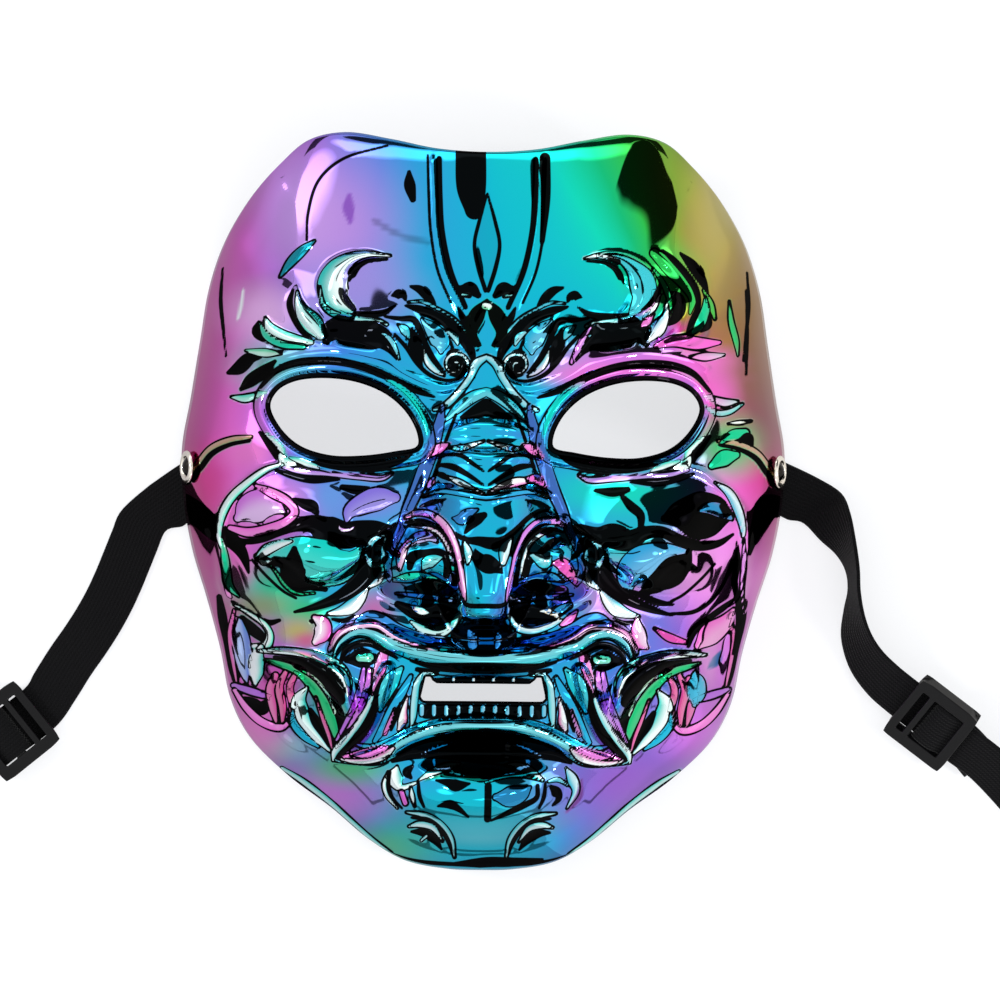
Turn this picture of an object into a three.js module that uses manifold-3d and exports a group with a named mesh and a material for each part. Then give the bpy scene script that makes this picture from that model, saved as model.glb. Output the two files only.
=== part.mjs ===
// A full-face samurai mask: one moulded shell with carved brows, nose, tusks and chin,
// and an elastic head strap riveted at both temples and adjusted by two sliders.
// Millimetres. The mask lies on its back: +Z comes out of the face, +Y points to the
// forehead, +X to the right of a viewer who looks at the face. The origin is on the
// surface it lies on, under the middle of the mask's box.

import * as THREE from "three";
import { mergeVertices } from "three/addons/utils/BufferGeometryUtils.js";
import Module from "manifold-3d";

const wasm = await Module();
wasm.setup();

// Shell
const WALL = 2.2;
const PLATE_TOP = 60;        // height of the face plate, before the features are added
const PLATE_BOW = 6;         // how far the plate falls towards forehead and chin
const PLATE_CREST = 20;      // where along Y the plate is highest
const PLATE_SPAN = 120;
const DOME_POWER = 2.4;      // roundness of the sections from the plate down to the rim
const DOME_CUT = 0.965;      // where the dome is cut, which sets how steep the side wall is
const OUTER_CELLS = [34, 36];
const INNER_CELLS = [17, 18];
// Share of the cells against share of the way: across the face, and from chin to forehead
const CELLS_ACROSS = [[0, 0], [0.07, 0.045], [0.32, 0.35], [0.68, 0.65], [0.93, 0.955], [1, 1]];
const CELLS_ALONG = [[0, 0], [0.07, 0.04], [0.84, 0.75], [1, 1]];
const THICKENING = 3;        // reach of the smoothing that keeps the inner side clear of the relief
const RIM_FADE = [0.9, 0.985];
const DEEP = 0.75;           // away from the rim the inner side is this share of a wall below
const DEEP_FADE = [0.72, 0.9];
const RIM_LEVEL = [0.35, 0.8];  // upward part of the wall's direction where its edge turns level

// The right half of the mask's outline, from the top middle to the bottom middle
const HALF_OUTLINE = [
  [0, 105.2], [15, 106.2], [29, 109], [43, 111], [54, 108.6], [62.5, 101.5],
  [72, 90.5], [79.5, 77.5], [84, 64], [86.6, 48], [89.2, 31], [91.8, 15], [91.2, 0],
  [88.4, -15.5], [84, -30], [79.6, -46], [76.4, -61], [70.5, -72.5], [58.5, -84.3],
  [45, -94.2], [34, -103.3], [23, -109.6], [10, -112.1], [0, -112.4],
];
const FOREHEAD_CORNER = 5;   // places in the outline where the surface grid has its corners
const JAW_CORNER = 18;
// How high the rim stands, by the angle in degrees round from the top middle
const RIM_HEIGHT = [
  [0, 42], [22, 34], [33, 24], [43, 10], [50, 1.5], [53, 0], [63, 0], [78, 5],
  [100, 5], [112, 0], [128, 0], [140, 3], [157, 8], [180, 13],
];

// Nose: station along Y, half width at its foot, height above the face plate
const NOSE = [
  [48, 5, 0], [36, 9, 3], [21, 15, 8], [8, 19, 15], [-6, 22, 22], [-18, 20, 26.5],
  [-28, 15.5, 28], [-34, 13, 24], [-38, 11, 11], [-42, 9, 0],
];
// Broad masses of the right half, mirrored: centre x, y, radii, height
const MOUNDS = [
  [53, -12.5, 19, 18, 8],       // cheekbone
  [65, -2.5, 13, 11, 4],        // bump beside it
  [22, -19, 13, 15.5, 17],      // nose wing
  [26, -29, 8, 6, -4],          // nostril
  [41.5, 25, 30, 17, -7],       // eye socket
  [60, 58, 20, 12, 3.5],        // brow end
  [20, 48, 18, 10, 4],          // frown
  [73.5, -46, 8, 17, -6],       // jaw hollow
  [55, -68, 15, 14, -3],        // hollow below the tusk
  [34, -60, 17, 22, 7],         // corner of the mouth
  [78, 8, 12, 14, -2],          // temple
];
// Broad masses on the middle line: centre y, radii, height
const MIDDLE_MOUNDS = [
  [-52, 52, 22, 8],             // muzzle
  [-58.5, 24, 9.5, -8],         // mouth recess
  [-77, 28, 7, -7],             // hollow under the lower lip
  [-91, 33, 16, 13],            // chin boss
  [57, 20, 22, 3],              // middle of the forehead
];
const FOREHEAD_PLANE = { x: 60, bottom: 70, fold: 4, ease: 8, drop: 1.6 };
const NOSE_SECTION = [2.4, 1.6];  // powers that round the nose's sections

// Eye hole and mouth slot
const EYE = [
  [64.8, 28.2], [62.6, 32.6], [57.5, 35.4], [48, 36.4], [38, 35], [29.5, 31.3],
  [23.6, 25.8], [20.5, 19.5], [20.6, 16.2], [27, 14.6], [37, 13.2], [47, 13.3],
  [56, 16.2], [62, 21.8],
];
const EYE_LIP = { offset: 2.4, half: 1.7, rise: 1.8 };
const SLOT = { half: 18.8, top: -55.2, bottom: -60.5, corner: 1, notch: 2, notchX: 16, slant: 1.3 };
const UPPER_TEETH = { count: 5, half: 14.5, y: -54.6, size: [5, 2.6, 3] };
const LOWER_TEETH = { count: 7, half: 18.5, y: -62.4, size: [4.6, 3.4, 3.2] };

// Carved strands of the right half, mirrored: height, then x, y, half width along each
const STRANDS = {
  browBand: [2.4, [67, 39, 1], [62, 42.3, 2.1], [53.5, 45, 2.7], [43, 45.3, 3], [32, 42.6, 2.9],
    [23, 38, 2.7], [14.8, 35.3, 2.4], [8.4, 36, 1.9], [5, 39.5, 1.4]],
  browCurl: [3.6, [40.7, 55.6, 1.8], [44.7, 60.3, 3.7], [45.9, 65.8, 4.1], [42.5, 71, 2.7],
    [35.8, 73.7, 1.5], [29.1, 72.5, 0.3]],
  browLock2: [3, [45, 47.5, 2.1], [51, 51, 2.8], [56.3, 57, 2], [57.5, 63.7, 0.3]],
  browLock3: [2.6, [51, 46.5, 1.4], [59.6, 47.5, 2.1], [65.4, 50.3, 1.7], [67.3, 55.5, 0.3]],
  browLeaf: [2.2, [57.8, 42, 1.8], [65, 44.3, 1.8], [73, 44.5, 0.3]],
  foreheadRidge: [1.6, [16.6, 103, 0.9], [16, 91, 1], [15.7, 82, 1.1], [13.3, 69.2, 1.3],
    [9, 58.8, 1.5], [3.2, 47.2, 1.4]],
  cheekTube: [2, [61, 10.6, 0.7], [68.2, 7.6, 1.2], [74.9, 2.4, 1.4], [79, -5, 1.4],
    [80.3, -14, 1.4], [79.8, -25, 1.2], [79.3, -31, 0.7]],
  noseHoop: [2, [23.6, -4.5, 1], [18.8, -3.4, 1.4], [13.3, -6.3, 1.6], [9.2, -14.4, 1.7],
    [7.4, -24.8, 1.5], [6.4, -32.5, 1]],
  tusk: [7.5, [39.5, -64, 3.6], [44.6, -57.6, 4.6], [52.3, -50.6, 3.4], [60.2, -47.3, 1.9],
    [68.2, -46.1, 0.4]],
  fang: [5, [27.3, -50.4, 2.2], [30.7, -58.9, 3], [35.2, -68.1, 2.9], [40.7, -74.8, 1.8],
    [45.3, -79.4, 0.4]],
};
// Carved strands that cross the middle line, given from their right end to the middle
const MIDDLE_STRANDS = {
  bridgeFold1: [1.8, [13.9, 17.2, 0.7], [7.8, 20, 2.1], [0, 21, 2.6]],
  bridgeFold2: [1.8, [16.3, 9.2, 0.7], [9.3, 12.7, 1.8], [0, 13.6, 2.1]],
  moustache: [3.2, [45.6, -46.7, 0.9], [43.2, -40.6, 1.6], [37.7, -36, 2.1], [31.6, -37.6, 2.4],
    [23.6, -42.2, 3], [12.4, -45.5, 3.6], [0, -46.7, 3.9]],
  lowerLip: [3.4, [42.9, -78.8, 0.6], [34.6, -76.9, 1.8], [26.1, -73.7, 2.4], [16.9, -69.4, 2.4],
    [0, -67.2, 2.2]],
  chinRoll: [1.8, [20, -86.5, 0.7], [10.2, -82.1, 1.4], [0, -85.3, 1.4]],
};
const VOLUTE = {
  x: 9.8, y: 41.2, outer: 3.9, inner: 0.9, start: -0.35, turns: 1.25, steps: 7,
  half: 1, taper: 0.4, rise: 1.8,
};
const STRAND_STEP = 10;      // longest step along a strand
const STRAND_ROOT = 1;       // how deep a strand is sunk into the wall
const FINE_RISE = 2.1;       // strands up to this height have a flat top
const FINE_TOP = [[-0.55, 1], [0.55, 1]];
const ROUND_TOP = [[-0.7, 0.7], [0, 1], [0.7, 0.7]];
const STRAND_SLOPE = 0.45;   // narrow ends are lower, so that their sides stay as steep
const STRAND_END = 0.25;     // least half width
const WELD = 0.05;           // vertices closer than this become one
const CUT_DEPTH = 120;       // the holes are cut through the whole depth of the mask

// Strap, rivets and sliders
const BAND = { width: 15, thick: 1.2 };
const GAP = 0.3;             // clearance between touching pieces
const WALL_GAP = 1.1;        // clearance between the band and the faceted inner wall
const FLOOR = 0.05;          // the strap lies this far above the surface
const RIVET = { y: 9.4, z: 12.5, tilt: 20 };   // where its axis leaves the wall, and its lean
// The rivet's turned form: radii, then thickness of its flange and heights of its ring and dome
const RIVET_FORM = {
  shank: 2, flange: 4, head: 5, crown: 3.8, well: 3,
  plate: 0.8, edge: 0.6, top: 1.6, sunk: 1.2, dome: 2.2,
};
const RIVET_HOLE = { depth: 16, sides: 16 };
const RIVET_SIDES = 12;
const FOLD_RADIUS = 5.8;     // where the band turns from the wall to the surface it lies on
const WALL_CURVE = 0.05;     // how fast the wall, and the band's end on it, curve in above the rivet
const WALL_CURVE_START = 2;  // the curve starts this far above the rivet
// Places of the folded band's sections, as shares of the run from the rivet to its free route
const FOLD_SHARES = [-0.23, -0.12, 0, 0.14, 0.28, 0.44, 0.6, 0.76];
const FOLD_DRIFT = [0.8, 0.2];  // how the fold drifts down: linear and quadratic share
const FOLD_BLEND = 14;       // over this length the band stops following the wall's outline
const BAND_STRIPS = [-0.5, 0, 0.5];
const SLIDER = { length: 21.5, width: 23.5, slot: 15.8, height: 4.5, corner: 4.5 };
// The slider's inner bars, from the mask's side: start, end, low and high face
const SLIDER_BARS = [[5.2, 7.2, 1.55, 4.5], [10.8, 14, 1.55, 2.7]];
const SLIDER_ENDS = [[0, 2.8, 1.55], [18.1, 21.5, 3.05]];
// Where each slider lies: middle of its mask-side edge, heading away from the mask, roll in degrees
const SLIDERS = {
  left: { x: -135.1, y: -64.8, heading: [-0.775, -0.632], roll: 0 },
  right: { x: 129.5, y: -59.2, heading: [0.8, -0.6], roll: 32 },
};
// Routes of the strap: x, y, roll in degrees, height of its lower edge above the surface
const ROUTE_LEFT = [
  [-103.4, -7.2], [-106, -13.2], [-108.4, -19.3], [-110.8, -25.3], [-113.6, -31.5],
  [-116.9, -37.6], [-120.8, -43.8], [-125.2, -50.2], [-130, -58],
];
const ROUTE_RIGHT = [
  [103.4, -1.3, 12, 0], [107.4, -6.9, 38, 0], [110.8, -13.6, 66, 0], [112.8, -20.2, 78, 0],
  [113.3, -26.4, 80, 0], [113.3, -33, 70, 0], [114, -40, 56, 0], [117, -47.3, 44, 0.8],
  [122, -53.4, 35, 1.9],
];
const ROUTE_BACK = [
  [-164, -89, 0, 0], [-171.5, -99, 0, 0], [-176, -112, 0, 0], [-177, -127, 0, 0],
  [-173.5, -143, 0, 0], [-165, -157, 0, 0], [-151, -168, 0, 0], [-130, -174, 0, 0],
  [-105, -176.5, 0, 0], [-70, -177.5, 0, 0], [-35, -178, 0, 0], [0, -178, 0, 0], [35, -178, 0, 0],
  [70, -177.5, 0, 0], [105, -177, 0, 0], [135, -175, 0, 0], [158, -168.5, 0, 0],
  [174, -156, 0, 0], [182, -139, 0, 0], [183, -121, 0, 0], [178.5, -106, -6, 0],
  [170, -95, -16, 0.6],
];
const TAIL = { length: 9, sway: 2 };
const SLIDER_ENTRY = 2;      // the short band is level with the slider this far before it
// The long band in the slider: place along it, and how far it is above the tail or the bar
const BACK_IN_SLIDER = [
  [8.4, "tail", 0.3], [10.2, "bar", 0], [14.6, "bar", 0], [17.4, "tail", 0], [22, "tail", 0],
  [32, "tail", 0],
];
const RIVET_SEARCH = 0.01;   // step of the search for the wall at the rivet's height
const UP = new THREE.Vector3(0, 0, 1);
const FINE_TOLERANCE = 1e-4;

const smooth = (low, high, value) => THREE.MathUtils.smoothstep(value, low, high);

/** Value between the rows of a [station, value] table, in straight lines. */
function linear(rows, at) {
  const i = Math.max(1, rows.findIndex(([from]) => from >= at));
  const [[low, start], [high, end]] = [rows[i - 1], rows[i]];
  return start + ((end - start) * (at - low)) / (high - low);
}

/** Value of a table of [station, ...] rows between its stations, without overshoot. */
function station(rows, at, column = 1) {
  const rising = rows[0][0] < rows[rows.length - 1][0];
  const list = rising ? rows : [...rows].reverse();
  if (at <= list[0][0]) return list[0][column];
  for (let i = 1; i < list.length; i++) {
    if (at > list[i][0]) continue;
    const part = (at - list[i - 1][0]) / (list[i][0] - list[i - 1][0]);
    const eased = part * part * (3 - 2 * part);
    const blend = 0.5 * (part + eased);
    return list[i - 1][column] + (list[i][column] - list[i - 1][column]) * blend;
  }
  return list[list.length - 1][column];
}

const outlineCurve = (() => {
  const right = HALF_OUTLINE.map(([x, y]) => new THREE.Vector3(x, y, 0));
  const left = right.slice(1, -1).reverse().map((p) => new THREE.Vector3(-p.x, p.y, 0));
  return new THREE.CatmullRomCurve3([...right, ...left], true, "centripetal");
})();

// Distance from the origin to the outline, sampled by angle round from the top middle
const outlineRays = outlineCurve.getPoints(720).slice(0, 361)
  .map((p) => [Math.atan2(p.x, p.y), Math.hypot(p.x, p.y)])
  .sort((a, b) => a[0] - b[0]);

function outlineRadius(angle) {
  let low = 0;
  let high = outlineRays.length - 1;
  while (high - low > 1) {
    const middle = (low + high) >> 1;
    if (outlineRays[middle][0] <= angle) low = middle;
    else high = middle;
  }
  const [from, radius] = outlineRays[low];
  const [to, nextRadius] = outlineRays[high];
  const part = to > from ? (angle - from) / (to - from) : 0;
  return radius + (nextRadius - radius) * THREE.MathUtils.clamp(part, 0, 1);
}

function mound(x, y, cx, cy, rx, ry, height) {
  const d2 = ((x - cx) / rx) ** 2 + ((y - cy) / ry) ** 2;
  return d2 < 1 ? height * (1 - d2) ** 2 : 0;
}

/** The broad masses of the face, above the plain dome. */
function masses(x, y) {
  const noseHalf = station(NOSE, y, 1);
  const noseRise = station(NOSE, y, 2);
  const side = Math.abs(x) / noseHalf;
  let sum = side < 1 ? noseRise * (1 - side ** NOSE_SECTION[0]) ** NOSE_SECTION[1] : 0;
  for (const [cx, cy, rx, ry, height] of MOUNDS) {
    sum += mound(x, y, cx, cy, rx, ry, height) + mound(x, y, -cx, cy, rx, ry, height);
  }
  for (const [cy, rx, ry, height] of MIDDLE_MOUNDS) sum += mound(x, y, 0, cy, rx, ry, height);
  const plane = FOREHEAD_PLANE;
  const beside = smooth(plane.x - plane.fold, plane.x + plane.fold, Math.abs(x));
  return sum - plane.drop * beside * smooth(plane.bottom - plane.ease, plane.bottom + plane.ease, y);
}

/** Height of the outer surface over a point of the front view. */
function surface(x, y) {
  const angle = Math.atan2(Math.abs(x), y);
  const reach = Math.min(1, Math.hypot(x, y) / outlineRadius(angle));
  const rim = station(RIM_HEIGHT, THREE.MathUtils.radToDeg(angle));
  const cut = Math.sqrt(1 - DOME_CUT ** DOME_POWER);
  const dome = (Math.sqrt(1 - (DOME_CUT * reach) ** DOME_POWER) - cut) / (1 - cut);
  const plate = PLATE_TOP - PLATE_BOW * ((y - PLATE_CREST) / PLATE_SPAN) ** 2;
  const fade = 1 - smooth(...RIM_FADE, reach);
  return rim + (plate - rim) * dome + masses(x, y) * fade;
}

function normalAt(x, y) {
  const step = 0.4;
  const inward = 1 - 1e-3;
  const [px, py] = [x * inward, y * inward];
  const slopeX = (surface(px + step, py) - surface(px - step, py)) / (2 * step);
  const slopeY = (surface(px, py + step) - surface(px, py - step)) / (2 * step);
  return new THREE.Vector3(-slopeX, -slopeY, 1).normalize();
}

/** Grid of front-view points that fills the outline, closer together near the rim. */
function faceGrid([across, along]) {
  const corner = (index) => index / (2 * HALF_OUTLINE.length - 2);
  const edge = (from, to) => (t) => {
    const at = from + (to - from) * t;
    return outlineCurve.getPoint(((at % 1) + 1) % 1);
  };
  const top = edge(-corner(FOREHEAD_CORNER), corner(FOREHEAD_CORNER));
  const right = edge(corner(JAW_CORNER), corner(FOREHEAD_CORNER));
  const bottom = edge(1 - corner(JAW_CORNER), corner(JAW_CORNER));
  const left = edge(1 - corner(JAW_CORNER), 1 - corner(FOREHEAD_CORNER));
  const rows = [];
  for (let j = 0; j <= along; j++) {
    const v = linear(CELLS_ALONG, j / along);
    const row = [];
    for (let i = 0; i <= across; i++) {
      const u = linear(CELLS_ACROSS, i / across);
      const point = new THREE.Vector3()
        .addScaledVector(left(v), 1 - u).addScaledVector(right(v), u)
        .addScaledVector(bottom(u), 1 - v).addScaledVector(top(u), v)
        .addScaledVector(bottom(0), -(1 - u) * (1 - v)).addScaledVector(bottom(1), -u * (1 - v))
        .addScaledVector(top(0), -(1 - u) * v).addScaledVector(top(1), -u * v);
      row.push(point);
    }
    rows.push(row);
  }
  return rows;
}

function outerPoint(p) {
  return new THREE.Vector3(p.x, p.y, surface(p.x, p.y));
}

/**
 * The inner surface lies one wall below the outer one, and level with it at a steep rim.
 * Away from the rim it follows the lowest point of the relief around it.
 */
function innerPoint(p, onRim) {
  const normal = normalAt(p.x, p.y);
  if (onRim) {
    normal.z *= smooth(...RIM_LEVEL, normal.z);
    normal.normalize();
    const point = outerPoint(p).addScaledVector(normal, -WALL);
    point.z = Math.max(0, point.z);
    return point;
  }
  const reach = Math.hypot(p.x, p.y) / outlineRadius(Math.atan2(Math.abs(p.x), p.y));
  let lowest = Infinity;
  for (let k = 0; k < 8; k++) {
    const angle = (k * Math.PI) / 4;
    const [dx, dy] = [THICKENING * Math.cos(angle), THICKENING * Math.sin(angle)];
    lowest = Math.min(lowest, surface(p.x + dx, p.y + dy));
  }
  const deep = new THREE.Vector3(p.x, p.y, Math.min(lowest, surface(p.x, p.y)) - DEEP * WALL);
  const even = outerPoint(p).addScaledVector(normal, -WALL);
  return even.lerp(deep, 1 - smooth(...DEEP_FADE, reach));
}

function borderLoop(rows) {
  const last = rows.length - 1;
  const end = rows[0].length - 1;
  return [
    ...rows[0].slice(0, end),
    ...rows.slice(0, last).map((row) => row[end]),
    ...rows[last].slice(1).reverse(),
    ...rows.slice(1).map((row) => row[0]).reverse(),
  ];
}

function triangleSoup(triangles) {
  const geometry = new THREE.BufferGeometry();
  const numbers = triangles.flatMap((corners) => corners.flatMap((p) => [p.x, p.y, p.z]));
  geometry.setAttribute("position", new THREE.Float32BufferAttribute(numbers, 3));
  return mergeVertices(geometry, FINE_TOLERANCE);
}

function gridTriangles(rows, facingUp) {
  const triangles = [];
  for (let j = 1; j < rows.length; j++) {
    for (let i = 1; i < rows[j].length; i++) {
      const [a, b, c, d] = [rows[j - 1][i - 1], rows[j - 1][i], rows[j][i], rows[j][i - 1]];
      if (facingUp) triangles.push([a, b, c], [a, c, d]);
      else triangles.push([a, c, b], [a, d, c]);
    }
  }
  return triangles;
}

/** The bare shell: outer and inner surfaces joined by the rim's edge face. */
function shellGeometry() {
  const outer = faceGrid(OUTER_CELLS).map((row) => row.map(outerPoint));
  const innerFlat = faceGrid(INNER_CELLS);
  const lastRow = innerFlat.length - 1;
  const inner = innerFlat.map((row, j) => row.map((p, i) => {
    const onRim = j === 0 || j === lastRow || i === 0 || i === row.length - 1;
    return innerPoint(p, onRim);
  }));
  const triangles = [...gridTriangles(outer, true), ...gridTriangles(inner, false)];
  const outerLoop = borderLoop(outer);
  const innerLoop = borderLoop(inner);
  const ratio = outerLoop.length / innerLoop.length;
  innerLoop.forEach((point, k) => {
    const next = innerLoop[(k + 1) % innerLoop.length];
    for (let s = 0; s < ratio; s++) {
      const from = outerLoop[k * ratio + s];
      const to = outerLoop[(k * ratio + s + 1) % outerLoop.length];
      triangles.push([s < ratio / 2 ? point : next, to, from]);
      if (s === ratio / 2 - 1) triangles.push([point, next, to]);
    }
  });
  return triangleSoup(triangles);
}

/** A carved strand: a rounded strip that hugs the face along a curve of the front view. */
function strandGeometry(rise, stops, closed = false) {
  const curve = new THREE.CatmullRomCurve3(
    stops.map(([x, y, half]) => new THREE.Vector3(x, y, half)), closed, "centripetal");
  const flat = new THREE.CatmullRomCurve3(
    stops.map(([x, y]) => new THREE.Vector3(x, y, 0)), closed, "centripetal");
  const steps = Math.max(3, Math.ceil(flat.getLength() / STRAND_STEP));
  const top = rise > FINE_RISE ? ROUND_TOP : FINE_TOP;
  const section = [[-1, -STRAND_ROOT], ...top, [1, -STRAND_ROOT]];
  const count = closed ? steps : steps + 1;
  const rings = [];
  for (let s = 0; s < count; s++) {
    const t = s / steps;
    const at = curve.getPoint(t);
    const ahead = flat.getPoint(Math.min(1, t + 1e-3));
    const behind = flat.getPoint(Math.max(0, t - 1e-3));
    const sideways = new THREE.Vector3(behind.y - ahead.y, ahead.x - behind.x, 0).normalize();
    const half = Math.max(STRAND_END, at.z);
    const lift = Math.min(rise, half / STRAND_SLOPE);
    rings.push(section.map(([across, up]) => {
      const x = at.x + sideways.x * half * across;
      const y = at.y + sideways.y * half * across;
      const height = up > 0 ? up * lift : up;
      return new THREE.Vector3(x, y, surface(x, y)).addScaledVector(normalAt(x, y), height);
    }));
  }
  return ringsGeometry(rings, closed);
}

/** Closed skin over a row of rings with equal numbers of points. */
function ringsGeometry(rings, closed = false) {
  const triangles = [];
  const size = rings[0].length;
  const last = closed ? rings.length : rings.length - 1;
  for (let s = 0; s < last; s++) {
    const [near, far] = [rings[s], rings[(s + 1) % rings.length]];
    for (let k = 0; k < size; k++) {
      const n = (k + 1) % size;
      triangles.push([near[k], near[n], far[n]], [near[k], far[n], far[k]]);
    }
  }
  if (!closed) {
    const end = rings[rings.length - 1];
    for (let k = 1; k < size - 1; k++) {
      triangles.push([rings[0][0], rings[0][k + 1], rings[0][k]]);
      triangles.push([end[0], end[k], end[k + 1]]);
    }
  }
  return outward(triangleSoup(triangles));
}

/** Turns a closed skin the right way round where it was wound inside out. */
function outward(geometry) {
  const position = geometry.attributes.position;
  const index = geometry.index.array;
  const [a, b, c] = [new THREE.Vector3(), new THREE.Vector3(), new THREE.Vector3()];
  let volume = 0;
  for (let t = 0; t < index.length; t += 3) {
    a.fromBufferAttribute(position, index[t]);
    b.fromBufferAttribute(position, index[t + 1]);
    c.fromBufferAttribute(position, index[t + 2]);
    volume += a.dot(b.cross(c));
  }
  if (volume < 0) {
    for (let t = 0; t < index.length; t += 3) [index[t], index[t + 1]] = [index[t + 1], index[t]];
  }
  return geometry;
}

function toSolid(geometry, tolerance = FINE_TOLERANCE) {
  const merged = mergeVertices(stripped(geometry.clone()), tolerance);
  return new wasm.Manifold(new wasm.Mesh({
    numProp: 3,
    vertProperties: new Float32Array(merged.attributes.position.array),
    triVerts: new Uint32Array(merged.index.array),
  }));
}

function toGeometry(solid) {
  const mesh = solid.getMesh();
  const geometry = new THREE.BufferGeometry();
  geometry.setAttribute("position", new THREE.BufferAttribute(mesh.vertProperties, 3));
  geometry.setIndex(new THREE.BufferAttribute(mesh.triVerts, 1));
  geometry.computeVertexNormals();
  return geometry;
}

/** Welds slivers and drops the small voids left between a strand's root and the faceted wall. */
function cleaned(solid) {
  const bodies = toSolid(toGeometry(solid), WELD).decompose();
  return bodies.reduce((best, body) => (body.numTri() > best.numTri() ? body : best));
}

function mirrored(stops) {
  return stops.map(([x, ...rest]) => [-x, ...rest]);
}

function acrossMiddle(stops) {
  return [...mirrored(stops).slice(0, -1), ...[...stops].reverse()];
}

/** Upright prism over an outline of the front view. */
function cutter(outline) {
  const shape = new THREE.Shape(outline.map(([x, y]) => new THREE.Vector2(x, y)));
  return toSolid(new THREE.ExtrudeGeometry(shape, { depth: CUT_DEPTH, bevelEnabled: false }));
}

function eyeOutline(side) {
  const curve = new THREE.CatmullRomCurve3(
    EYE.map(([x, y]) => new THREE.Vector3(side * x, y, 0)), true, "centripetal");
  return curve.getPoints(2 * EYE.length).slice(0, -1).map((p) => [p.x, p.y]);
}

function offsetOutline(outline, distance) {
  return outline.map(([x, y], k) => {
    const before = outline[(k + outline.length - 1) % outline.length];
    const after = outline[(k + 1) % outline.length];
    const along = new THREE.Vector2(after[0] - before[0], after[1] - before[1]).normalize();
    return [x - along.y * distance, y + along.x * distance];
  });
}

function slotOutline() {
  const { half, top, bottom, corner, notch, notchX, slant } = SLOT;
  const right = [
    [half - corner, bottom], [half, bottom + corner], [notchX + slant, top + notch],
    [notchX, top + notch], [notchX - slant, top],
  ];
  return [...right, ...mirrored(right).reverse()];
}

function toothRow({ count, half, y, size }) {
  const teeth = [];
  for (let k = 0; k < count; k++) {
    const x = -half + size[0] / 2 + (k * (2 * half - size[0])) / (count - 1);
    const tooth = new THREE.BoxGeometry(...size);
    tooth.translate(x, y, surface(x, y) + size[2] / 2 - STRAND_ROOT);
    teeth.push(tooth);
  }
  return teeth;
}

function voluteStops(side) {
  const { x, y, outer, inner, start, turns, steps, half, taper } = VOLUTE;
  return Array.from({ length: steps + 1 }, (_, k) => {
    const t = k / steps;
    const radius = outer + (inner - outer) * t;
    const angle = start + 2 * Math.PI * turns * t;
    return [
      side * (x - radius * Math.cos(angle)), y + radius * Math.sin(angle), half * (1 - taper * t),
    ];
  });
}

function carvings() {
  const pieces = [];
  for (const [rise, ...stops] of Object.values(STRANDS)) {
    pieces.push(strandGeometry(rise, stops), strandGeometry(rise, mirrored(stops)));
  }
  for (const [rise, ...stops] of Object.values(MIDDLE_STRANDS)) {
    pieces.push(strandGeometry(rise, acrossMiddle(stops)));
  }
  for (const side of [1, -1]) {
    pieces.push(strandGeometry(VOLUTE.rise, voluteStops(side)));
    const ring = offsetOutline(eyeOutline(side), -side * EYE_LIP.offset);
    const stops = ring.filter((_, k) => k % 2 === 0).map(([x, y]) => [x, y, EYE_LIP.half]);
    pieces.push(strandGeometry(EYE_LIP.rise, stops, true));
  }
  return [...pieces, ...toothRow(UPPER_TEETH), ...toothRow(LOWER_TEETH)];
}

/** The rivet's axis: its point on the outer wall and the direction straight out of the wall. */
function rivetAxis(side) {
  let x = outlineRadius(Math.PI / 2);
  while (surface(x, RIVET.y) < RIVET.z) x -= RIVET_SEARCH;
  const tilt = THREE.MathUtils.degToRad(RIVET.tilt);
  return {
    seat: new THREE.Vector3(side * x, RIVET.y, RIVET.z),
    out: new THREE.Vector3(side * Math.cos(tilt), 0, Math.sin(tilt)),
  };
}

/** Brings a shape drawn along +Y, with its foot at zero, onto the rivet's axis. */
function ontoRivet(geometry, side) {
  const { seat, out } = rivetAxis(side);
  geometry.applyQuaternion(new THREE.Quaternion().setFromUnitVectors(new THREE.Vector3(0, 1, 0), out));
  return geometry.translate(seat.x, seat.y, seat.z);
}

function rivetHole(side) {
  const radius = RIVET_FORM.shank + GAP;
  const hole = new THREE.CylinderGeometry(radius, radius, RIVET_HOLE.depth, RIVET_HOLE.sides);
  return toSolid(ontoRivet(hole, side));
}

function rivetGeometry(side) {
  const { shank, flange, head, crown, well, plate, edge, top, sunk, dome } = RIVET_FORM;
  const inside = -WALL - WALL_GAP - BAND.thick - 2 * GAP;
  const profile = [
    [0, inside - plate], [flange, inside - plate], [flange, inside], [shank, inside],
    [shank, GAP + edge], [head, GAP + edge], [crown, GAP + top], [well, GAP + sunk],
    [0, GAP + dome],
  ];
  const points = profile.map(([r, h]) => new THREE.Vector2(r, h));
  const lathe = new THREE.LatheGeometry(points, RIVET_SIDES);
  return outward(mergeVertices(stripped(ontoRivet(lathe, side)), FINE_TOLERANCE));
}

function stripped(geometry) {
  geometry.deleteAttribute("normal");
  geometry.deleteAttribute("uv");
  return geometry;
}

/** Sizes of the fold: down the inner wall from the rivet, round the bend and out on the surface. */
const FOLD = (() => {
  const tilt = THREE.MathUtils.degToRad(RIVET.tilt);
  const depth = WALL + WALL_GAP + BAND.thick / 2;
  const { seat } = rivetAxis(1);
  const [startX, startZ] = [seat.x - depth * Math.cos(tilt), seat.z - depth * Math.sin(tilt)];
  const low = FLOOR + BAND.thick / 2;
  const turn = Math.PI / 2 - tilt;
  const wallRun = (startZ - low - FOLD_RADIUS * (1 - Math.cos(turn))) / Math.cos(tilt);
  const bendRun = FOLD_RADIUS * turn;
  const floorX = startX + wallRun * Math.sin(tilt) + FOLD_RADIUS * Math.sin(turn);
  const start = floorX - bendRun - wallRun;
  return { tilt, startX, startZ, low, turn, wallRun, bendRun, floorX, start };
})();

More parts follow.
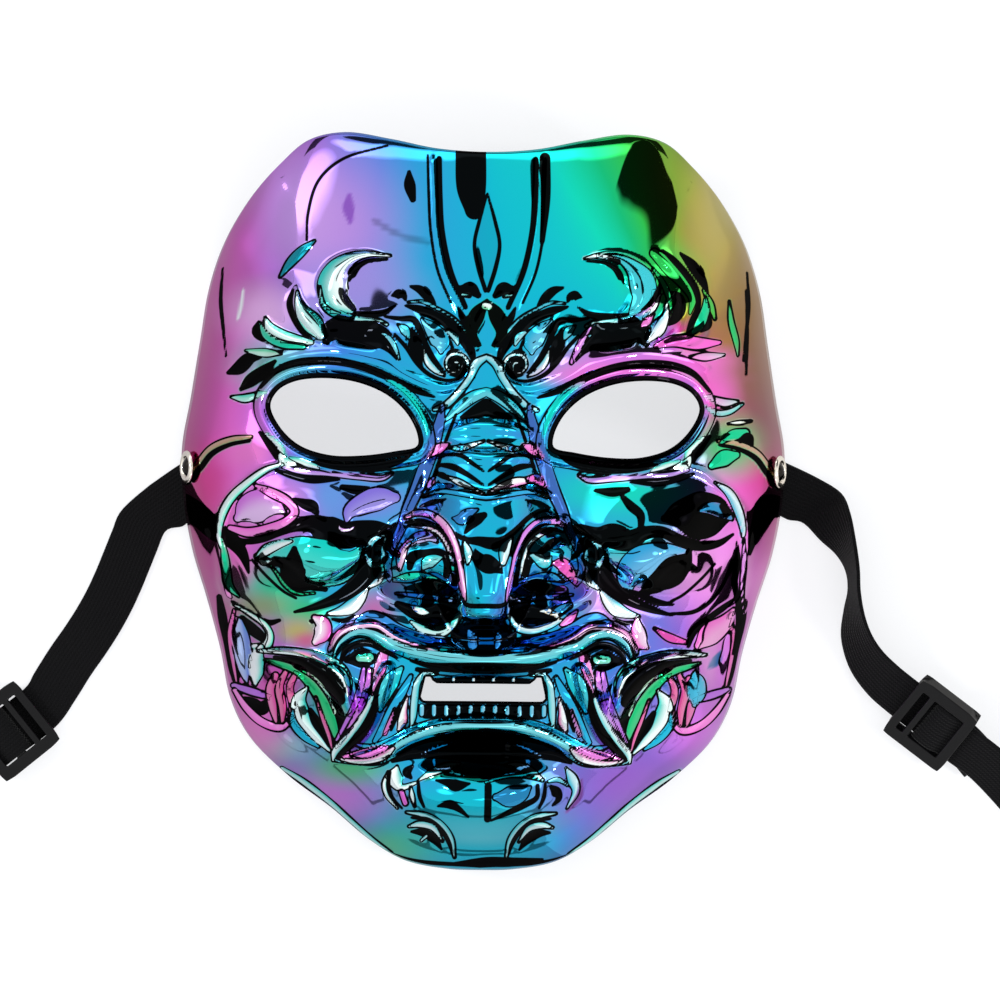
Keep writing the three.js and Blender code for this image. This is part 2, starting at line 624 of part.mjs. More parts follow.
/** Point and upper side of the band's centre line at an unrolled place: x, z, then the side's x, z. */
function foldProfile(unrolled) {
  const { tilt, startX, startZ, low, turn, wallRun, bendRun, floorX, start } = FOLD;
  const along = unrolled - start;
  if (along < wallRun) {
    const inward = WALL_CURVE * Math.min(0, along + WALL_CURVE_START) ** 2;
    return [startX + along * Math.sin(tilt) - inward, startZ - along * Math.cos(tilt),
      Math.cos(tilt), Math.sin(tilt)];
  }
  if (along < wallRun + bendRun) {
    const left = turn - (along - wallRun) / FOLD_RADIUS;
    return [floorX - FOLD_RADIUS * Math.sin(left), low + FOLD_RADIUS * (1 - Math.cos(left)),
      Math.sin(left), Math.cos(left)];
  }
  return [unrolled, low, 0, 1];
}

/** Section of the band where it is folded down the wall, at unrolled place g and y. */
function foldRing([g, y], [headG, headY], side) {
  const size = Math.hypot(headG, headY);
  const across = BAND_STRIPS.map((share) => {
    const c = share * BAND.width * side;
    const at = [g - (c * headY) / size, y + (c * headG) / size];
    const [x, z, nx, nz] = foldProfile(at[0]);
    const follow = halfWidth(at[1]) - halfWidth(RIVET.y);
    const shift = follow * (1 - smooth(halfWidth(0), halfWidth(0) + FOLD_BLEND, x));
    return (h) => new THREE.Vector3(side * (x + shift + nx * h), at[1], z + nz * h);
  });
  return bandRing(across);
}

/** Ring of points round the band, from its lower side to its upper one. */
function bandRing(across) {
  const half = BAND.thick / 2;
  const under = across.map((place) => place(-half));
  return [...under, ...[...across].reverse().map((place) => place(half))];
}

/** Section of the band where it lies free: its left edge rises with the roll. */
function freeRing(centre, tangent, roll) {
  const across = UP.clone().cross(tangent).normalize().applyAxisAngle(tangent, roll);
  const face = tangent.clone().cross(across);
  return bandRing(BAND_STRIPS.map((share) => (h) => centre.clone()
    .addScaledVector(across, share * BAND.width).addScaledVector(face, h)));
}

function halfWidth(y) {
  return outlineRays.reduce((best, [angle, radius]) => {
    const gap = Math.abs(radius * Math.cos(angle) - y);
    return gap < best[0] ? [gap, radius * Math.sin(angle)] : best;
  }, [Infinity, 0])[1];
}

/** Station of a free route: the centre stands on the band's lower edge. */
function routeStation([x, y, roll = 0, lift = 0]) {
  const angle = THREE.MathUtils.degToRad(roll);
  const height = BAND.width * Math.abs(Math.sin(angle)) + BAND.thick * Math.cos(angle);
  return { centre: new THREE.Vector3(x, y, FLOOR + lift + height / 2), roll: angle };
}

/** Matrix that carries the slider's own frame (x along, y across, z up) to its place. */
function sliderMatrix({ x, y, heading, roll }) {
  const angle = THREE.MathUtils.degToRad(roll);
  const along = new THREE.Vector3(...heading, 0).normalize();
  const across = UP.clone().cross(along).applyAxisAngle(along, angle);
  const up = along.clone().cross(across);
  const lift = FLOOR + 0.5 * SLIDER.width * Math.sin(angle);
  return new THREE.Matrix4().makeBasis(along, across, up).setPosition(x, y, lift);
}

function sliderStation(slider, along, height, sway, roll) {
  const centre = new THREE.Vector3(along, sway, height).applyMatrix4(sliderMatrix(slider));
  return { centre, roll };
}

function freeRings(stations) {
  return stations.map(({ centre, roll }, k) => {
    const before = stations[Math.max(0, k - 1)].centre;
    const after = stations[Math.min(stations.length - 1, k + 1)].centre;
    return freeRing(centre, after.clone().sub(before).normalize(), roll);
  });
}

/** The riveted band: down the wall, along its route and through the slider to its tail. */
function shortBand(side, route, slider) {
  const run = Math.abs(route[0][0]) - FOLD.start;
  const unrolled = FOLD_SHARES.map((share) => {
    const drop = (RIVET.y - route[0][1]) * (FOLD_DRIFT[0] * share + FOLD_DRIFT[1] * share * share);
    return [FOLD.start + run * share, RIVET.y - drop];
  });
  const folds = unrolled.map((at, k) => {
    const before = unrolled[Math.max(0, k - 1)];
    const after = unrolled[Math.min(unrolled.length - 1, k + 1)];
    return foldRing(at, [after[0] - before[0], after[1] - before[1]], side);
  });
  const low = BAND.thick / 2;
  const roll = THREE.MathUtils.degToRad(slider.roll);
  const end = SLIDER.length + TAIL.length;
  const stations = [
    ...route.map(routeStation),
    sliderStation(slider, -SLIDER_ENTRY, low, 0, roll),
    sliderStation(slider, SLIDER.length, low, 0, roll),
    sliderStation(slider, end, low, -TAIL.sway * side, roll),
  ];
  const band = ringsGeometry([...folds, ...freeRings(stations)]);
  return toGeometry(toSolid(band).subtract(rivetHole(side)));
}

/** The band round the back of the head: it lies on both tails and over the middle bars. */
function backBand() {
  const low = BAND.thick / 2;
  const levels = { tail: BAND.thick + GAP + low, bar: SLIDER_BARS[1][3] + GAP + low };
  const stationsOf = (slider, sign) => BACK_IN_SLIDER.map(([along, level, above]) => sliderStation(
    slider, along, levels[level] + above, 0, sign * THREE.MathUtils.degToRad(slider.roll)));
  const stations = [
    ...stationsOf(SLIDERS.left, 1),
    ...ROUTE_BACK.map(routeStation),
    ...stationsOf(SLIDERS.right, -1).reverse(),
  ];
  return ringsGeometry(freeRings(stations));
}

function sliderGeometry(slider) {
  const { length, width, slot, height, corner } = SLIDER;
  const half = width / 2;
  const outline = new THREE.Shape();
  outline.moveTo(corner, -half).lineTo(length - corner, -half)
    .quadraticCurveTo(length, -half, length, -half + corner).lineTo(length, half - corner)
    .quadraticCurveTo(length, half, length - corner, half).lineTo(corner, half)
    .quadraticCurveTo(0, half, 0, half - corner).lineTo(0, -half + corner)
    .quadraticCurveTo(0, -half, corner, -half);
  const block = new THREE.ExtrudeGeometry(outline, {
    depth: height, bevelEnabled: false, curveSegments: 3,
  });
  const box = (from, to, low, high) => toSolid(new THREE.BoxGeometry(to - from, slot, high - low)
    .translate((from + to) / 2, 0, (low + high) / 2));
  const [near, far] = SLIDER_ENDS;
  let solid = toSolid(block).subtract(box(near[1], far[0], -1, height + 1));
  for (const [from, to, low] of SLIDER_ENDS) solid = solid.subtract(box(from - 1, to + 1, -1, low));
  for (const [from, to, low, high] of SLIDER_BARS) {
    const bar = new THREE.BoxGeometry(to - from, slot + 1, high - low)
      .translate((from + to) / 2, 0, (low + high) / 2);
    solid = solid.add(toSolid(bar));
  }
  return toGeometry(solid).applyMatrix4(sliderMatrix(slider));
}

const group = new THREE.Group();

function add(name, geometry, colour, roughness, metalness) {
  const material = new THREE.MeshStandardMaterial({ color: colour, roughness, metalness });
  const mesh = new THREE.Mesh(geometry, material);
  mesh.name = name;
  group.add(mesh);
}

function maskShell() {
  let solid = toSolid(shellGeometry());
  for (const piece of carvings()) solid = solid.add(toSolid(piece));
  for (const side of [1, -1]) {
    const outline = eyeOutline(side);
    solid = solid.subtract(cutter(side > 0 ? [...outline].reverse() : outline));
    solid = solid.subtract(rivetHole(side));
  }
  return toGeometry(cleaned(solid.subtract(cutter(slotOutline()))));
}

add("mask_shell", maskShell(), 0x35a9c8, 0.06, 1);
add("rivet_left", rivetGeometry(-1), 0xd9d2c4, 0.25, 1);
add("rivet_right", rivetGeometry(1), 0xd9d2c4, 0.25, 1);
add("strap_left", shortBand(-1, ROUTE_LEFT, SLIDERS.left), 0x121214, 0.9, 0);
add("strap_right", shortBand(1, ROUTE_RIGHT, SLIDERS.right), 0x121214, 0.9, 0);
add("strap_back", backBand(), 0x121214, 0.9, 0);
add("slider_left", sliderGeometry(SLIDERS.left), 0x1b1b1f, 0.45, 0);
add("slider_right", sliderGeometry(SLIDERS.right), 0x1b1b1f, 0.45, 0);

export default group;
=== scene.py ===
"""A full-face samurai mask in rainbow chrome, lying on its back with its elastic strap.

Lengths inside the classes are millimetres of the row frame; every mesh is made in metres.
+Z comes out of the face, +Y points to the forehead, +X to the right of the viewer.
"""

import logging
import math
from dataclasses import dataclass, field
from enum import Enum
from typing import Sequence

import bmesh
import bpy
import numpy as np
from mathutils import Matrix, Vector


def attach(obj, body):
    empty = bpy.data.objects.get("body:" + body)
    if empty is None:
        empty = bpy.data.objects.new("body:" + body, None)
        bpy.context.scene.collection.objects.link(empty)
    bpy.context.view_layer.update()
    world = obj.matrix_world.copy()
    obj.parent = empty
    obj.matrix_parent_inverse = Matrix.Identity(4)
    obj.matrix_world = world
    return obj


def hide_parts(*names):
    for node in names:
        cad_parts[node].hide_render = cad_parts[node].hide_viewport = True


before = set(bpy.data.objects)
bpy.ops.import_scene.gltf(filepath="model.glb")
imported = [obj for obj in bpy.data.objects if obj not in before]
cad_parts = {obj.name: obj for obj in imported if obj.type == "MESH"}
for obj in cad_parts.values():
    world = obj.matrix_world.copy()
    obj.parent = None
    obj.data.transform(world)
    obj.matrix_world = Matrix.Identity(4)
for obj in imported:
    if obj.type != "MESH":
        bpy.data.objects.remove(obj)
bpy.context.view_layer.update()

Array = np.ndarray
Row = tuple[float, ...]
MM = 0.001
FAR = 9.0
log = logging.getLogger("samurai_mask")


class Side(Enum):
    """Which half of the mask a thing belongs to, as the viewer sees it."""

    LEFT = -1
    RIGHT = 1
    BOTH = 0


LEFT, RIGHT, BOTH = Side


class Cut(Enum):
    """Cross-section of a carved stroke."""

    MASS = "mass"
    TUBE = "tube"
    LEAF = "leaf"
    HOLLOW = "hollow"
    LINE = "line"


# Form of the face: the same sizes as the solid's, in millimetres
WALL = 2.2
PLATE_TOP = 60.0
PLATE_BOW = 6.0
PLATE_CREST = 20.0
PLATE_SPAN = 120.0
DOME_POWER = 2.4
DOME_CUT = 0.965
# Shares of the way to the rim between which the masses of the face run out, and the carving
RIM_FADE = (0.9, 0.985)
CARVING_FADE = (0.955, 0.995)
# Right half of the outline from the top down, and the points where its long sides end
HALF_OUTLINE = (
    (0, 105.2), (15, 106.2), (29, 109), (43, 111), (54, 108.6), (62.5, 101.5),
    (72, 90.5), (79.5, 77.5), (84, 64), (86.6, 48), (89.2, 31), (91.8, 15), (91.2, 0),
    (88.4, -15.5), (84, -30), (79.6, -46), (76.4, -61), (70.5, -72.5), (58.5, -84.3),
    (45, -94.2), (34, -103.3), (23, -109.6), (10, -112.1), (0, -112.4),
)
FOREHEAD_CORNER = 5
JAW_CORNER = 18
# Height of the rim by the angle from the top, in degrees
RIM_HEIGHT = (
    (0, 42), (22, 34), (33, 24), (43, 10), (50, 1.5), (53, 0), (63, 0), (78, 5),
    (100, 5), (112, 0), (128, 0), (140, 3), (157, 8), (180, 13),
)
# Nose from the root down: y, half width, height; and the powers of its rounding
NOSE = (
    (48, 5, 0), (36, 9, 3), (21, 15, 8), (8, 19, 15), (-6, 22, 22), (-18, 20, 26.5),
    (-28, 15.5, 28), (-34, 13, 24), (-38, 11, 11), (-42, 9, 0),
)
NOSE_ROUND = (2.4, 1.6)
# Swellings of both halves: x, y, half widths, height; and of the middle: y, half widths, height
MOUNDS = (
    (53, -12.5, 19, 18, 8), (65, -2.5, 13, 11, 4), (22, -19, 13, 15.5, 17),
    (26, -29, 8, 6, -4), (41.5, 25, 30, 17, -7), (60, 58, 20, 12, 3.5), (20, 48, 18, 10, 4),
    (73.5, -46, 8, 17, -6), (55, -68, 15, 14, -3), (34, -60, 17, 22, 7), (78, 8, 12, 14, -2),
)
MIDDLE_MOUNDS = (
    (-52, 52, 22, 8), (-58.5, 24, 9.5, -8), (-77, 28, 7, -7), (-91, 33, 16, 13), (57, 20, 22, 3),
)
# Where the forehead's sides fall away: x of the fold, its half width, y, its fade, and the drop
FOREHEAD_PLANE = (60.0, 4.0, 70.0, 8.0, 1.6)
# Outlines of the right eye hole and of the mouth slot
EYE = (
    (64.8, 28.2), (62.6, 32.6), (57.5, 35.4), (48, 36.4), (38, 35), (29.5, 31.3),
    (23.6, 25.8), (20.5, 19.5), (20.6, 16.2), (27, 14.6), (37, 13.2), (47, 13.3),
    (56, 16.2), (62, 21.8),
)
SLOT = (
    (17.8, -60.5), (18.8, -59.5), (17.4, -53.2), (16, -53.2), (14.8, -55.2),
    (-14.8, -55.2), (-16, -53.2), (-17.4, -53.2), (-18.8, -59.5), (-17.8, -60.5),
)


def smooth(low: float, high: float, value: Array) -> Array:
    """Eased step.

    Args:
        low: where it is 0.
        high: where it is 1.
        value: places to read it at.

    Returns:
        Values from 0 to 1, with level ends.
    """
    t = np.clip((value - low) / (high - low), 0, 1)
    return t * t * (3 - 2 * t)


def eased_table(rows: Sequence[Row], at: Array, column: int = 1) -> Array:
    """Reads a table between its stations, half straight and half eased.

    Args:
        rows: the table, its stations in the first column, rising or falling.
        at: places to read it at.
        column: the column to read.

    Returns:
        The values there.
    """
    table = np.array(rows, float)
    table = table[np.argsort(table[:, 0])]
    at = np.clip(at, table[0, 0], table[-1, 0])
    i = np.clip(np.searchsorted(table[:, 0], at), 1, len(table) - 1)
    part = (at - table[i - 1, 0]) / (table[i, 0] - table[i - 1, 0])
    blend = 0.5 * (part + part * part * (3 - 2 * part))
    return table[i - 1, column] + (table[i, column] - table[i - 1, column]) * blend


@dataclass(frozen=True)
class SmoothCurve:
    """Centripetal spline through points of any dimension.

    Each span is a cubic whose end slopes weigh the neighbouring steps by the root of their
    length, so it neither loops nor overshoots.
    """

    points: Array
    closed: bool = False

    def at(self, t: Array) -> Array:
        """Points of the curve.

        Args:
            t: places from 0 to 1, evenly shared among the spans.

        Returns:
            One row for each place.
        """
        count = len(self.points)
        spans = count if self.closed else count - 1
        place = np.clip(t, 0, 1) * spans
        i = np.minimum(place.astype(int), spans - 1)
        if self.closed:
            p0, p1, p2, p3 = (self.points[(i + k) % count] for k in (-1, 0, 1, 2))
        else:
            first = 2 * self.points[0] - self.points[1]
            last = 2 * self.points[-1] - self.points[-2]
            padded = np.vstack([first, self.points, last])
            p0, p1, p2, p3 = (padded[i + k] for k in (0, 1, 2, 3))
        d0, d1, d2 = (
            np.sqrt(np.maximum(np.linalg.norm(b - a, axis=1), 1e-6))[:, None]
            for a, b in ((p0, p1), (p1, p2), (p2, p3))
        )
        start = ((p1 - p0) / d0 - (p2 - p0) / (d0 + d1) + (p2 - p1) / d1) * d1
        end = ((p2 - p1) / d1 - (p3 - p1) / (d1 + d2) + (p3 - p2) / d2) * d1
        w = (place - i)[:, None]
        return (
            (2 * w**3 - 3 * w**2 + 1) * p1
            + (w**3 - 2 * w**2 + w) * start
            + (3 * w**2 - 2 * w**3) * p2
            + (w**3 - w**2) * end
        )


class Outline:
    """The mask's outline in the front view, as a closed curve and as a radius by angle."""

    rays = 361
    flank = slice(60, 300)

    def __init__(self) -> None:
        """Works out the curve and its radius by angle."""
        right = np.array(HALF_OUTLINE, float)
        left = right[1:-1][::-1] * (-1, 1)
        self.curve = SmoothCurve(np.vstack([right, left]), closed=True)
        ray = self.curve.at(np.linspace(0, 0.5, self.rays))
        order = np.argsort(np.arctan2(ray[:, 0], ray[:, 1]))
        self._angle = np.arctan2(ray[:, 0], ray[:, 1])[order]
        self._radius = np.hypot(ray[:, 0], ray[:, 1])[order]

    def radius(self, angle: Array) -> Array:
        """Distance from the middle to the outline, by angle in radians from the top."""
        return np.interp(angle, self._angle, self._radius)

    def half_width(self, y: Array) -> Array:
        """Half the mask's width at a height between the brow and the jaw.

        Args:
            y: places along.

        Returns:
            The half widths there.
        """
        x = self._radius * np.sin(self._angle)
        height = self._radius * np.cos(self._angle)
        return np.interp(y, height[self.flank][::-1], x[self.flank][::-1])

    def edge(self, start: float, stop: float, t: Array) -> Array:
        """Points along the outline between two places given as shares of its points."""
        return self.curve.at(np.mod(start + (stop - start) * t, 1))

    def grid(self, u: Array, v: Array) -> Array:
        """Fills the outline with a grid.

        The four sides are blended by Coons's rule: the sum of the two ruled surfaces less the
        bilinear one through the corners.

        Args:
            u: shares of the way from left to right.
            v: shares of the way from chin to forehead.

        Returns:
            Front-view points, rows by columns by 2.
        """
        count = 2 * len(HALF_OUTLINE) - 2
        brow, jaw = FOREHEAD_CORNER / count, JAW_CORNER / count
        top = self.edge(-brow, brow, u)
        right = self.edge(jaw, brow, v)
        bottom = self.edge(1 - jaw, jaw, u)
        left = self.edge(1 - jaw, 1 - brow, v)
        across, along = u[None, :, None], v[:, None, None]
        return (
            left[:, None] * (1 - across) + right[:, None] * across
            + bottom[None] * (1 - along) + top[None] * along
            - bottom[0] * (1 - across) * (1 - along) - bottom[-1] * across * (1 - along)
            - top[0] * (1 - across) * along - top[-1] * across * along
        )


class FaceForm:
    """The broad form: a dome over the outline with the masses of the face on it."""

    def __init__(self, outline: Outline) -> None:
        """Keeps the outline over which the dome stands."""
        self.outline = outline

    @staticmethod
    def _mound(x: Array, y: Array, cx: float, cy: float, rx: float, ry: float, h: float) -> Array:
        """A rounded swelling over an ellipse, or a hollow where h is negative."""
        inside = np.clip(1 - ((x - cx) / rx) ** 2 - ((y - cy) / ry) ** 2, 0, 1)
        return h * inside**2

    def masses(self, x: Array, y: Array) -> Array:
        """Nose, cheeks, brows, muzzle and chin above the plain dome.

        Args:
            x: places across.
            y: places along.

        Returns:
            Their height there.
        """
        side = np.clip(np.abs(x) / eased_table(NOSE, y, 1), 0, 1)
        total = eased_table(NOSE, y, 2) * (1 - side ** NOSE_ROUND[0]) ** NOSE_ROUND[1]
        for cx, cy, rx, ry, height in MOUNDS:
            total = total + self._mound(np.abs(x), y, cx, cy, rx, ry, height)
        for cy, rx, ry, height in MIDDLE_MOUNDS:
            total = total + self._mound(x, y, 0, cy, rx, ry, height)
        middle, fold, bottom, fade, drop = FOREHEAD_PLANE
        beside = smooth(middle - fold, middle + fold, np.abs(x))
        return total - drop * beside * smooth(bottom - fade, bottom + fade, y)

    def reach(self, x: Array, y: Array) -> Array:
        """How far out a point lies, 0 in the middle and 1 on the outline."""
        angle = np.arctan2(np.abs(x), y)
        return np.minimum(1, np.hypot(x, y) / self.outline.radius(angle))

    def height(self, x: Array, y: Array) -> Array:
        """Height of the outer surface.

        The dome is the root of 1 less the reach to DOME_POWER, cut just before it stands
        upright. It rises from the rim's own height to the plate's, and the masses fade at the rim.

        Args:
            x: places across.
            y: places along.

        Returns:
            The heights there.
        """
        angle = np.degrees(np.arctan2(np.abs(x), y))
        reach = self.reach(x, y)
        rim = eased_table(RIM_HEIGHT, angle)
        cut = math.sqrt(1 - DOME_CUT**DOME_POWER)
        dome = (np.sqrt(1 - (DOME_CUT * reach) ** DOME_POWER) - cut) / (1 - cut)
        plate = PLATE_TOP - PLATE_BOW * ((y - PLATE_CREST) / PLATE_SPAN) ** 2
        fade = 1 - smooth(*RIM_FADE, reach)
        return rim + (plate - rim) * dome + self.masses(x, y) * fade


def nearest_on_line(points: Array, line: Array) -> tuple[Array, Array, Array]:
    """Nearest places of a many-pointed line.

    Args:
        points: front-view points.
        line: the line's points in order.

    Returns:
        Distance, place along the line from 0 to 1, and side (positive to its left).
    """
    start, step = line[:-1], np.diff(line, axis=0)
    length = np.maximum((step**2).sum(1), 1e-12)
    middle = start + step / 2
    rough = ((points[:, None] - middle[None]) ** 2).sum(2).argmin(1)
    best = np.full(len(points), np.inf)
    place = np.zeros(len(points))
    side = np.ones(len(points))
    for shift in (-1, 0, 1):
        i = np.clip(rough + shift, 0, len(step) - 1)
        away = points - start[i]
        t = np.clip((away * step[i]).sum(1) / length[i], 0, 1)
        gap = np.linalg.norm(away - t[:, None] * step[i], axis=1)
        nearer = gap < best
        best = np.where(nearer, gap, best)
        place = np.where(nearer, (i + t) / len(step), place)
        turn = step[i][:, 0] * away[:, 1] - step[i][:, 1] * away[:, 0]
        side = np.where(nearer, np.sign(turn), side)
    return best, place, side


# Tones of painted shade: a recess's painted black, for shade and dark reflections, and the one
# up to which a stroke is painted black
PAINTED_SHADE_TONE = -0.97
PAINTED_BLACK_LIMIT = -0.84
# Teeth: how high they stand, and their hue
TOOTH_RISE = 1.0
TOOTH_HUE = 195
# Carving: half widths are drawn this much wider, and are never less than the thinnest
WIDEN = 1.1
THINNEST = 0.4
# Greatest rise of a stroke for each millimetre of its half width, and the power of its rounding
STEEPNESS = {Cut.MASS: 2.0, Cut.TUBE: 0.34, Cut.LEAF: 0.4, Cut.HOLLOW: 0.3, Cut.LINE: 0.3}
ROUNDING = {Cut.MASS: 1.4, Cut.TUBE: 1.5, Cut.LINE: 1.5}
# Shares of the half width over which a recess's side rises, and a leaf's edge
HOLLOW_SIDE = (0.3, 1.2)
LEAF_EDGE = 0.6
LEAF_LEAN = 0.25


@dataclass(frozen=True)
class Stroke:
    """A carved stroke that hugs the face along a curve of the front view.

    Attributes:
        cut: its cross-section.
        rise: greatest height of its crest, or depth of a hollow or line.
        tone: painted light on it, from -1 for painted black, as shade and dark reflection, to 1
        for the palest painted highlight on its lit side.
        hue: colour of the film on it in degrees, or None where it keeps the face's.
        stops: x, y and half width along it; x grows from the middle line to its own side.
        side: the half it is on.
    """

    cut: Cut
    rise: float
    tone: float
    hue: float | None
    stops: Sequence[Row]
    side: Side = BOTH

    # Points of the rough line, length of a step of the fine one, and its fewest points
    rough_points = 40
    fine_step = 0.8
    fewest_points = 16
    # How far from the middle line a point still counts: a share of the half width, and more
    reach_share = 1.8
    reach_margin = 1.5

    def across(self, x: Array, y: Array) -> tuple[Array, Array, Array, Array]:
        """Where points lie on the stroke.

        Args:
            x: places across.
            y: places along.

        Returns:
            Which points are near; and for these the distance from its middle line as a share
            of the half width, the side of it, and the half width.
        """
        curve = SmoothCurve(np.array(self.stops, float))
        rough = curve.at(np.linspace(0, 1, self.rough_points))
        span = np.linalg.norm(np.diff(rough[:, :2], axis=0), axis=1).sum()
        count = max(self.fewest_points, int(span / self.fine_step))
        fine = curve.at(np.linspace(0, 1, count))
        px = np.abs(x) if self.side is BOTH else self.side.value * x
        reach = self.reach_share * fine[:, 2].max() + self.reach_margin
        low, high = fine[:, :2].min(0) - reach, fine[:, :2].max(0) + reach
        near = (px > low[0]) & (px < high[0]) & (y > low[1]) & (y < high[1])
        spots = np.stack([px[near], y[near]], 1)
        gap, place, side = nearest_on_line(spots, fine[:, :2])
        given = np.interp(place, np.linspace(0, 1, count), fine[:, 2])
        half = np.maximum(THINNEST, WIDEN * given)
        return near, gap / half, side, half

    def relief(self, x: Array, y: Array) -> Array:
        """Height added by the stroke, less than zero for a hollow or a line.

        Args:
            x: places across.
            y: places along.

        Returns:
            The added height there.
        """
        result = np.zeros_like(x)
        near, u, side, half = self.across(x, y)
        inside = np.clip(1 - u**2, 0, 1)
        size = np.minimum(self.rise, STEEPNESS[self.cut] * half)
        if self.cut is Cut.LEAF:
            keel = np.clip(1 - np.abs(u * side - LEAF_LEAN * inside), 0, 1)
            result[near] = size * keel * smooth(0, LEAF_EDGE, inside)
        elif self.cut is Cut.HOLLOW:
            result[near] = -size * (1 - smooth(*HOLLOW_SIDE, u))
        else:
            way = -1 if self.cut is Cut.LINE else 1
            result[near] = way * size * inside ** ROUNDING[self.cut]
        return result

    def distance(self, x: Array, y: Array) -> tuple[Array, Array]:
        """Distance from the stroke's edge, negative on it, and the lie across it, from -1 to 1.

        Args:
            x: places across.
            y: places along.

        Returns:
            The distances and the lies.
        """
        gap, lie = np.full_like(x, FAR), np.zeros_like(x)
        near, u, side, half = self.across(x, y)
        gap[near] = (u - 1) * half
        lie[near] = u * side
        return gap, lie


class Contour:
    """A closed outline of a hole in the front view, with signed distances from it."""

    # Points of a rounded outline, and of each straight side; how often its corners are eased
    round_points = 180
    side_points = 20
    softenings = 3
    # Distances are exact within this margin of the outline, and rough estimates farther out
    margin = 8.0
    rough_share = 0.4

    def __init__(self, stops: Sequence[Row], side: Side, rounded: bool) -> None:
        """Works out the outline.

        Args:
            stops: corners of the hole on the right half.
            side: the half it is cut in.
            rounded: whether a curve runs through the corners, or straight sides join them.
        """
        points = np.array(stops, float)
        if side is LEFT:
            points = points * (-1, 1)
        if rounded:
            share = np.linspace(0, 1, self.round_points, endpoint=False)
            points = SmoothCurve(points, closed=True).at(share)
        else:
            corners = np.vstack([points, points[:1]])
            share = np.linspace(0, len(points), self.side_points * len(points), endpoint=False)
            i = share.astype(int)
            points = corners[i] + (share - i)[:, None] * (corners[i + 1] - corners[i])
            for _ in range(self.softenings):
                points = (np.roll(points, 1, 0) + 2 * points + np.roll(points, -1, 0)) / 4
        turn = np.roll(points, -1, 0)
        if (points[:, 0] * turn[:, 1] - points[:, 1] * turn[:, 0]).sum() < 0:
            points = points[::-1]
        self.line = np.vstack([points, points[:1]])
        self.middle = points.mean(0)
        self.size = np.abs(points - self.middle).max()

    def distance(self, x: Array, y: Array) -> Array:
        """Distance from the outline, negative inside the hole.

        Args:
            x: places across.
            y: places along.

        Returns:
            The distances there.
        """
        dx, dy = x - self.middle[0], y - self.middle[1]
        result = np.hypot(dx, dy) - self.size * self.rough_share
        near = np.maximum(np.abs(dx), np.abs(dy)) < self.size + self.margin
        if near.any():
            points = np.stack([x[near], y[near]], 1)
            gap, _, side = nearest_on_line(points, self.line)
            result[near] = -gap * np.where(side == 0, 1, side)
        return result

    def place(self, x: Array, y: Array) -> Array:
        """Place along the outline, from 0 to 1, of the point nearest to each given one."""
        return nearest_on_line(np.stack([x, y], 1), self.line)[1]

    def slope(self, points: Array, gap: Array, step: float = 0.02) -> Array:
        """Unit directions in which the distance, given at the points, grows fastest.

        Args:
            points: front-view points.
            gap: their distances from the outline.
            step: how far beside them the distance is read again.

        Returns:
            One direction for each point.
        """
        x, y = points.T
        way = np.column_stack([
            self.distance(x + step, y) - gap, self.distance(x, y + step) - gap,
        ]) / step
        return way / np.linalg.norm(way, axis=1, keepdims=True)


def mesh_object(
    name: str, points: Array, faces: Array, smooth_faces: bool = True,
) -> bpy.types.Object:
    """Makes a mesh object from arrays, turned so that its faces point outwards.

    Args:
        name: the object's name.
        points: its points in millimetres.
        faces: triangles or quads as rows of point numbers.
        smooth_faces: whether the shading is smooth.

    Returns:
        The linked object.
    """
    mesh = bpy.data.meshes.new(name)
    used, numbers = np.unique(faces, return_inverse=True)
    points = points[used] * MM
    faces = numbers.reshape(faces.shape)
    size = faces.shape[1]
    mesh.vertices.add(len(points))
    mesh.vertices.foreach_set("co", points.astype(np.float32).ravel())
    mesh.loops.add(faces.size)
    mesh.loops.foreach_set("vertex_index", faces.astype(np.int32).ravel())
    mesh.polygons.add(len(faces))
    mesh.polygons.foreach_set("loop_start", np.arange(0, faces.size, size, dtype=np.int32))
    mesh.polygons.foreach_set("loop_total", np.full(len(faces), size, dtype=np.int32))
    mesh.update(calc_edges=True)
    mesh.validate()
    work = bmesh.new()
    work.from_mesh(mesh)
    bmesh.ops.recalc_face_normals(work, faces=work.faces)
    work.to_mesh(mesh)
    work.free()
    mesh.polygons.foreach_set("use_smooth", np.full(len(mesh.polygons), smooth_faces))
    mesh.update()
    made = bpy.data.objects.new(name, mesh)
    bpy.context.scene.collection.objects.link(made)
    return made


def grid_faces(rows: int, columns: int, offset: int = 0) -> Array:
    """Triangles of a grid whose points are numbered row by row.

    Args:
        rows: points along.
        columns: points across.
        offset: number of the first point.

    Returns:
        Two triangles for each cell.
    """
    j, i = np.meshgrid(np.arange(rows - 1), np.arange(columns - 1), indexing="ij")
    a = (j * columns + i).ravel() + offset
    b, c, d = a + 1, a + columns + 1, a + columns
    return np.vstack([np.stack([a, b, c], 1), np.stack([a, c, d], 1)])


def tube_quads(number: Array) -> Array:
    """Quads between the rings of a tube, from its point numbers as rings by points."""
    after = np.roll(number, -1, 1)
    return np.stack([number[:-1], after[:-1], after[1:], number[1:]], 2).reshape(-1, 4)


def halved(quads: Array) -> Array:
    """Two triangles for each quad."""
    return np.vstack([quads[:, [0, 1, 2]], quads[:, [0, 2, 3]]])


def strip_faces(near: Array, far: Array) -> Array:
    """Triangles between two closed loops of equally many points.

    Args:
        near: point numbers of one loop.
        far: those of the other.

    Returns:
        Two triangles for each step.
    """
    near_next, far_next = np.roll(near, -1), np.roll(far, -1)
    return np.vstack([
        np.stack([near, near_next, far_next], 1),
        np.stack([near, far_next, far], 1),
    ])


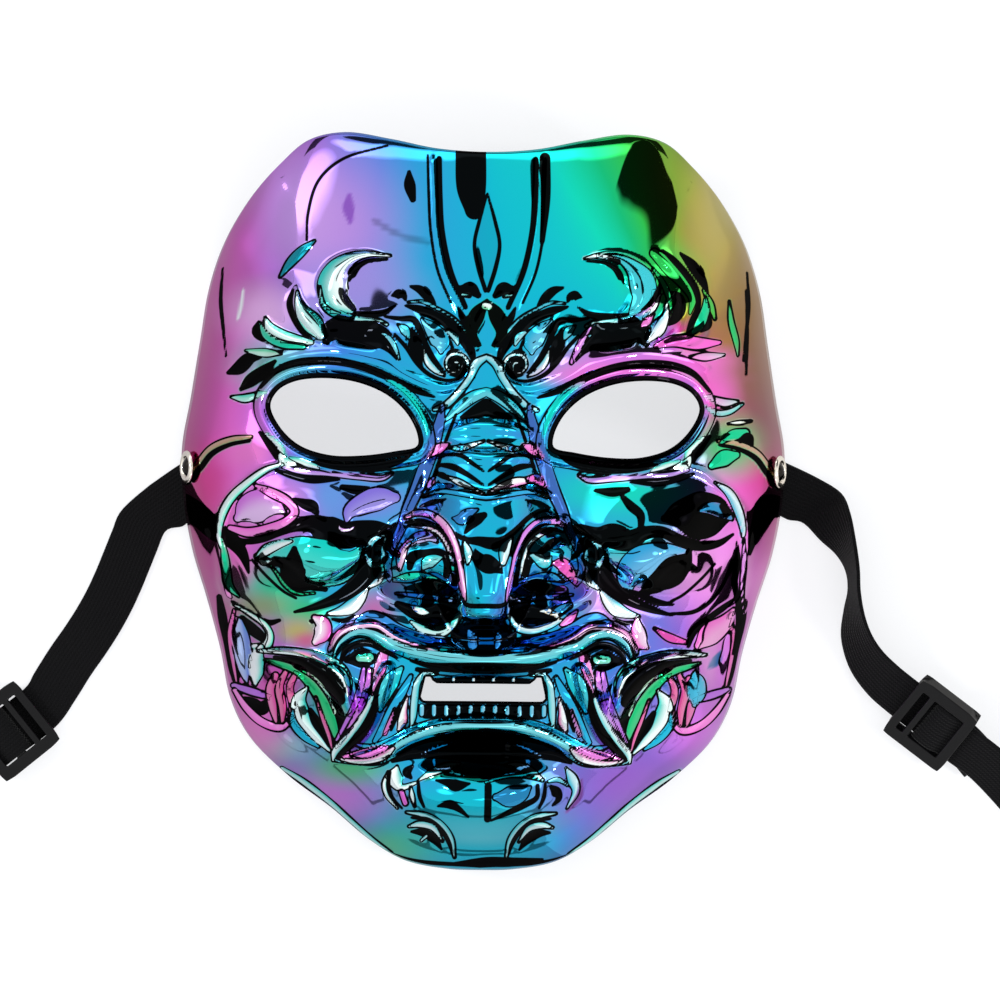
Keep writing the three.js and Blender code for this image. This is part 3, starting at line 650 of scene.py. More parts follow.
def zipped(a: Array, place_a: Array, b: Array, place_b: Array) -> Array:
    """Triangles between two closed loops with different numbers of points.

    Both loops are walked together in the order of their places: each step along one loop makes
    a triangle with the point that the walk has reached on the other.

    Args:
        a: point numbers of one loop.
        place_a: their places round it.
        b: point numbers of the other.
        place_b: their places round it.

    Returns:
        The triangles.
    """
    order_a, order_b = (np.argsort(place, kind="stable") for place in (place_a, place_b))
    a, place_a, b, place_b = a[order_a], place_a[order_a], b[order_b], place_b[order_b]
    reached_b = np.searchsorted(place_b, place_a, side="left") - 1
    reached_a = np.searchsorted(place_a, place_b, side="right") - 1
    return np.vstack([
        np.stack([np.roll(a, 1), a, b[reached_b]], 1),
        np.stack([b, np.roll(b, 1), a[reached_a]], 1),
    ])


@dataclass
class Skin:
    """A surface of front-view points and triangles from which holes are cut."""

    points: Array
    faces: Array

    # Shares of a cell within which points are looked at, moved onto the cut, or count as on it
    near_share, moved_share, snapped_share = 1.5, 0.32, 0.03
    # Step over which the distance's slope is read, and its least square
    slope_step, flattest = 0.02, 0.2

    def cut(self, contour: Contour, offset: float, cell: float) -> Array:
        """Cuts away what lies nearer to the hole than the offset.

        Points close to the cut are first moved onto it, and the triangles that still cross it
        are split where they cross.

        Args:
            contour: the hole's outline.
            offset: how far outside the outline the cut runs.
            cell: the grid's usual spacing.

        Returns:
            The numbers of the points along the cut, in order round the hole.
        """

        def level(p: Array) -> Array:
            """Distance from the cut, negative inside it."""
            return contour.distance(p[:, 0], p[:, 1]) - offset

        value = level(self.points)
        near = np.abs(value) < self.near_share * cell
        for _ in range(2):
            spot = self.points[near]
            here, step = level(spot), self.slope_step
            slope_x = (level(spot + (step, 0)) - level(spot - (step, 0))) / (2 * step)
            slope_y = (level(spot + (0, step)) - level(spot - (0, step))) / (2 * step)
            size = np.maximum(slope_x**2 + slope_y**2, self.flattest)
            moved = np.abs(here) < self.moved_share * cell
            shift = np.stack([here * slope_x / size, here * slope_y / size], 1)
            self.points[near] = np.where(moved[:, None], spot - shift, spot)
        value = level(self.points)
        value[np.abs(value) < self.snapped_share * cell] = 0
        sign = np.sign(value).astype(int)
        corners = sign[self.faces]
        below, above = (corners < 0).any(1), (corners > 0).any(1)
        kept = self.faces[~below & above]
        mixed = self.faces[below & above]
        kinds = sign[mixed]
        negatives, positives = (kinds < 0).sum(1), (kinds > 0).sum(1)
        lone = np.where(negatives == 2, 1, np.where(positives == 2, -1, 0))
        first = (kinds == lone[:, None]).argmax(1)
        turned = np.stack([mixed[np.arange(len(mixed)), (first + k) % 3] for k in range(3)], 1)
        kinds = sign[turned]
        pairs = np.vstack([turned[:, [0, 1]], turned[:, [1, 2]], turned[:, [2, 0]]])
        crossing = sign[pairs[:, 0]] * sign[pairs[:, 1]] < 0
        keys = np.sort(pairs, 1)
        unique, back = np.unique(keys[crossing], axis=0, return_inverse=True)
        share = value[unique[:, 0]] / (value[unique[:, 0]] - value[unique[:, 1]])
        made = self.points[unique[:, 0]] + share[:, None] * (
            self.points[unique[:, 1]] - self.points[unique[:, 0]]
        )
        number = np.full(len(pairs), -1)
        number[crossing] = back.ravel() + len(self.points)
        c01, c12, c20 = np.split(number, 3)
        v0, v1, v2 = turned.T
        alone = negatives == 2
        pair = positives == 2
        middle = ~alone & ~pair
        rising = middle & (kinds[:, 1] > 0)
        falling = middle & (kinds[:, 1] < 0)
        pieces = [
            np.stack([v0, c01, c20], 1)[alone],
            np.stack([c01, v1, v2], 1)[pair],
            np.stack([c01, v2, c20], 1)[pair],
            np.stack([v0, v1, c12], 1)[rising],
            np.stack([v0, c12, v2], 1)[falling],
        ]
        on_cut = np.concatenate([sign == 0, np.ones(len(made), bool)])
        self.points = np.vstack([self.points, made])
        self.faces = np.vstack([kept, *pieces])
        edges = np.vstack([self.faces[:, [0, 1]], self.faces[:, [1, 2]], self.faces[:, [2, 0]]])
        count = len(self.points)
        open_edge = ~np.isin(edges[:, 0] * count + edges[:, 1], edges[:, 1] * count + edges[:, 0])
        rim = edges[open_edge & on_cut[edges].all(1)]
        loop = np.unique(rim)
        place = contour.place(self.points[loop, 0], self.points[loop, 1])
        follow = np.empty(len(loop), int)
        follow[np.searchsorted(loop, rim[:, 0])] = np.searchsorted(loop, rim[:, 1])
        order = np.array([np.argmin(place)])
        while len(order) < len(loop):
            order = np.concatenate([order, follow[order]])
            follow = follow[follow]
        order = order[: len(loop)]
        if (np.diff(place[order]) < 0).sum() > len(order) / 2:
            order = np.roll(order[::-1], 1)
        return loop[order]


def swell(rise: float, *stops: Row) -> Stroke:
    """A broad swelling in the face's own finish."""
    return Stroke(Cut.MASS, rise, 0, None, stops)


def strand(rise: float, tone: float, hue: float, *stops: Row, side: Side = BOTH) -> Stroke:
    """A round strand with a painted dark outline, which stands for shade."""
    return Stroke(Cut.TUBE, rise, tone, hue, stops, side)


def lock(rise: float, tone: float, hue: float, *stops: Row, side: Side = BOTH) -> Stroke:
    """A keeled lock or facet with a painted dark outline, which stands for shade."""
    return Stroke(Cut.LEAF, rise, tone, hue, stops, side)


def recess(rise: float, *stops: Row, tone: float = PAINTED_SHADE_TONE, hue: float | None = None,
           side: Side = BOTH) -> Stroke:
    """A flat-bottomed recess, painted black as shade and dark reflection unless a tone is given."""
    return Stroke(Cut.HOLLOW, rise, tone, hue, stops, side)


def groove(rise: float, *stops: Row, tone: float = PAINTED_SHADE_TONE, hue: float | None = None,
           side: Side = BOTH) -> Stroke:
    """A round-bottomed groove, painted black as shade and dark reflection unless a tone is given."""
    return Stroke(Cut.LINE, rise, tone, hue, stops, side)


def mirrored(*stops: Row) -> list[Row]:
    """Adds the left half to stops given from their right end to the middle line."""
    return [(-x, y, half) for x, y, half in stops[:-1]] + list(stops[::-1])


def volute(
    x: float, y: float, outer: float, inner: float, turns: float, half: float,
    count: int = 15, start: float = -0.35, taper: float = 0.4,
) -> list[Row]:
    """Stops of a spiral that winds in towards its centre.

    Args:
        x: place across of the centre.
        y: place along of the centre.
        outer: radius where it starts.
        inner: radius where it ends.
        turns: how often it winds round.
        half: half width where it starts.
        count: number of stops.
        start: angle of the first stop, in radians from the side of the middle line.
        taper: share of the half width lost at the end.

    Returns:
        The stops.
    """
    t = np.linspace(0, 1, count)
    radius = outer + (inner - outer) * t
    angle = start + 2 * math.pi * turns * t
    across, along = x - radius * np.cos(angle), y + radius * np.sin(angle)
    return list(zip(across, along, half * (1 - taper * t)))


def teeth(
    top: float, low: float, count: int, span: float, half: float, tone: float,
) -> list[Stroke]:
    """A row of short upright strokes from one corner of the mouth to the other.

    Args:
        top: place along of their upper ends.
        low: place along of their lower ends.
        count: how many there are.
        span: how far from the middle the outer ones stand.
        half: their half width.
        tone: their painted highlight on the lit side.

    Returns:
        The strokes.
    """
    return [
        strand(TOOTH_RISE, tone, TOOTH_HUE, (x, top, half), (x, low, half), side=RIGHT)
        for x in np.linspace(-span, span, count)
    ]


# Tones are painted light and shade: black recesses and outlines stand for shade and dark reflections,
# darker tones for shade, and pale lit sides for highlights
STROKES = (
    # large forms: brow band, curl and locks, ridges, tusk, fang, lips, chin
    swell(1.8, (67, 40.5, 1.5), (61.5, 43, 3), (53, 44.3, 3), (45, 44.4, 3), (38, 43.4, 3), (31, 41, 3),
        (25, 37.6, 2.7), (18, 34.6, 2.4), (12, 33.6, 1.8), (6.8, 36, 1.5), (4.9, 39.5, 1.2)),
    swell(3.4, (41, 56, 2), (45, 58.8, 4.2), (46.6, 63, 4.9), (45.8, 67.6, 4.6), (42.4, 71.4, 3.2),
        (37, 73.4, 1.8), (29.5, 73.2, 0.4)),
    swell(2.6, (57.4, 63.5, 0.4), (57, 59.5, 1.8), (55.2, 55.5, 3.2), (52, 51.5, 3.6), (49.5, 48.8, 2)),
    swell(2.2, (67, 55, 0.4), (65.3, 51.3, 2), (60.5, 48.4, 2.6), (54, 47, 2)),
    swell(0.7, (16.6, 103, 0.9), (16, 91, 1), (15.7, 82, 1.1), (13.3, 69.2, 1.3), (9, 58.8, 1.5),
        (3.2, 47.2, 1.4)),
    swell(1.8, (61, 10.5, 0.8), (66, 8.8, 1.4), (72, 4.5, 1.6), (76.6, 0, 1.6), (79.4, -5.5, 1.6),
        (80.3, -12, 1.6), (79.7, -20, 1.5), (79, -27, 1.3), (77, -31, 0.6)),
    swell(7.5, (68, -46.5, 0.4), (62, -47, 1.9), (54.5, -48.8, 3.2), (48, -52.4, 4.4), (43.6, -57.6, 4.4),
        (41.2, -63, 3)),
    swell(4.6, (29, -51, 2.4), (32, -58.9, 3.4), (36, -68.1, 3.4), (41, -74.8, 2.2), (45.2, -79.4, 0.4)),
    swell(3.2, *mirrored((45.6, -47.5, 1), (43.8, -42.5, 2.4), (38.5, -39.2, 3), (32.6, -39.5, 3.4),
        (25, -43.4, 4), (12.4, -46.4, 4.2), (0, -47, 4.4))),
    swell(3.2, *mirrored((43, -79, 0.6), (36, -78, 1.8), (28, -75.2, 2.6), (20, -71, 2.8),
        (10, -68.4, 2.8), (0, -67.8, 2.8))),
    swell(2.4, (56, -54.5, 2), (60.5, -58, 3.6), (60, -65, 3.4), (61, -69.5, 1.4)),
    swell(1.8, *mirrored((13, 20, 1), (7, 21.6, 2.2), (0, 22, 2.6))),
    swell(1.8, *mirrored((16, 11.5, 1), (8, 13.6, 2.2), (0, 13, 2.4))),
    swell(1.6, *mirrored((19.5, 1.6, 1), (10, 3, 2), (0, 0.8, 2.2))),
    swell(1.6, (23.8, -5.6, 1.2), (18.5, -5.2, 2.2), (13, -8.6, 2.4), (9.4, -15.4, 2.3), (7.8, -23, 2),
        (6.4, -31, 1)),
    # brow: recesses, then what stands out of them
    recess(1.4, (48.4, 47.6, 1), (46, 50.6, 3.4), (40, 50.2, 4.1), (35, 49.4, 4), (31, 48, 3),
        (28.6, 45.2, 1.4), (26.8, 42, 0.3)),
    recess(1, (28.6, 61.4, 0.3), (26.6, 61.8, 1.4), (25, 61.4, 1), (24.4, 60, 0.4)),
    recess(1, (23, 64.2, 0.4), (20, 63.2, 1.2), (17.6, 61, 1.3), (15, 58, 0.3)),
    recess(1, (24.4, 58.4, 0.4), (20, 57.2, 1.2), (15, 55, 1.4), (10.5, 52, 1.4), (7, 48.2, 1.4),
        (4.6, 44.6, 1.2), (3.8, 41.6, 0.6)),
    recess(0.8, (30.4, 55, 0.4), (26, 54.4, 0.7), (22, 54.2, 0.9), (20, 51, 0.9), (18.4, 47, 0.8),
        (15.8, 42.4, 0.7), (12.6, 38.4, 0.4)),
    recess(1, (22.6, 51.6, 0.3), (21.8, 48, 1.8), (20.6, 44.4, 1.4), (19.4, 40.4, 0.3)),
    recess(0.6, (13.8, 51.2, 0.3), (12, 49, 0.8), (10.2, 46, 0.4)),
    recess(0.8, (8.6, 58, 0.3), (7.2, 54.8, 1), (4.6, 51, 0.8), (1.8, 46.6, 0.4)),
    recess(0.8, (9.6, 43, 2.4), (9.2, 40, 2.8)),
    recess(0.8, (58.3, 63.2, 0.4), (59.3, 59, 0.9), (58, 54.6, 0.9), (55.2, 50.4, 0.9), (52.4, 47.6, 0.6),
        side=LEFT),
    recess(0.8, (50.2, 65.4, 0.4), (49.8, 61, 1), (47.4, 57.8, 1), (43, 56, 0.9), (37, 55.7, 0.9),
        (31, 56.2, 0.9), (27.4, 58.4, 0.3)),
    recess(0.8, (68.5, 53.3, 0.6), (69, 50.5, 1.6), (66, 47.9, 1), (63, 46.5, 0.5), side=LEFT),
    recess(0.8, (77.8, 38, 0.6), (74.5, 39.5, 1.9), (71, 42.5, 1.7), (68, 42.6, 0.5), side=LEFT),
    recess(0.8, (73.8, 33, 0.6), (71, 35.5, 1.8), (67, 38.5, 1.6), (63.5, 41.5, 0.5), hue=150, side=LEFT),
    recess(0.8, (68, 33.5, 0.5), (63, 38.7, 0.9), (57, 41, 1.1), (48, 41.6, 1.1), (40, 40.6, 1.1),
        (32, 38, 1.1), (25, 34.6, 1), (20, 32.4, 0.8), (15.5, 31, 0.4)),
    recess(0.7, (41.4, 65.8, 0.4), (39.8, 69, 0.8), (36.5, 71.6, 0.6), (30, 72.4, 0.4)),
    lock(1.2, 0.8, 176, (41, 57.4, 1.4), (45, 59.8, 3.8), (46.4, 64.5, 4.2), (44.6, 69, 3.4),
        (41, 72.4, 1.8), (36, 73.8, 0.9), (29, 73.4, 0.4), side=LEFT),
    groove(0.5, (35, 72, 0.4), (38.4, 70.2, 0.7), (40, 67.2, 0.5)),
    strand(1.2, 0.35, 178, (50.2, 64, 0.3), (49.2, 58.6, 0.7), (46.4, 56, 0.9), (42, 54.8, 0.8),
        (36, 54.2, 0.6), (32.6, 54, 0.5), (30, 52.6, 0.5)),
    lock(1, 0.1, 188, (26.6, 52.6, 0.3), (24.6, 51, 1.3), (23.2, 48.4, 0.4)),
    lock(1, 0.1, 196, (19.6, 54.4, 0.4), (16.6, 51.4, 2), (13.8, 47.4, 2.6), (13.6, 44.4, 0.6)),
    lock(0.9, 0.3, 186, (12.2, 51, 0.3), (9.6, 49.2, 1), (8.6, 46.8, 0.4)),
    lock(0.9, 0.6, 186, (18.8, 45.4, 0.3), (17.6, 41.6, 1), (15, 38.8, 0.8), (12.6, 37.4, 0.3)),
    strand(0.9, 0.2, 188, (31.6, 50.2, 0.4), (29, 48.2, 0.7), (27.2, 45, 0.6), (26.2, 42.2, 0.3)),
    groove(0.6, (27.6, 49.6, 0.5), (24, 45.6, 0.6), (21, 41.2, 0.6), (17, 37.6, 0.6), (12, 35.9, 0.5),
        (8, 36.6, 0.4)),
    strand(0.9, 0.1, 190, (23.6, 59.4, 0.3), (19.4, 59.6, 0.5), (15, 57.6, 0.5), (10, 54.6, 0.5),
        (6, 50.4, 0.5), (3.4, 46.6, 0.4)),
    strand(1, 0.7, 185, *volute(9.4, 40.6, 4.2, 0.8, 1.3, 0.55)),
    lock(1.2, 0.6, 178, (57, 62.5, 0.4), (56.6, 59, 1.1), (54.8, 55.6, 2.3), (52, 52.4, 2.8),
        (50, 49.6, 1.6), side=LEFT),
    lock(1.2, 0.7, 170, (66.6, 54.6, 0.4), (65.2, 51.6, 1.4), (61.6, 49.2, 1.7), (57, 47.8, 1.5),
        (52.5, 47.2, 0.7), side=LEFT),
    strand(1, 0, 160, (68.3, 53, 0.4), (66.4, 49.3, 1), (61.5, 46.6, 1.1), (55, 45.9, 0.8), side=LEFT),
    lock(1, 0.5, 150, (72.5, 44.7, 0.4), (66.5, 44, 1.2), (61.8, 43.8, 0.4)),
    lock(0.9, 0.4, 165, (76.8, 30.7, 0.4), (72.5, 30.2, 1.2), (68.5, 31.4, 0.8), (66.3, 32.2, 0.4)),
    lock(1.1, -0.5, 190, (62.3, 67, 0.4), (59, 71.5, 1.3), (55.5, 75, 1.3), (52, 77.8, 0.4), side=LEFT),
    strand(1, 0, 175, (29.5, 36, 0.4), (24.6, 32.8, 0.9), (20.6, 28.2, 1), (18.4, 23.5, 0.7),
        (17.6, 20, 0.4)),
    # forehead
    groove(0.3, (30, 107, 0.3), (44, 102.5, 0.42), (51, 96, 0.42), (54, 86, 0.4), (54.3, 78, 0.3),
        side=LEFT),
    groove(0.3, (34, 84, 0.8), (27, 80, 0.8), (18, 77.4, 0.8), tone=-0.35, side=LEFT),
    recess(0.3, (41.6, 91.5, 0.6), (41.8, 88, 1.6), (41.2, 84, 0.8), tone=-0.2, hue=266, side=LEFT),
    groove(0.5, (79.8, 70, 0.3), (80.3, 60, 0.55), (79.5, 52, 0.5), (78.5, 43, 0.3)),
    groove(0.4, (75, 54.5, 0.4), (74.3, 58, 0.6), (73.6, 63, 0.4), tone=0.9, side=LEFT),
    groove(0.5, (18, 104, 0.35), (17.6, 91, 0.4), (17, 81, 0.4), (14.8, 69, 0.4), (10.8, 59.4, 0.4)),
    groove(0.6, (14.6, 103, 0.8), (14.4, 91, 0.9), (13.6, 81, 0.8), (11, 69, 0.8), (6.4, 58, 0.7)),
    recess(0.9, (0, 92, 0.5), (0, 84, 2.2), (0, 77, 3.6), (0, 70, 2.4), (0, 63.5, 0.5), tone=-0.15),
    groove(0.7, (0, 92.5, 0.3), (2.4, 84, 0.5), (3.8, 77, 0.5), (2.6, 70, 0.6), (0.4, 63, 0.6)),
    recess(0.8, (7.6, 63.6, 1), (5, 63.6, 1.9), (2.6, 61.6, 0.9)),
    strand(0.8, 0.3, 178, (7.4, 61.8, 0.5), (5.2, 61.4, 0.5)),
    recess(0.9, (0, 60, 0.6), (3, 55.5, 2.2), (4.5, 50.5, 1.6), (2.5, 46.5, 0.6), hue=160),
    strand(1, 0.9, 140, (-0.6, 58.4, 1), (0.6, 58.2, 1), side=RIGHT),
    # Painted dark reflections on the forehead, over a slight recess
    recess(0.2, (-5, 104.5, 4.2), (-4.8, 94, 4), (-3.9, 87.4, 2.6), side=RIGHT),
    recess(0.2, (-23.6, 99, 0.5), (-23.4, 95, 1.6), (-22.4, 90.5, 0.9), side=RIGHT),
    recess(0.2, (17.4, 103.5, 1.5), (17.6, 91, 1.3), (16.6, 78, 0.7), side=RIGHT),
    swell(4, (38, -16, 4), (45, -17.5, 7.5), (54, -18.5, 9), (63, -20.5, 6)),
    # Painted dark reflection on the cheekbones, over a slight recess
    recess(0.3, (64, -20, 0.6), (60.6, -18.8, 1.6), (57.4, -17.4, 2.6), (55, -21.4, 3.3),
        (51.4, -24.8, 2.8), (47.8, -27.2, 0.8)),
    # nose root and bridge
    recess(0.9, (0, 28, 2.4), (3.4, 26.4, 1.8), (7.5, 24.8, 0.5)),
    strand(1.3, 0.35, 188, (0, 43, 0.8), (3, 41, 1.3), (4.8, 37, 1), (8, 32.5, 1), (12, 28.6, 1),
        (15.5, 27.2, 0.6)),
    lock(1.2, 0.1, 188, (12, 24, 0.4), (8.5, 27.6, 1.4), (4, 31, 1.6), (0, 32.6, 1.2)),
    strand(1.5, -0.35, 222, (13, 28.5, 0.6), (14, 23, 1.4), (15.6, 17, 1.8), (18, 10, 1.9),
        (20.6, 3, 1.8), (23.2, -3, 1.6), (25.4, -9, 1.3), (28, -14, 1.3), (29.2, -19, 1.1),
        (28.4, -24, 0.8)),
    groove(0.6, (9, 25.8, 0.4), (11.2, 20, 0.5), (12.6, 16, 0.5), (15, 8.5, 0.5), (17.8, 1.6, 0.4)),
    lock(0.7, 1, 190, (10.8, 15.8, 0.4), (7.6, 15.6, 0.9), (3.6, 16.8, 0.6), (0.6, 17.8, 0.3)),
    lock(0.6, 0.1, 318, (11.2, 16.8, 0.4), (14, 15.4, 1.4), (17, 13, 0.4)),
    lock(0.7, 1, 190, (11.6, 7, 0.3), (8, 5.4, 0.9), (4, 3.6, 0.5), (0.8, 2, 0.3), side=LEFT),
    lock(0.7, 1, 320, (0.8, 2.4, 0.3), (5, 4.4, 0.9), (9, 5.5, 1.3), (12.4, 6, 0.9), side=RIGHT),
    lock(0.6, 0.1, 318, (17.4, 3.4, 0.3), (16.2, 5.4, 1), (15.4, 6.8, 0.3), side=LEFT),
    lock(0.6, -0.1, 314, (12.6, 6.6, 0.6), (15.4, 6.4, 1.5), (18, 4.2, 0.4), side=RIGHT),
    recess(0.5, (15.4, 8, 0.3), (13, 7.4, 0.9), (10.8, 6, 0.4), side=LEFT),
    groove(0.6, (15, 13.4, 0.3), (7.6, 13.4, 0.6), (4, 11, 0.6), (0.8, 8.8, 0.4)),
    groove(0.6, (14.6, 10.6, 0.4), (10, 10, 0.9), (5.4, 7.6, 0.7), (0.8, 4.6, 0.4)),
    strand(0.8, 0, 202, (18.4, 1, 0.3), (14, 2.6, 0.6), (8, 2, 0.7), (2, 1, 0.7), (0, 0.8, 0.7)),
    recess(0.7, (19.4, -2, 0.4), (16, -0.8, 0.8), (12, 0.2, 0.3)),
    # nose tip and wings
    recess(0.9, (-22.6, -20.4, 0.8), (-21.8, -17.2, 1.5), (-18, -15.9, 1), (-13.4, -15.7, 1),
        (-11.2, -18.4, 1.3), (-11.6, -22.6, 0.9), side=RIGHT),
    recess(0.9, (12, -21.6, 1.2), (13, -18.4, 1.1), (16.4, -15.6, 0.9), (20, -12.6, 1.2),
        (22.6, -11.4, 0.6), side=RIGHT),
    recess(0.9, (24, -26.6, 0.4), (18, -26.2, 1.6), (12, -26.9, 1.7), (8.8, -28.4, 0.9)),
    recess(1.4, (26, -31.5, 1), (20, -34, 2.2), (14, -34.2, 2.8), (8.6, -34.6, 1.6)),
    recess(1.2, (-8.4, -40.6, 1.6), (-4, -38.6, 2.4), (0, -38.4, 2.6), (4, -38.6, 2.4), (8.2, -40.4, 1.6),
        side=RIGHT),
    groove(0.5, (7.4, -28.4, 0.3), (5.6, -31.2, 0.6), (0, -31.6, 0.7)),
    groove(0.5, (8, -34.4, 0.3), (4.4, -36.2, 0.5), (0, -36.8, 0.5)),
    recess(0.4, (-13, -6.2, 0.3), (-9.4, -9.8, 0.6), (-6, -11.8, 0.8), (-2, -12.2, 1.3), (2, -12.8, 1.7),
        (5, -12, 1.2), (9, -8.8, 0.8), (13, -5, 0.7), (17, -2.8, 0.6), (20, -3.4, 0.3), side=RIGHT),
    lock(0.6, -0.25, 212, (-9.8, -5.4, 0.3), (-7.4, -5.6, 1.7), (-5.4, -4, 1.4), (-2.6, -2.8, 0.4),
        side=RIGHT),
    recess(0.4, (-6.2, -9.8, 0.4), (-4.4, -7.4, 1.2), (-2.2, -5.4, 1.5), (-0.5, -4.4, 0.9), side=RIGHT),
    lock(0.6, 0.4, 185, (-6.4, -12.4, 0.5), (-5.2, -16, 1.2), (-5.4, -19, 0.4), side=RIGHT),
    lock(0.7, 0.6, 188, (7.8, -11, 0.4), (5.8, -14.6, 1.6), (5.2, -18.6, 0.9), side=RIGHT),
    recess(0.3, (-3.2, -15, 0.5), (-1.8, -17.6, 2), (0.6, -19, 2.6), (3.4, -20.2, 1.7), (5, -21.6, 0.4),
        side=RIGHT),
    strand(1.2, 0.3, 316, (-24, -5.4, 0.5), (-20, -3.9, 0.9), (-15.6, -4.8, 1), (-11.8, -8.4, 1.2),
        (-9.2, -13.6, 1.2), (-7.8, -20, 1.1), (-6.8, -26, 0.9), (-6, -30, 0.4), side=RIGHT),
    strand(1.2, 0.1, 288, (24, -7.6, 0.5), (20.4, -6, 1), (16, -6.6, 1.1), (12.2, -9.8, 1.1),
        (9.6, -14.4, 0.9), (8.4, -20, 0.8), (7.2, -26, 0.8), (6.4, -30.4, 0.4), side=RIGHT),
    recess(0.6, (24, -6.9, 0.4), (19.5, -6.5, 0.9), (14.6, -8.4, 0.9), (11.4, -12.4, 0.8),
        (9.4, -18, 0.7), (8.2, -24, 0.6), side=LEFT),
    recess(0.6, (24, -9.4, 0.4), (20, -8.4, 0.6), (15.6, -9.4, 0.7), (12, -13, 0.7), (10.4, -18, 0.6),
        (9.4, -24, 0.5), side=RIGHT),
    strand(0.8, 0.85, 320, (22.6, -7.8, 0.3), (18.4, -8.2, 0.5), (14.4, -9.6, 0.6), (11.6, -13.4, 0.6),
        (10, -18.6, 0.6), (9.2, -24, 0.4), side=LEFT),
    strand(0.8, 0.85, 190, (20, -9, 0.3), (16.4, -10.2, 0.6), (13, -13.4, 0.6), (11.4, -17.6, 0.6),
        (10.4, -23, 0.4), side=RIGHT),
    lock(1, 0.3, 262, (23.6, -14, 0.5), (21, -11.8, 1.5), (17, -11, 1.3), (14.4, -12.6, 0.4), side=LEFT),
    lock(1, 0.45, 316, (25.6, -21, 0.5), (25.2, -17.2, 1.3), (23.8, -13.8, 0.9), (21.6, -11.4, 0.3),
        side=LEFT),
    lock(1, 0, 325, (20.4, -18.6, 0.5), (23, -19, 1.9), (25.6, -21.8, 1.5), (27.8, -25.4, 0.4),
        side=RIGHT),
    lock(1, 0.2, 182, (18.6, -20.6, 0.5), (17.2, -18.8, 1.8), (14.8, -17.6, 1.3), (12.8, -17.2, 0.3),
        side=LEFT),
    lock(1, 0.3, 186, (13, -16, 0.3), (15.8, -17.2, 1.5), (18, -18.4, 1.8), (19.6, -16.8, 0.4),
        side=RIGHT),
    lock(1, 0, 164, (27.6, -24.2, 0.5), (23, -23.4, 1.4), (18, -22.8, 0.9), (12, -24.8, 0.3), side=LEFT),
    lock(1, 0, 205, (10, -24.4, 0.3), (15, -23, 0.9), (20, -22.8, 1.2), (23.6, -24.2, 0.3), side=RIGHT),
    strand(0.8, 0, 222, (26.6, -28.2, 0.4), (18, -29, 0.8), (9, -30.4, 0.5)),
    lock(0.9, 1, 175, (22, -32.2, 0.4), (19, -33.4, 1.1), (16.4, -34.2, 0.3), side=LEFT),
    lock(0.9, 0.55, 178, (22, -36.6, 0.4), (18, -39, 1.2), (13, -39.4, 1.7), (9.4, -37.2, 1.2),
        (7.6, -35.2, 0.3), side=LEFT),
    lock(0.9, 0.7, 190, (8, -34, 0.3), (9.4, -37.4, 1.3), (14, -39, 1.2), (20, -37.4, 0.9),
        (23.6, -35.8, 0.3), side=RIGHT),
    lock(0.9, 0.95, 40, (16.8, -33.2, 0.3), (20, -33.4, 1), (22.6, -35.2, 0.4), side=RIGHT),
    lock(0.9, -0.3, 205, (20.6, -33.4, 0.4), (23.4, -32.4, 1.1), (26.2, -30.8, 0.4), side=RIGHT),
    lock(0.9, 0.1, 318, (23.4, -37.2, 0.6), (26, -35.4, 1.2), (28, -33, 0.4), side=RIGHT),
    lock(0.6, 0.95, 190, (-4.8, -39, 0.5), (-3.6, -41, 1.4), (-2.2, -42.4, 0.8), side=RIGHT),
    lock(0.6, 0.7, 190, (4.4, -39.4, 0.5), (4.4, -41.8, 1.2), side=RIGHT),
    # eye corners and cheek
    recess(0.9, (52, 11, 0.6), (45, 10.2, 1.3), (37, 10, 1.6), (29, 11, 1.5), (23.5, 13.4, 1),
        (20.8, 16.4, 0.4)),
    recess(0.8, (68, 20, 0.5), (64.8, 16.5, 1.3), (62.5, 12.5, 1)),
    lock(1, 0.75, 170, (66, 19.6, 0.4), (61.6, 15.4, 0.9), (60.6, 11.4, 1.3), (56, 11.2, 1.2),
        (50.5, 9.6, 0.5)),
    recess(0.7, (63, 8.5, 0.5), (58, 7, 1), (52, 5.9, 1.2), (44, 6, 0.5), tone=-0.85, hue=230),
    strand(0.9, 0.2, 270, (61.5, 9.6, 0.4), (55, 8.1, 0.8), (47, 7.6, 0.8), (38, 6.8, 0.9),
        (31, 6.4, 0.8), (28, 7.8, 0.4)),
    recess(1.2, (91, -2.5, 3.4), (86, -5.5, 3.2), (81, -10, 2.8), (76, -13, 2.2), (72.8, -17, 1.5),
        (71, -22.5, 0.4), side=LEFT),
    recess(0.8, (78, -10.8, 0.5), (72.6, -13, 0.8), (67, -12.4, 0.9), (61.6, -10.2, 1), (56.6, -8, 1.8),
        (51.6, -7.6, 2.6), (47.4, -9.6, 4.2), (42, -10.8, 3.8), (37, -10, 3.4), (32, -9.2, 2.6),
        (28.6, -8.6, 1), side=LEFT),
    recess(0.8, (57.6, 0, 0.4), (54.6, -1.4, 1.4), (51.8, -2.4, 1.7), (50.6, -4, 0.8), side=LEFT),
    lock(1, 0.05, 176, (68.8, -17.4, 0.6), (63, -15.8, 2.4), (56, -16.6, 5), (50, -19, 6.6),
        (44, -20, 5.2), (39.4, -18, 3), (37.4, -15, 0.8), side=LEFT),
    lock(0.8, 1, 176, (68.4, -18, 0.8), (65.8, -15.6, 1.5), (62, -13.8, 1.2), (58, -12.8, 0.4),
        side=LEFT),
    lock(0.8, 0.8, 176, (68.2, -18, 0.4), (66.4, -19.4, 0.8), (64, -18.6, 0.3), side=LEFT),
    # Painted dark reflection on the left cheekbone, over a shallow recess
    recess(0.6, (57.2, -15, 0.8), (57.4, -18.6, 2.4), (57.6, -22, 3.6), (55.8, -25, 3), (52.2, -26, 1.4),
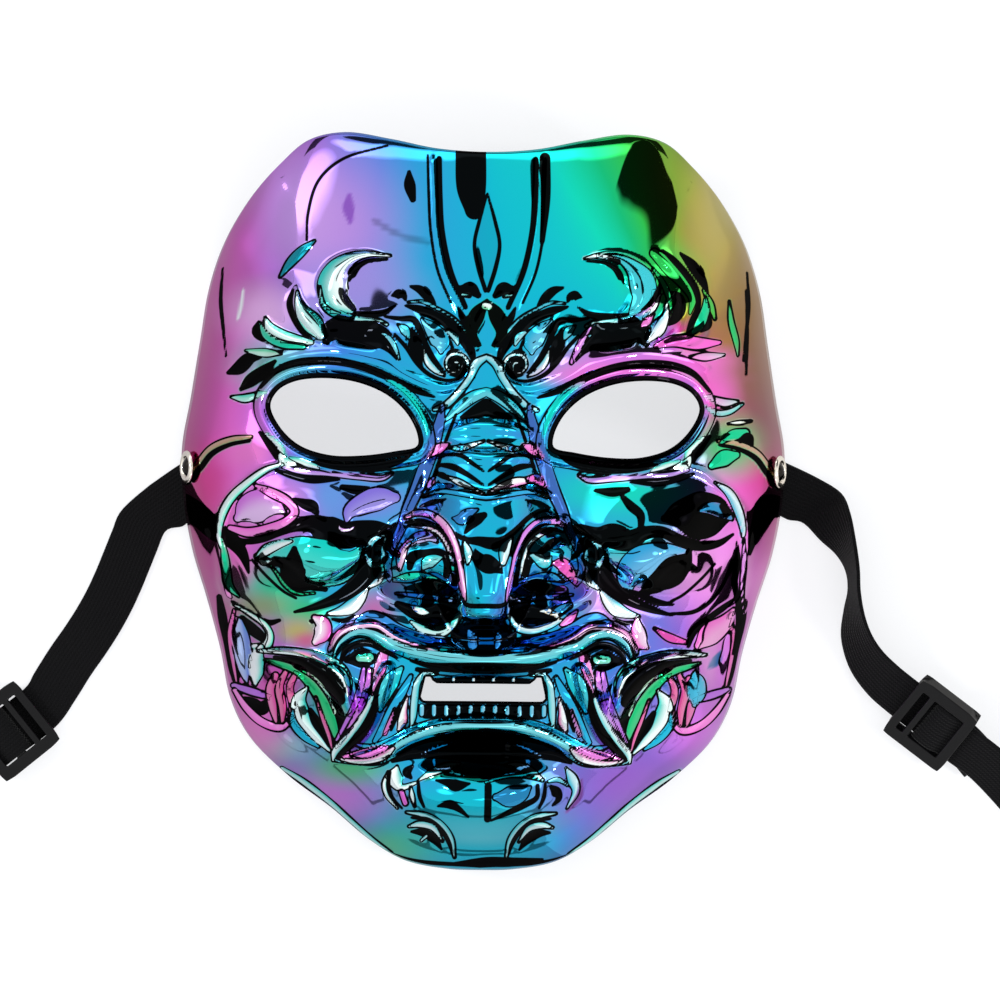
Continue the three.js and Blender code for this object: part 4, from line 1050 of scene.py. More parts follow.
        (48, -25.4, 0.4), side=LEFT),
    recess(0.6, (63.6, -18.2, 0.6), (60.6, -19.6, 1.5), (58, -20.4, 1.6), side=LEFT),
    strand(0.6, 0, 146, (64.6, -20, 0.3), (62.4, -22.6, 0.5), (60, -26, 0.6), (56.4, -28.6, 0.5),
        (51, -28.4, 0.3), side=LEFT),
    groove(0.5, (70, -18.6, 0.4), (66, -23, 0.4), (60.4, -28, 0.4), (56.6, -30, 0.4)),
    lock(0.9, 0.35, 292, (74.4, -6, 1.2), (71.4, -3.6, 4), (67, -2, 4.4), (63, -2.6, 2.4),
        (60.4, -4, 0.6), side=LEFT),
    strand(0.9, 0.1, 314, (76.8, -9, 0.8), (71, -10.3, 1.4), (65, -9, 1.3), (59.4, -6.6, 1.2),
        (57.2, -4, 1.2), (59.4, -0.8, 1.3), (64.4, 1.8, 1.3), (69, 3.8, 0.5), side=LEFT),
    recess(0.9, (27, -7.4, 0.6), (31.4, -12.4, 1.6), (34.4, -16.6, 2.6), (35, -21, 2.8), (38.6, -26, 2.4),
        (44.6, -30, 1.6), (51, -32.6, 1), (57, -34.2, 0.4)),
    recess(0.8, (43, 3.6, 0.8), (38.5, 2.8, 1.3), (33, 3.3, 0.5)),
    lock(1.2, 0.1, 250, (41.6, -6.6, 0.6), (40.6, -3.8, 2), (36.4, -1.2, 3), (31.6, 0.4, 3.2),
        (27, 0.6, 1.4), side=LEFT),
    strand(0.7, 0.5, 290, (44, -7.8, 0.3), (43.2, -9.1, 0.6), (41, -9.3, 0.5), (39.2, -8.4, 0.3),
        side=LEFT),
    strand(1, 0.75, 168, (61, 10.3, 0.5), (66, 8.6, 0.9), (72, 4.3, 1.1), (76.5, 0, 1.2),
        (79.4, -5.5, 1.2), (80.2, -10, 0.9), (79.8, -15, 0.4), side=LEFT),
    strand(1, 0, 152, (79.2, -12.4, 0.4), (78.4, -17, 1), (77.8, -22, 1.3), (77, -26.4, 1.2),
        (74, -29.8, 0.4), side=LEFT),
    strand(1.1, 0.3, 188, (29.5, -10.6, 0.5), (33.6, -12.4, 0.9), (35.2, -16.6, 0.9), (33.6, -19.8, 0.9),
        (30.8, -19, 0.8), (30.6, -15, 0.7), (29.7, -11.4, 0.5)),
    lock(1, 1, 190, (46.8, -34.6, 0.5), (43.2, -33.8, 1.3), (40, -32.4, 2), (37.2, -29.8, 1.5),
        (35.2, -27, 0.5)),
    recess(0.6, (45.6, -36.2, 0.4), (42, -36.6, 0.7), (39, -35, 0.4)),
    lock(0.8, 0.9, 190, (34.6, -26.4, 0.5), (31.6, -24, 1), (30.6, -20.6, 0.5)),
    lock(0.9, 0.6, 320, (51, -35.8, 0.8), (48.6, -37.6, 2.2), (48.6, -40.6, 2.4), (50.6, -43.2, 1),
        side=LEFT),
    recess(0.4, (52.2, -36.8, 0.5), (51.6, -37.2, 0.5), side=LEFT),
    strand(1.3, 0.15, 20, (70.5, 18.6, 0.5), (76.5, 17.6, 1), (82.5, 15, 1.1), (86.5, 10.5, 1),
        (90, 6, 0.6)),
    groove(0.7, (71, 17.4, 0.5), (77, 16.2, 0.6), (82.5, 13.4, 0.8), (86, 9, 0.8), (90, 4.5, 0.6),
        hue=150),
    # jaw beside the tusk
    recess(1, (80, -30, 0.8), (79, -36, 1.3), (77.5, -44, 1), (76, -52, 0.9), (74.5, -58, 0.5)),
    recess(0.8, (76, -31.4, 0.5), (71, -34.4, 0.8), (65, -37.6, 0.9), (61.5, -36.8, 0.5), side=LEFT),
    recess(0.8, (73, -36, 0.6), (70, -39.5, 1.6), (66.5, -42.5, 1.2), (66, -44.5, 0.5), hue=160,
        side=LEFT),
    strand(1, 0.9, 165, (75.5, -32.2, 0.4), (70, -35.4, 0.7), (66, -38.2, 0.9), (64.4, -41.6, 1.1),
        (65.6, -44.6, 1.3), (70, -45, 0.7), side=LEFT),
    strand(0.9, 0.1, 328, (75.4, -34, 0.5), (76.6, -41, 0.8), (76, -48, 0.7), (74.4, -56, 0.5)),
    lock(0.8, 0.35, 225, (73.6, -36.6, 0.6), (73.2, -42, 2.3), (72.6, -48, 2.4), (72, -53, 1.4),
        (71.4, -56, 0.4), side=LEFT),
    lock(1, 0.9, 175, (67, -45, 0.8), (68.4, -48.4, 2), (68.4, -52.4, 2.1), (68.8, -56.4, 0.6),
        side=LEFT),
    recess(1, (73.5, -60.8, 0.6), (70.5, -62, 1.6), (66.8, -63.6, 2.1), (64.4, -61.4, 1), side=LEFT),
    strand(0.9, 0, 275, (75.5, -57, 0.8), (70, -58.6, 1.2), (65, -60, 0.9)),
    strand(1.1, 0.1, 312, (57, -66, 0.5), (60.8, -69.4, 1.1), (66.5, -68, 1.2), (71.4, -63.8, 1.1),
        (75.2, -58.4, 0.7)),
    strand(1, 0.1, 332, (62.6, -53.6, 1), (64.2, -57.6, 1.2), (63.4, -63, 1.2), (62.4, -67.6, 0.6)),
    strand(1, 0.1, 338, (59.6, -52.6, 0.8), (61.4, -57, 1.1), (60.4, -63, 1.1), (60.4, -67.6, 0.6)),
    strand(1, 0.1, 338, (56.6, -53, 0.8), (58.2, -57, 1), (57.4, -63, 1), (58.4, -67.4, 0.5)),
    # tusk, fang and pillars
    recess(0.7, (63, -48, 0.5), (56, -49.6, 1.6), (50, -51.8, 2.7), (45.4, -55.8, 3.4), (43, -60.4, 1.5)),
    recess(0.9, (49, -57, 0.6), (45.4, -61.4, 1.6), (43, -66, 1.4), (42.4, -71, 0.6)),
    strand(1.2, 0.8, 178, (68.2, -46.3, 0.4), (62, -46, 1), (54, -46.6, 1.2), (47.5, -48.4, 1.4),
        (43, -51.4, 1.7), (40.8, -55, 1.3), (40.2, -58.6, 0.5)),
    lock(0.9, 1, 178, (46.6, -50, 0.4), (43.4, -51.8, 1.2), (41.4, -54.6, 1.1), (40.6, -58.8, 0.4)),
    strand(1.4, 0, 142, (66, -48.8, 0.4), (61.5, -50, 1), (56, -52, 1.2), (51.5, -56.2, 1.6),
        (48.2, -61.2, 1.8), (45.9, -66, 1.5), (44.2, -71.4, 1), (43.8, -75, 0.4)),
    strand(0.7, 0.7, 120, (56.6, -50.6, 0.4), (50.4, -54.4, 0.6), (46.6, -59.2, 0.6), (44.3, -64.6, 0.5)),
    lock(1.4, 0.75, 175, (53, -57, 0.4), (55.4, -61, 2), (54.5, -66, 2.6), (51, -70.6, 2),
        (47.6, -74.5, 0.9), (46, -76.4, 0.4)),
    strand(0.9, 0, 194, (57.4, -64, 0.3), (57, -68, 1.1), (53.8, -72, 1.1), (49.4, -75.2, 0.4)),
    recess(0.7, (52, -64, 0.8), (50.2, -67.5, 1.4), (47.8, -71.5, 1), (46.2, -75, 0.4), tone=-0.85,
        hue=200),
    strand(0.7, 0.1, 335, (50.4, -60, 0.4), (48.4, -66, 0.6), (46.2, -72, 0.6), (45.4, -75.6, 0.4)),
    recess(1.6, (41, -48.4, 1), (36.4, -47.8, 2.8), (31.8, -47.8, 1)),
    strand(1.4, 0.2, 160, (37.4, -47.8, 1.2), (34.4, -47.6, 1.4)),
    strand(1.1, 0, 278, (36, -51, 0.6), (36.8, -56, 0.9), (38.6, -62, 0.9), (41.4, -68, 0.8),
        (44, -73, 0.5)),
    strand(1.1, 0, 290, (34.4, -51, 0.6), (34.8, -56, 0.9), (36.6, -62, 0.9), (39.8, -68.4, 0.8),
        (43, -73.6, 0.5)),
    recess(1, (30.6, -57, 0.6), (33.2, -62, 1.7), (35.6, -67, 2.4), (39, -72, 2.4), (43, -76.5, 1.2),
        (45, -79.4, 0.4)),
    strand(1.2, 0.7, 178, (31.4, -46.6, 0.5), (32, -52, 1.1), (33.2, -57.4, 0.9), (34.4, -62, 0.8),
        (37.4, -67.6, 1), (41, -72.4, 1.1), (44.4, -76.6, 1), (45, -79.2, 0.4)),
    lock(1.2, 0.05, 186, (24.6, -50.6, 0.6), (27.4, -54, 2.2), (29.6, -58.5, 2), (31, -63.5, 0.6)),
    strand(1.1, 0, 200, (21.8, -53, 0.6), (24.4, -58, 1.2), (27.4, -63, 1.2), (30, -69, 1.2),
        (32.5, -73, 0.6)),
    lock(0.8, 1, 330, (22.8, -59.4, 0.3), (23.8, -63.6, 0.9), (24.2, -66.8, 1.3), (25.4, -69.6, 0.4)),
    recess(0.7, (24.8, -61, 0.3), (26.2, -65, 0.8), (27.6, -69.4, 0.5)),
    strand(0.8, 0.1, 318, (26.6, -63, 0.3), (28, -67, 0.6), (29.4, -70.6, 0.6)),
    lock(0.8, 0.15, 314, (30, -46.4, 1.2), (31, -50.4, 1.6), (32.6, -55, 0.9), (33.4, -58.6, 0.3)),
    # lips
    recess(1, *mirrored((15, -54.2, 0.6), (8, -54.2, 0.9), (0, -54.2, 0.9))),
    strand(1.3, 0, 212, *mirrored((38.4, -36.6, 0.5), (34.6, -34.8, 1.1), (31, -35.6, 1.3),
        (26, -38.9, 1.5), (19, -41.7, 1.6), (10, -43, 1.5), (0, -43.6, 1.5))),
    strand(1, 0.4, 318, (46.4, -45.5, 0.6), (44, -41, 0.9), (40, -38.5, 0.9), (35.5, -37.8, 0.9),
        (31.8, -38, 1), (27, -41, 1), (21, -43.9, 0.8), (14, -45, 0.4)),
    strand(1.3, 0.15, 186, *mirrored((44.8, -47, 0.6), (42.6, -43.4, 1.1), (38.6, -40.6, 1.2),
        (34, -40.6, 1.4), (28, -43.6, 1.7), (20, -46.5, 1.9), (10, -47.8, 2), (0, -48.2, 2))),
    recess(0.8, (43, -49.4, 0.5), (41.6, -45.8, 0.9), (38, -43.6, 1), (34, -43.4, 1), (30, -45.4, 0.8),
        (26, -47.6, 0.4)),
    recess(0.8, *mirrored((22, -48.4, 0.4), (16, -49.8, 0.9), (8, -50.2, 1.3), (0, -50.3, 1.5))),
    strand(0.8, -0.4, 200, *mirrored((20, -51, 0.4), (10, -52.3, 0.6), (0, -52.6, 0.6))),
    recess(0.8, (-17, -63.8, 2), (17, -63.8, 2), tone=-0.85, side=RIGHT),
    *teeth(-62.2, -64.6, 11, 18.4, 0.75, 0.2),
    *teeth(-53.8, -54.2, 4, 9.0, 0.6, 0.8),
    strand(1, 0.35, 185, (14, -52.3, 0.4), (17.8, -52.5, 0.8), (19.8, -55, 0.9), (20.6, -60, 1),
        (21, -65.5, 0.9), (21.4, -68, 0.5)),
    strand(1, 0, 195, *mirrored((38, -74.2, 0.5), (33, -74.7, 0.8), (28, -73, 1), (22, -69.8, 1.1),
        (15, -67.3, 1.1), (7, -66.2, 1), (0, -66, 1))),
    strand(1.2, 0.15, 186, *mirrored((44, -79.2, 0.5), (38, -79.4, 0.9), (31, -78.6, 1.4),
        (26, -75.6, 1.7), (20, -71.9, 1.8), (12, -69.3, 1.7), (0, -68.8, 1.7))),
    lock(0.9, 0.1, 312, (42, -78, 0.5), (37, -77.1, 1.2), (32, -75.9, 1.1), (29, -74.8, 0.5)),
    recess(1.2, *mirrored((27, -79, 0.6), (20, -76, 2.2), (12, -74.6, 3.4), (0, -74.8, 4.2))),
    strand(0.6, 0.2, 212, (18.5, -77.4, 0.4), (13, -74.8, 0.6), (7, -73, 0.4)),
    lock(0.9, 0.05, 306, (39.6, -77.2, 0.4), (35.4, -76.8, 1.3), (31.4, -75.8, 1.2), (28.4, -74.6, 0.4)),
    lock(0.9, 0.9, 325, (43.4, -78.6, 0.3), (38.4, -79.3, 0.7), (33.6, -79, 0.9), (29.6, -77.4, 1.1),
        (26.8, -75, 0.5)),
    # chin
    recess(0.4, (-17, -84.4, 0.3), (-9, -82.3, 1.2), (-3, -82.9, 1.7), (0, -83.8, 1), tone=-0.6, hue=165,
        side=RIGHT),
    recess(0.4, (0.4, -82.4, 1.6), (4, -82.4, 1.4), (7.4, -82.2, 0.3), side=RIGHT),
    strand(0.8, 0, 182, (1, -85, 0.3), (8, -82.8, 0.7), (13, -82.9, 0.7), (18.4, -84.6, 0.3), side=RIGHT),
    lock(1, 0.95, 172, (19, -84.6, 0.3), (15, -82.2, 1), (10, -80.3, 1.1), (6.8, -79.6, 0.3), side=LEFT),
    lock(1, 0.8, 186, (7, -79.9, 0.3), (10, -80, 1), (14, -81.2, 1.2), (18.6, -84.2, 0.3), side=RIGHT),
    lock(0.7, 0.2, 212, (18.4, -76.8, 0.3), (13, -74.4, 0.6), (7, -72.8, 0.4), side=LEFT),
    lock(0.6, 0.9, 250, (6.2, -77.2, 0.3), (8, -77.8, 0.6), side=RIGHT),
    # Painted dark reflections on the chin, over a slight recess
    recess(0.2, (-13.8, -84.6, 0.3), (-10.4, -85.2, 1.1), (-8, -86, 1.7), (-3.8, -85.4, 0.3), side=RIGHT),
    recess(0.2, (-13.2, -92.4, 0.3), (-9.6, -91.8, 1.3), (-7.2, -93, 0.9), (-4, -95.6, 0.3), side=RIGHT),
    recess(0.2, (1.8, -86, 1), (1.8, -96.2, 1), side=RIGHT),
    lock(0.5, -0.35, 205, (4.2, -89.4, 1), (8, -89.4, 2.8), (12, -88.2, 2.2), (14.6, -86.4, 0.4),
        side=RIGHT),
    recess(0.3, (3, -96.6, 0.3), (8, -94.2, 0.8), (13, -91.8, 0.9), (16.6, -89.6, 0.7), (16.8, -86, 0.6),
        side=RIGHT),
    recess(0.5, (19.2, -85, 0.4), (18.8, -89.4, 0.6), (17.4, -92.8, 0.4)),
    lock(1, 1, 178, (25.6, -80.6, 0.4), (26.2, -84, 2.3), (24.6, -87, 1.1), (19.8, -85.4, 0.4),
        side=LEFT),
    recess(0.8, (21, -80.4, 0.5), (22.6, -82.4, 1.3), (21.4, -84, 0.5), side=LEFT),
    recess(0.6, (27.6, -82.4, 0.3), (28.2, -86, 0.6), (27, -90, 0.5), (24, -93.4, 0.3), side=LEFT),
    strand(0.8, 1, 178, (28.2, -82.4, 0.3), (29.4, -86, 0.7), (28.6, -89.6, 0.6), (25.4, -93.4, 0.3),
        side=LEFT),
    lock(0.8, 0, 306, (24.2, -88.4, 0.8), (23, -91.8, 0.8), side=LEFT),
    lock(0.8, 1, 178, (21.4, -86.8, 0.3), (21, -89.4, 0.7), (20.2, -92.6, 0.3), side=LEFT),
    lock(1, 0.5, 190, (25.4, -80.6, 0.3), (27.4, -84, 1.5), (28.6, -87.8, 1.1), (26, -93, 0.3),
        side=RIGHT),
    lock(0.8, 0.2, 188, (20, -84.8, 0.4), (23, -84.2, 0.7), (26, -86, 0.3), side=RIGHT),
    recess(0.8, (20.6, -86, 0.4), (22.6, -88, 1.5), (23.4, -90, 0.9), (21.6, -92, 0.4), side=RIGHT),
    recess(0.4, (30.2, -84.4, 0.3), (29.6, -89.4, 1), (26, -94, 0.4), tone=-0.6, hue=270, side=RIGHT),
    strand(1.2, 0.35, 184, (22.6, -94.6, 0.4), (17, -95.4, 0.9), (12.4, -98.2, 1.1), (9.2, -102.6, 1),
        (7.8, -108.4, 0.4)),
    recess(0.7, (21, -96.2, 0.4), (16, -96.8, 0.7), (11.8, -100.2, 0.7), (9.4, -104.4, 0.6),
        (8.6, -107.4, 0.3)),
    lock(1, 0.6, 182, (21.8, -99, 0.4), (18.6, -98.2, 1), (14.6, -99.2, 0.9), (11.6, -103.4, 0.3)),
    recess(0.7, (21, -100.6, 0.4), (17.6, -100.8, 1.2), (14, -103, 1.2), (11.8, -106, 0.3)),
    lock(0.6, 0.5, 184, (18, -103.4, 0.4), (16.4, -101.8, 0.5), side=LEFT),
    recess(0.6, (-8, -110.4, 0.4), (2, -109.8, 1.4), (10, -109.8, 1.3), (19, -109, 0.4), side=RIGHT),
    # what only the right half has
    lock(1.2, 0.05, 186, (45, 57, 2), (47.4, 61.6, 3.4), (46.6, 66.8, 3.6), (43.4, 71, 2),
        (39, 73.6, 0.9), (33, 74.2, 0.4), side=RIGHT),
    lock(0.8, 1, 186, (29.4, 73, 0.3), (33, 73.8, 0.7), (37, 73.2, 0.7), (39.6, 72, 0.3), side=RIGHT),
    recess(0.6, (36.6, 73.2, 0.3), (39.4, 72.1, 0.9), side=RIGHT),
    recess(0.8, (53, 67.4, 0.4), (51.8, 63.4, 0.8), (49.8, 60, 0.9), (46.6, 57.4, 0.4), side=RIGHT),
    lock(0.9, 1, 310, (52.4, 62.6, 0.3), (50.6, 59, 0.9), (47.6, 56.2, 1.3), (43.6, 54.8, 0.4),
        side=RIGHT),
    lock(0.7, 0.1, 318, (50.4, 56.6, 0.3), (48.4, 54.2, 1.2), (46.6, 52.8, 0.4), side=RIGHT),
    lock(1.1, 0.9, 196, (54.4, 60.2, 0.3), (54, 56, 1.1), (51.6, 52.2, 2.2), (49.4, 49.6, 1.3),
        (48.6, 47.8, 0.3), side=RIGHT),
    recess(0.8, (55, 63, 0.8), (57.4, 61.2, 2.1), (58.2, 58, 1.9), (56.6, 55, 1.3), (55, 53.4, 0.4),
        side=RIGHT),
    strand(0.9, 0, 138, (50, 70.6, 0.3), (53, 66.6, 0.7), (55, 62, 0.8), (56, 57, 0.4), side=RIGHT),
    lock(1, 0, 124, (50.6, 75, 1.4), (55.4, 70.8, 2.2), (60, 66, 1.8), (62.4, 61.6, 1.2), (61.6, 57, 0.4),
        side=RIGHT),
    recess(0.8, (53, 76, 0.4), (56.4, 73.2, 0.9), (60.6, 68.6, 1), (63.4, 64.2, 1), (64.2, 59.6, 0.8),
        (62.2, 54, 1), (60.4, 49.4, 0.4), side=RIGHT),
    recess(0.8, (58.6, 75.2, 0.4), (62.4, 71.6, 1.5), (65.4, 67.2, 1.3), (67.2, 63, 0.4), side=RIGHT),
    lock(1, 0, 112, (65.8, 64.2, 0.4), (68, 60, 1), (69.4, 55.6, 0.5), side=RIGHT),
    lock(1, 0, 150, (66.4, 62, 0.4), (66.4, 58, 1.3), (64.6, 53.6, 1.4), (62.2, 50.8, 0.4), side=RIGHT),
    recess(0.7, (67.8, 56.8, 0.4), (67.4, 53.6, 1), (65, 51.6, 0.4), side=RIGHT),
    lock(1, 0, 318, (51, 46.8, 0.6), (57, 48.6, 1.7), (64, 48, 1.8), (71, 48.4, 0.6), side=RIGHT),
    lock(1, 0.1, 290, (31.8, 52.6, 0.3), (29.6, 50, 0.8), (27.6, 46, 0.9), (25.6, 41.6, 0.6), side=RIGHT),
    lock(0.8, 0, 135, (74, 61, 0.3), (74.6, 55, 0.9), (76.2, 49, 0.9), (76.8, 44.6, 0.3), side=RIGHT),
    recess(0.7, (79.4, 64.6, 0.3), (79.8, 52, 0.5), (79.4, 38.6, 0.4), side=RIGHT),
    lock(0.9, 0, 150, (71.6, 18.2, 0.4), (75, 20.4, 1.4), (79, 21, 1.4), side=RIGHT),
    recess(0.8, (77.6, 18.8, 0.8), (80, 19.6, 1.5), (81.2, 17.4, 0.6), side=RIGHT),
    lock(0.9, 0, 150, (76.4, 14.4, 1), (72.6, 13.4, 2.3), (68.6, 11, 1), side=RIGHT),
    strand(0.9, 0.9, 60, (73.6, 23.8, 0.3), (77, 24.2, 0.6), (81, 24.8, 0.3), side=RIGHT),
    strand(0.9, 0.2, 175, (66.4, 29, 0.3), (70, 27, 0.8), (74, 27.4, 0.8), (78.4, 30, 0.4), side=RIGHT),
    recess(1.2, (54, -5, 1), (58.4, -4, 4), (64.6, -4, 6.6), (71, -3.6, 5), (75.2, -4, 1), side=RIGHT),
    lock(0.8, -0.3, 205, (64.4, -2.8, 0.3), (68.6, -1.8, 1.8), (72.4, -3, 1.8), (75.2, -5.2, 0.4),
        side=RIGHT),
    recess(0.5, (71.8, -1.2, 0.8), (73.4, -3.2, 1.2), side=RIGHT),
    recess(0.8, (41.4, 1.4, 0.7), (44, -1.4, 1.3), (46.8, -4, 1.2), (47, -7.6, 0.8), side=RIGHT),
    recess(1, (28.6, -7.6, 0.8), (33.6, -10, 2.2), (38.6, -10.4, 3.5), (43.6, -11.6, 3), (47.6, -9.6, 2),
        (53, -9, 1.6), (59, -11.6, 1.6), (65, -13.2, 1.4), (71, -12.4, 1), (75.6, -9.6, 0.4), side=RIGHT),
    lock(1, 0.1, 203, (61, -14.8, 0.6), (54, -14.8, 2.4), (48, -17.6, 4.4), (44.6, -21, 4.4),
        (43.6, -24.4, 3), (44, -26.6, 0.8), side=RIGHT),
    # Painted dark reflection on the right cheekbone, over a shallow recess
    recess(0.8, (61.8, -14.4, 0.8), (61, -18.4, 1.6), (57.8, -21.2, 3.3), (54.4, -23.8, 2.7),
        (51.4, -25.2, 0.8), side=RIGHT),
    recess(0.7, (42, -26.2, 0.3), (47, -28, 0.8), (52, -30.2, 1), (57.4, -31, 0.4), side=RIGHT),
    groove(0.6, (56, -33.8, 0.4), (63.6, -33.2, 0.6), (69, -30, 0.5), (73, -24.4, 0.5),
        (75.4, -17.4, 0.4), side=RIGHT),
    recess(0.9, (62.2, -43.6, 0.6), (63.8, -39, 1.2), (68.4, -35.2, 0.9), (73, -32, 0.9), (77, -29, 0.4),
        side=RIGHT),
    lock(0.9, 0.5, 318, (46.2, -35.4, 0.6), (46.6, -39, 2), (47.8, -42.6, 1.8), (49.6, -44.2, 0.5),
        side=RIGHT),
    lock(0.9, 0, 328, (51.6, -38.2, 0.4), (56.4, -41, 1.2), (61.6, -42.4, 0.6), side=RIGHT),
    lock(1, 0.6, 192, (69.6, 6, 0.3), (74, 3, 1.2), (77, -2.4, 1.3), (78.6, -8, 0.9), (78.8, -12, 0.3),
        side=RIGHT),
    strand(0.8, 0.2, 295, (79, -11, 0.3), (79.2, -18, 0.8), (78.8, -26, 0.7), (79.6, -34, 0.3),
        side=RIGHT),
    recess(0.8, (76.8, -12, 0.4), (77.2, -18, 0.9), (76.4, -24, 1), (77.6, -30, 0.8), (78.2, -38, 1),
        (77, -46, 0.7), side=RIGHT),
    recess(1.1, (91, -1, 2.6), (86.6, -1.4, 3.4), (84.2, -5.6, 2.6), (82, -11, 1.4), (80.8, -16, 0.4),
        side=RIGHT),
    lock(1, 0.2, 316, (76.6, -32, 0.4), (73.6, -36.6, 2.4), (68.6, -40.4, 3.2), (65.4, -43.4, 1.2),
        side=RIGHT),
    recess(0.8, (72.6, -45.6, 0.5), (71, -48.4, 1.4), (69.2, -50, 0.5), tone=-0.5, hue=215, side=RIGHT),
    lock(0.9, 0.05, 196, (64.4, -51.6, 0.6), (65, -54.4, 2.5), (65, -58.6, 2.6), (64.6, -61.4, 0.8),
        side=RIGHT),
    # rolled line inside the jaw's edge
    strand(1, 0.45, 178, (60.5, -82, 0.5), (54, -86, 0.9), (46, -92.2, 1), (40, -97.6, 1),
        (33, -103.6, 0.9), (27, -107.6, 0.5)),
    groove(0.7, (63, -82.4, 0.5), (54, -88, 0.7), (46, -94, 0.7), (39, -100, 0.7), (32, -105.6, 0.7),
        (22, -109.4, 0.6), (0, -111, 0.6)),
)


class RingStack:
    """Blocks of points and of faces, to which closed rings are added one by one."""

    def __init__(self, blocks: list[Array], faces: list[Array]) -> None:
        """Keeps the blocks that the rings are added to."""
        self.blocks = blocks
        self.faces = faces

    def add(self, ring: Array, last: Array) -> Array:
        """Adds a ring and its faces to the last one, and returns the numbers of its points.

        Args:
            ring: its points.
            last: point numbers of the ring before it.

        Returns:
            The numbers of the new points.
        """
        numbers = np.arange(len(ring)) + sum(len(block) for block in self.blocks)
        self.blocks.append(ring)
        self.faces.append(strip_faces(last, numbers))
        return numbers


class FaceRelief:
    """The face with its carving: the broad form and every stroke on it."""

    # Close places over which the height is averaged
    spots = ((0, 0), (0.5, 0.2), (-0.2, 0.5), (-0.5, -0.2), (0.2, -0.5))
    # Roll round an eye hole: height, distance from the hole, half width, rounding, outer end
    roll = (1.8, 3.1, 1.7, 0.9, 5.0)
    # Distances from an eye hole over which hollows, masses and fine strokes come in
    hollow_fade = (2, 4)
    mass_fade = (1.5, 4)
    fine_fade = (2, 5)
    # A crest this high all but fills the hollow that it crosses
    filling = 0.25

    def __init__(self, form: FaceForm, strokes: Sequence[Stroke], eyes: Sequence[Contour]) -> None:
        """Keeps the form, the strokes and the eye holes.

        Args:
            form: the broad form.
            strokes: the carving on it.
            eyes: the eye holes, which a roll surrounds.
        """
        self.form = form
        self.strokes = strokes
        self.eyes = eyes

    def height(self, x: Array, y: Array) -> Array:
        """Height of the carved surface, averaged over close places to keep its edges even.

        Args:
            x: places across.
            y: places along.

        Returns:
            The heights there.
        """
        relief = sum(self.relief(x + dx, y + dy) for dx, dy in self.spots) / len(self.spots)
        fade = 1 - smooth(*CARVING_FADE, self.form.reach(x, y))
        return self.form.height(x, y) + relief * fade

    def relief(self, x: Array, y: Array) -> Array:
        """What the strokes and the eye rims add to the broad form.

        Args:
            x: places across.
            y: places along.

        Returns:
            The added height there.
        """
        mass, fine, hollow = np.zeros_like(x), np.zeros_like(x), np.zeros_like(x)
        for stroke in self.strokes:
            part = stroke.relief(x, y)
            if stroke.cut is Cut.MASS:
                mass = np.maximum(mass, part)
            else:
                fine = np.maximum(fine, part)
                hollow = np.minimum(hollow, part)
        rise, middle, half, rounding, end = self.roll
        for eye in self.eyes:
            gap = eye.distance(x, y)
            ring = rise * np.clip(1 - ((gap - middle) / half) ** 2, 0, 1) ** rounding
            fine = np.where(gap < end, np.maximum(fine * smooth(*self.fine_fade, gap), ring), fine)
            hollow = hollow * smooth(*self.hollow_fade, gap)
            mass = mass * smooth(*self.mass_fade, gap)
        return mass + fine + hollow * np.exp(-((fine / self.filling) ** 2))


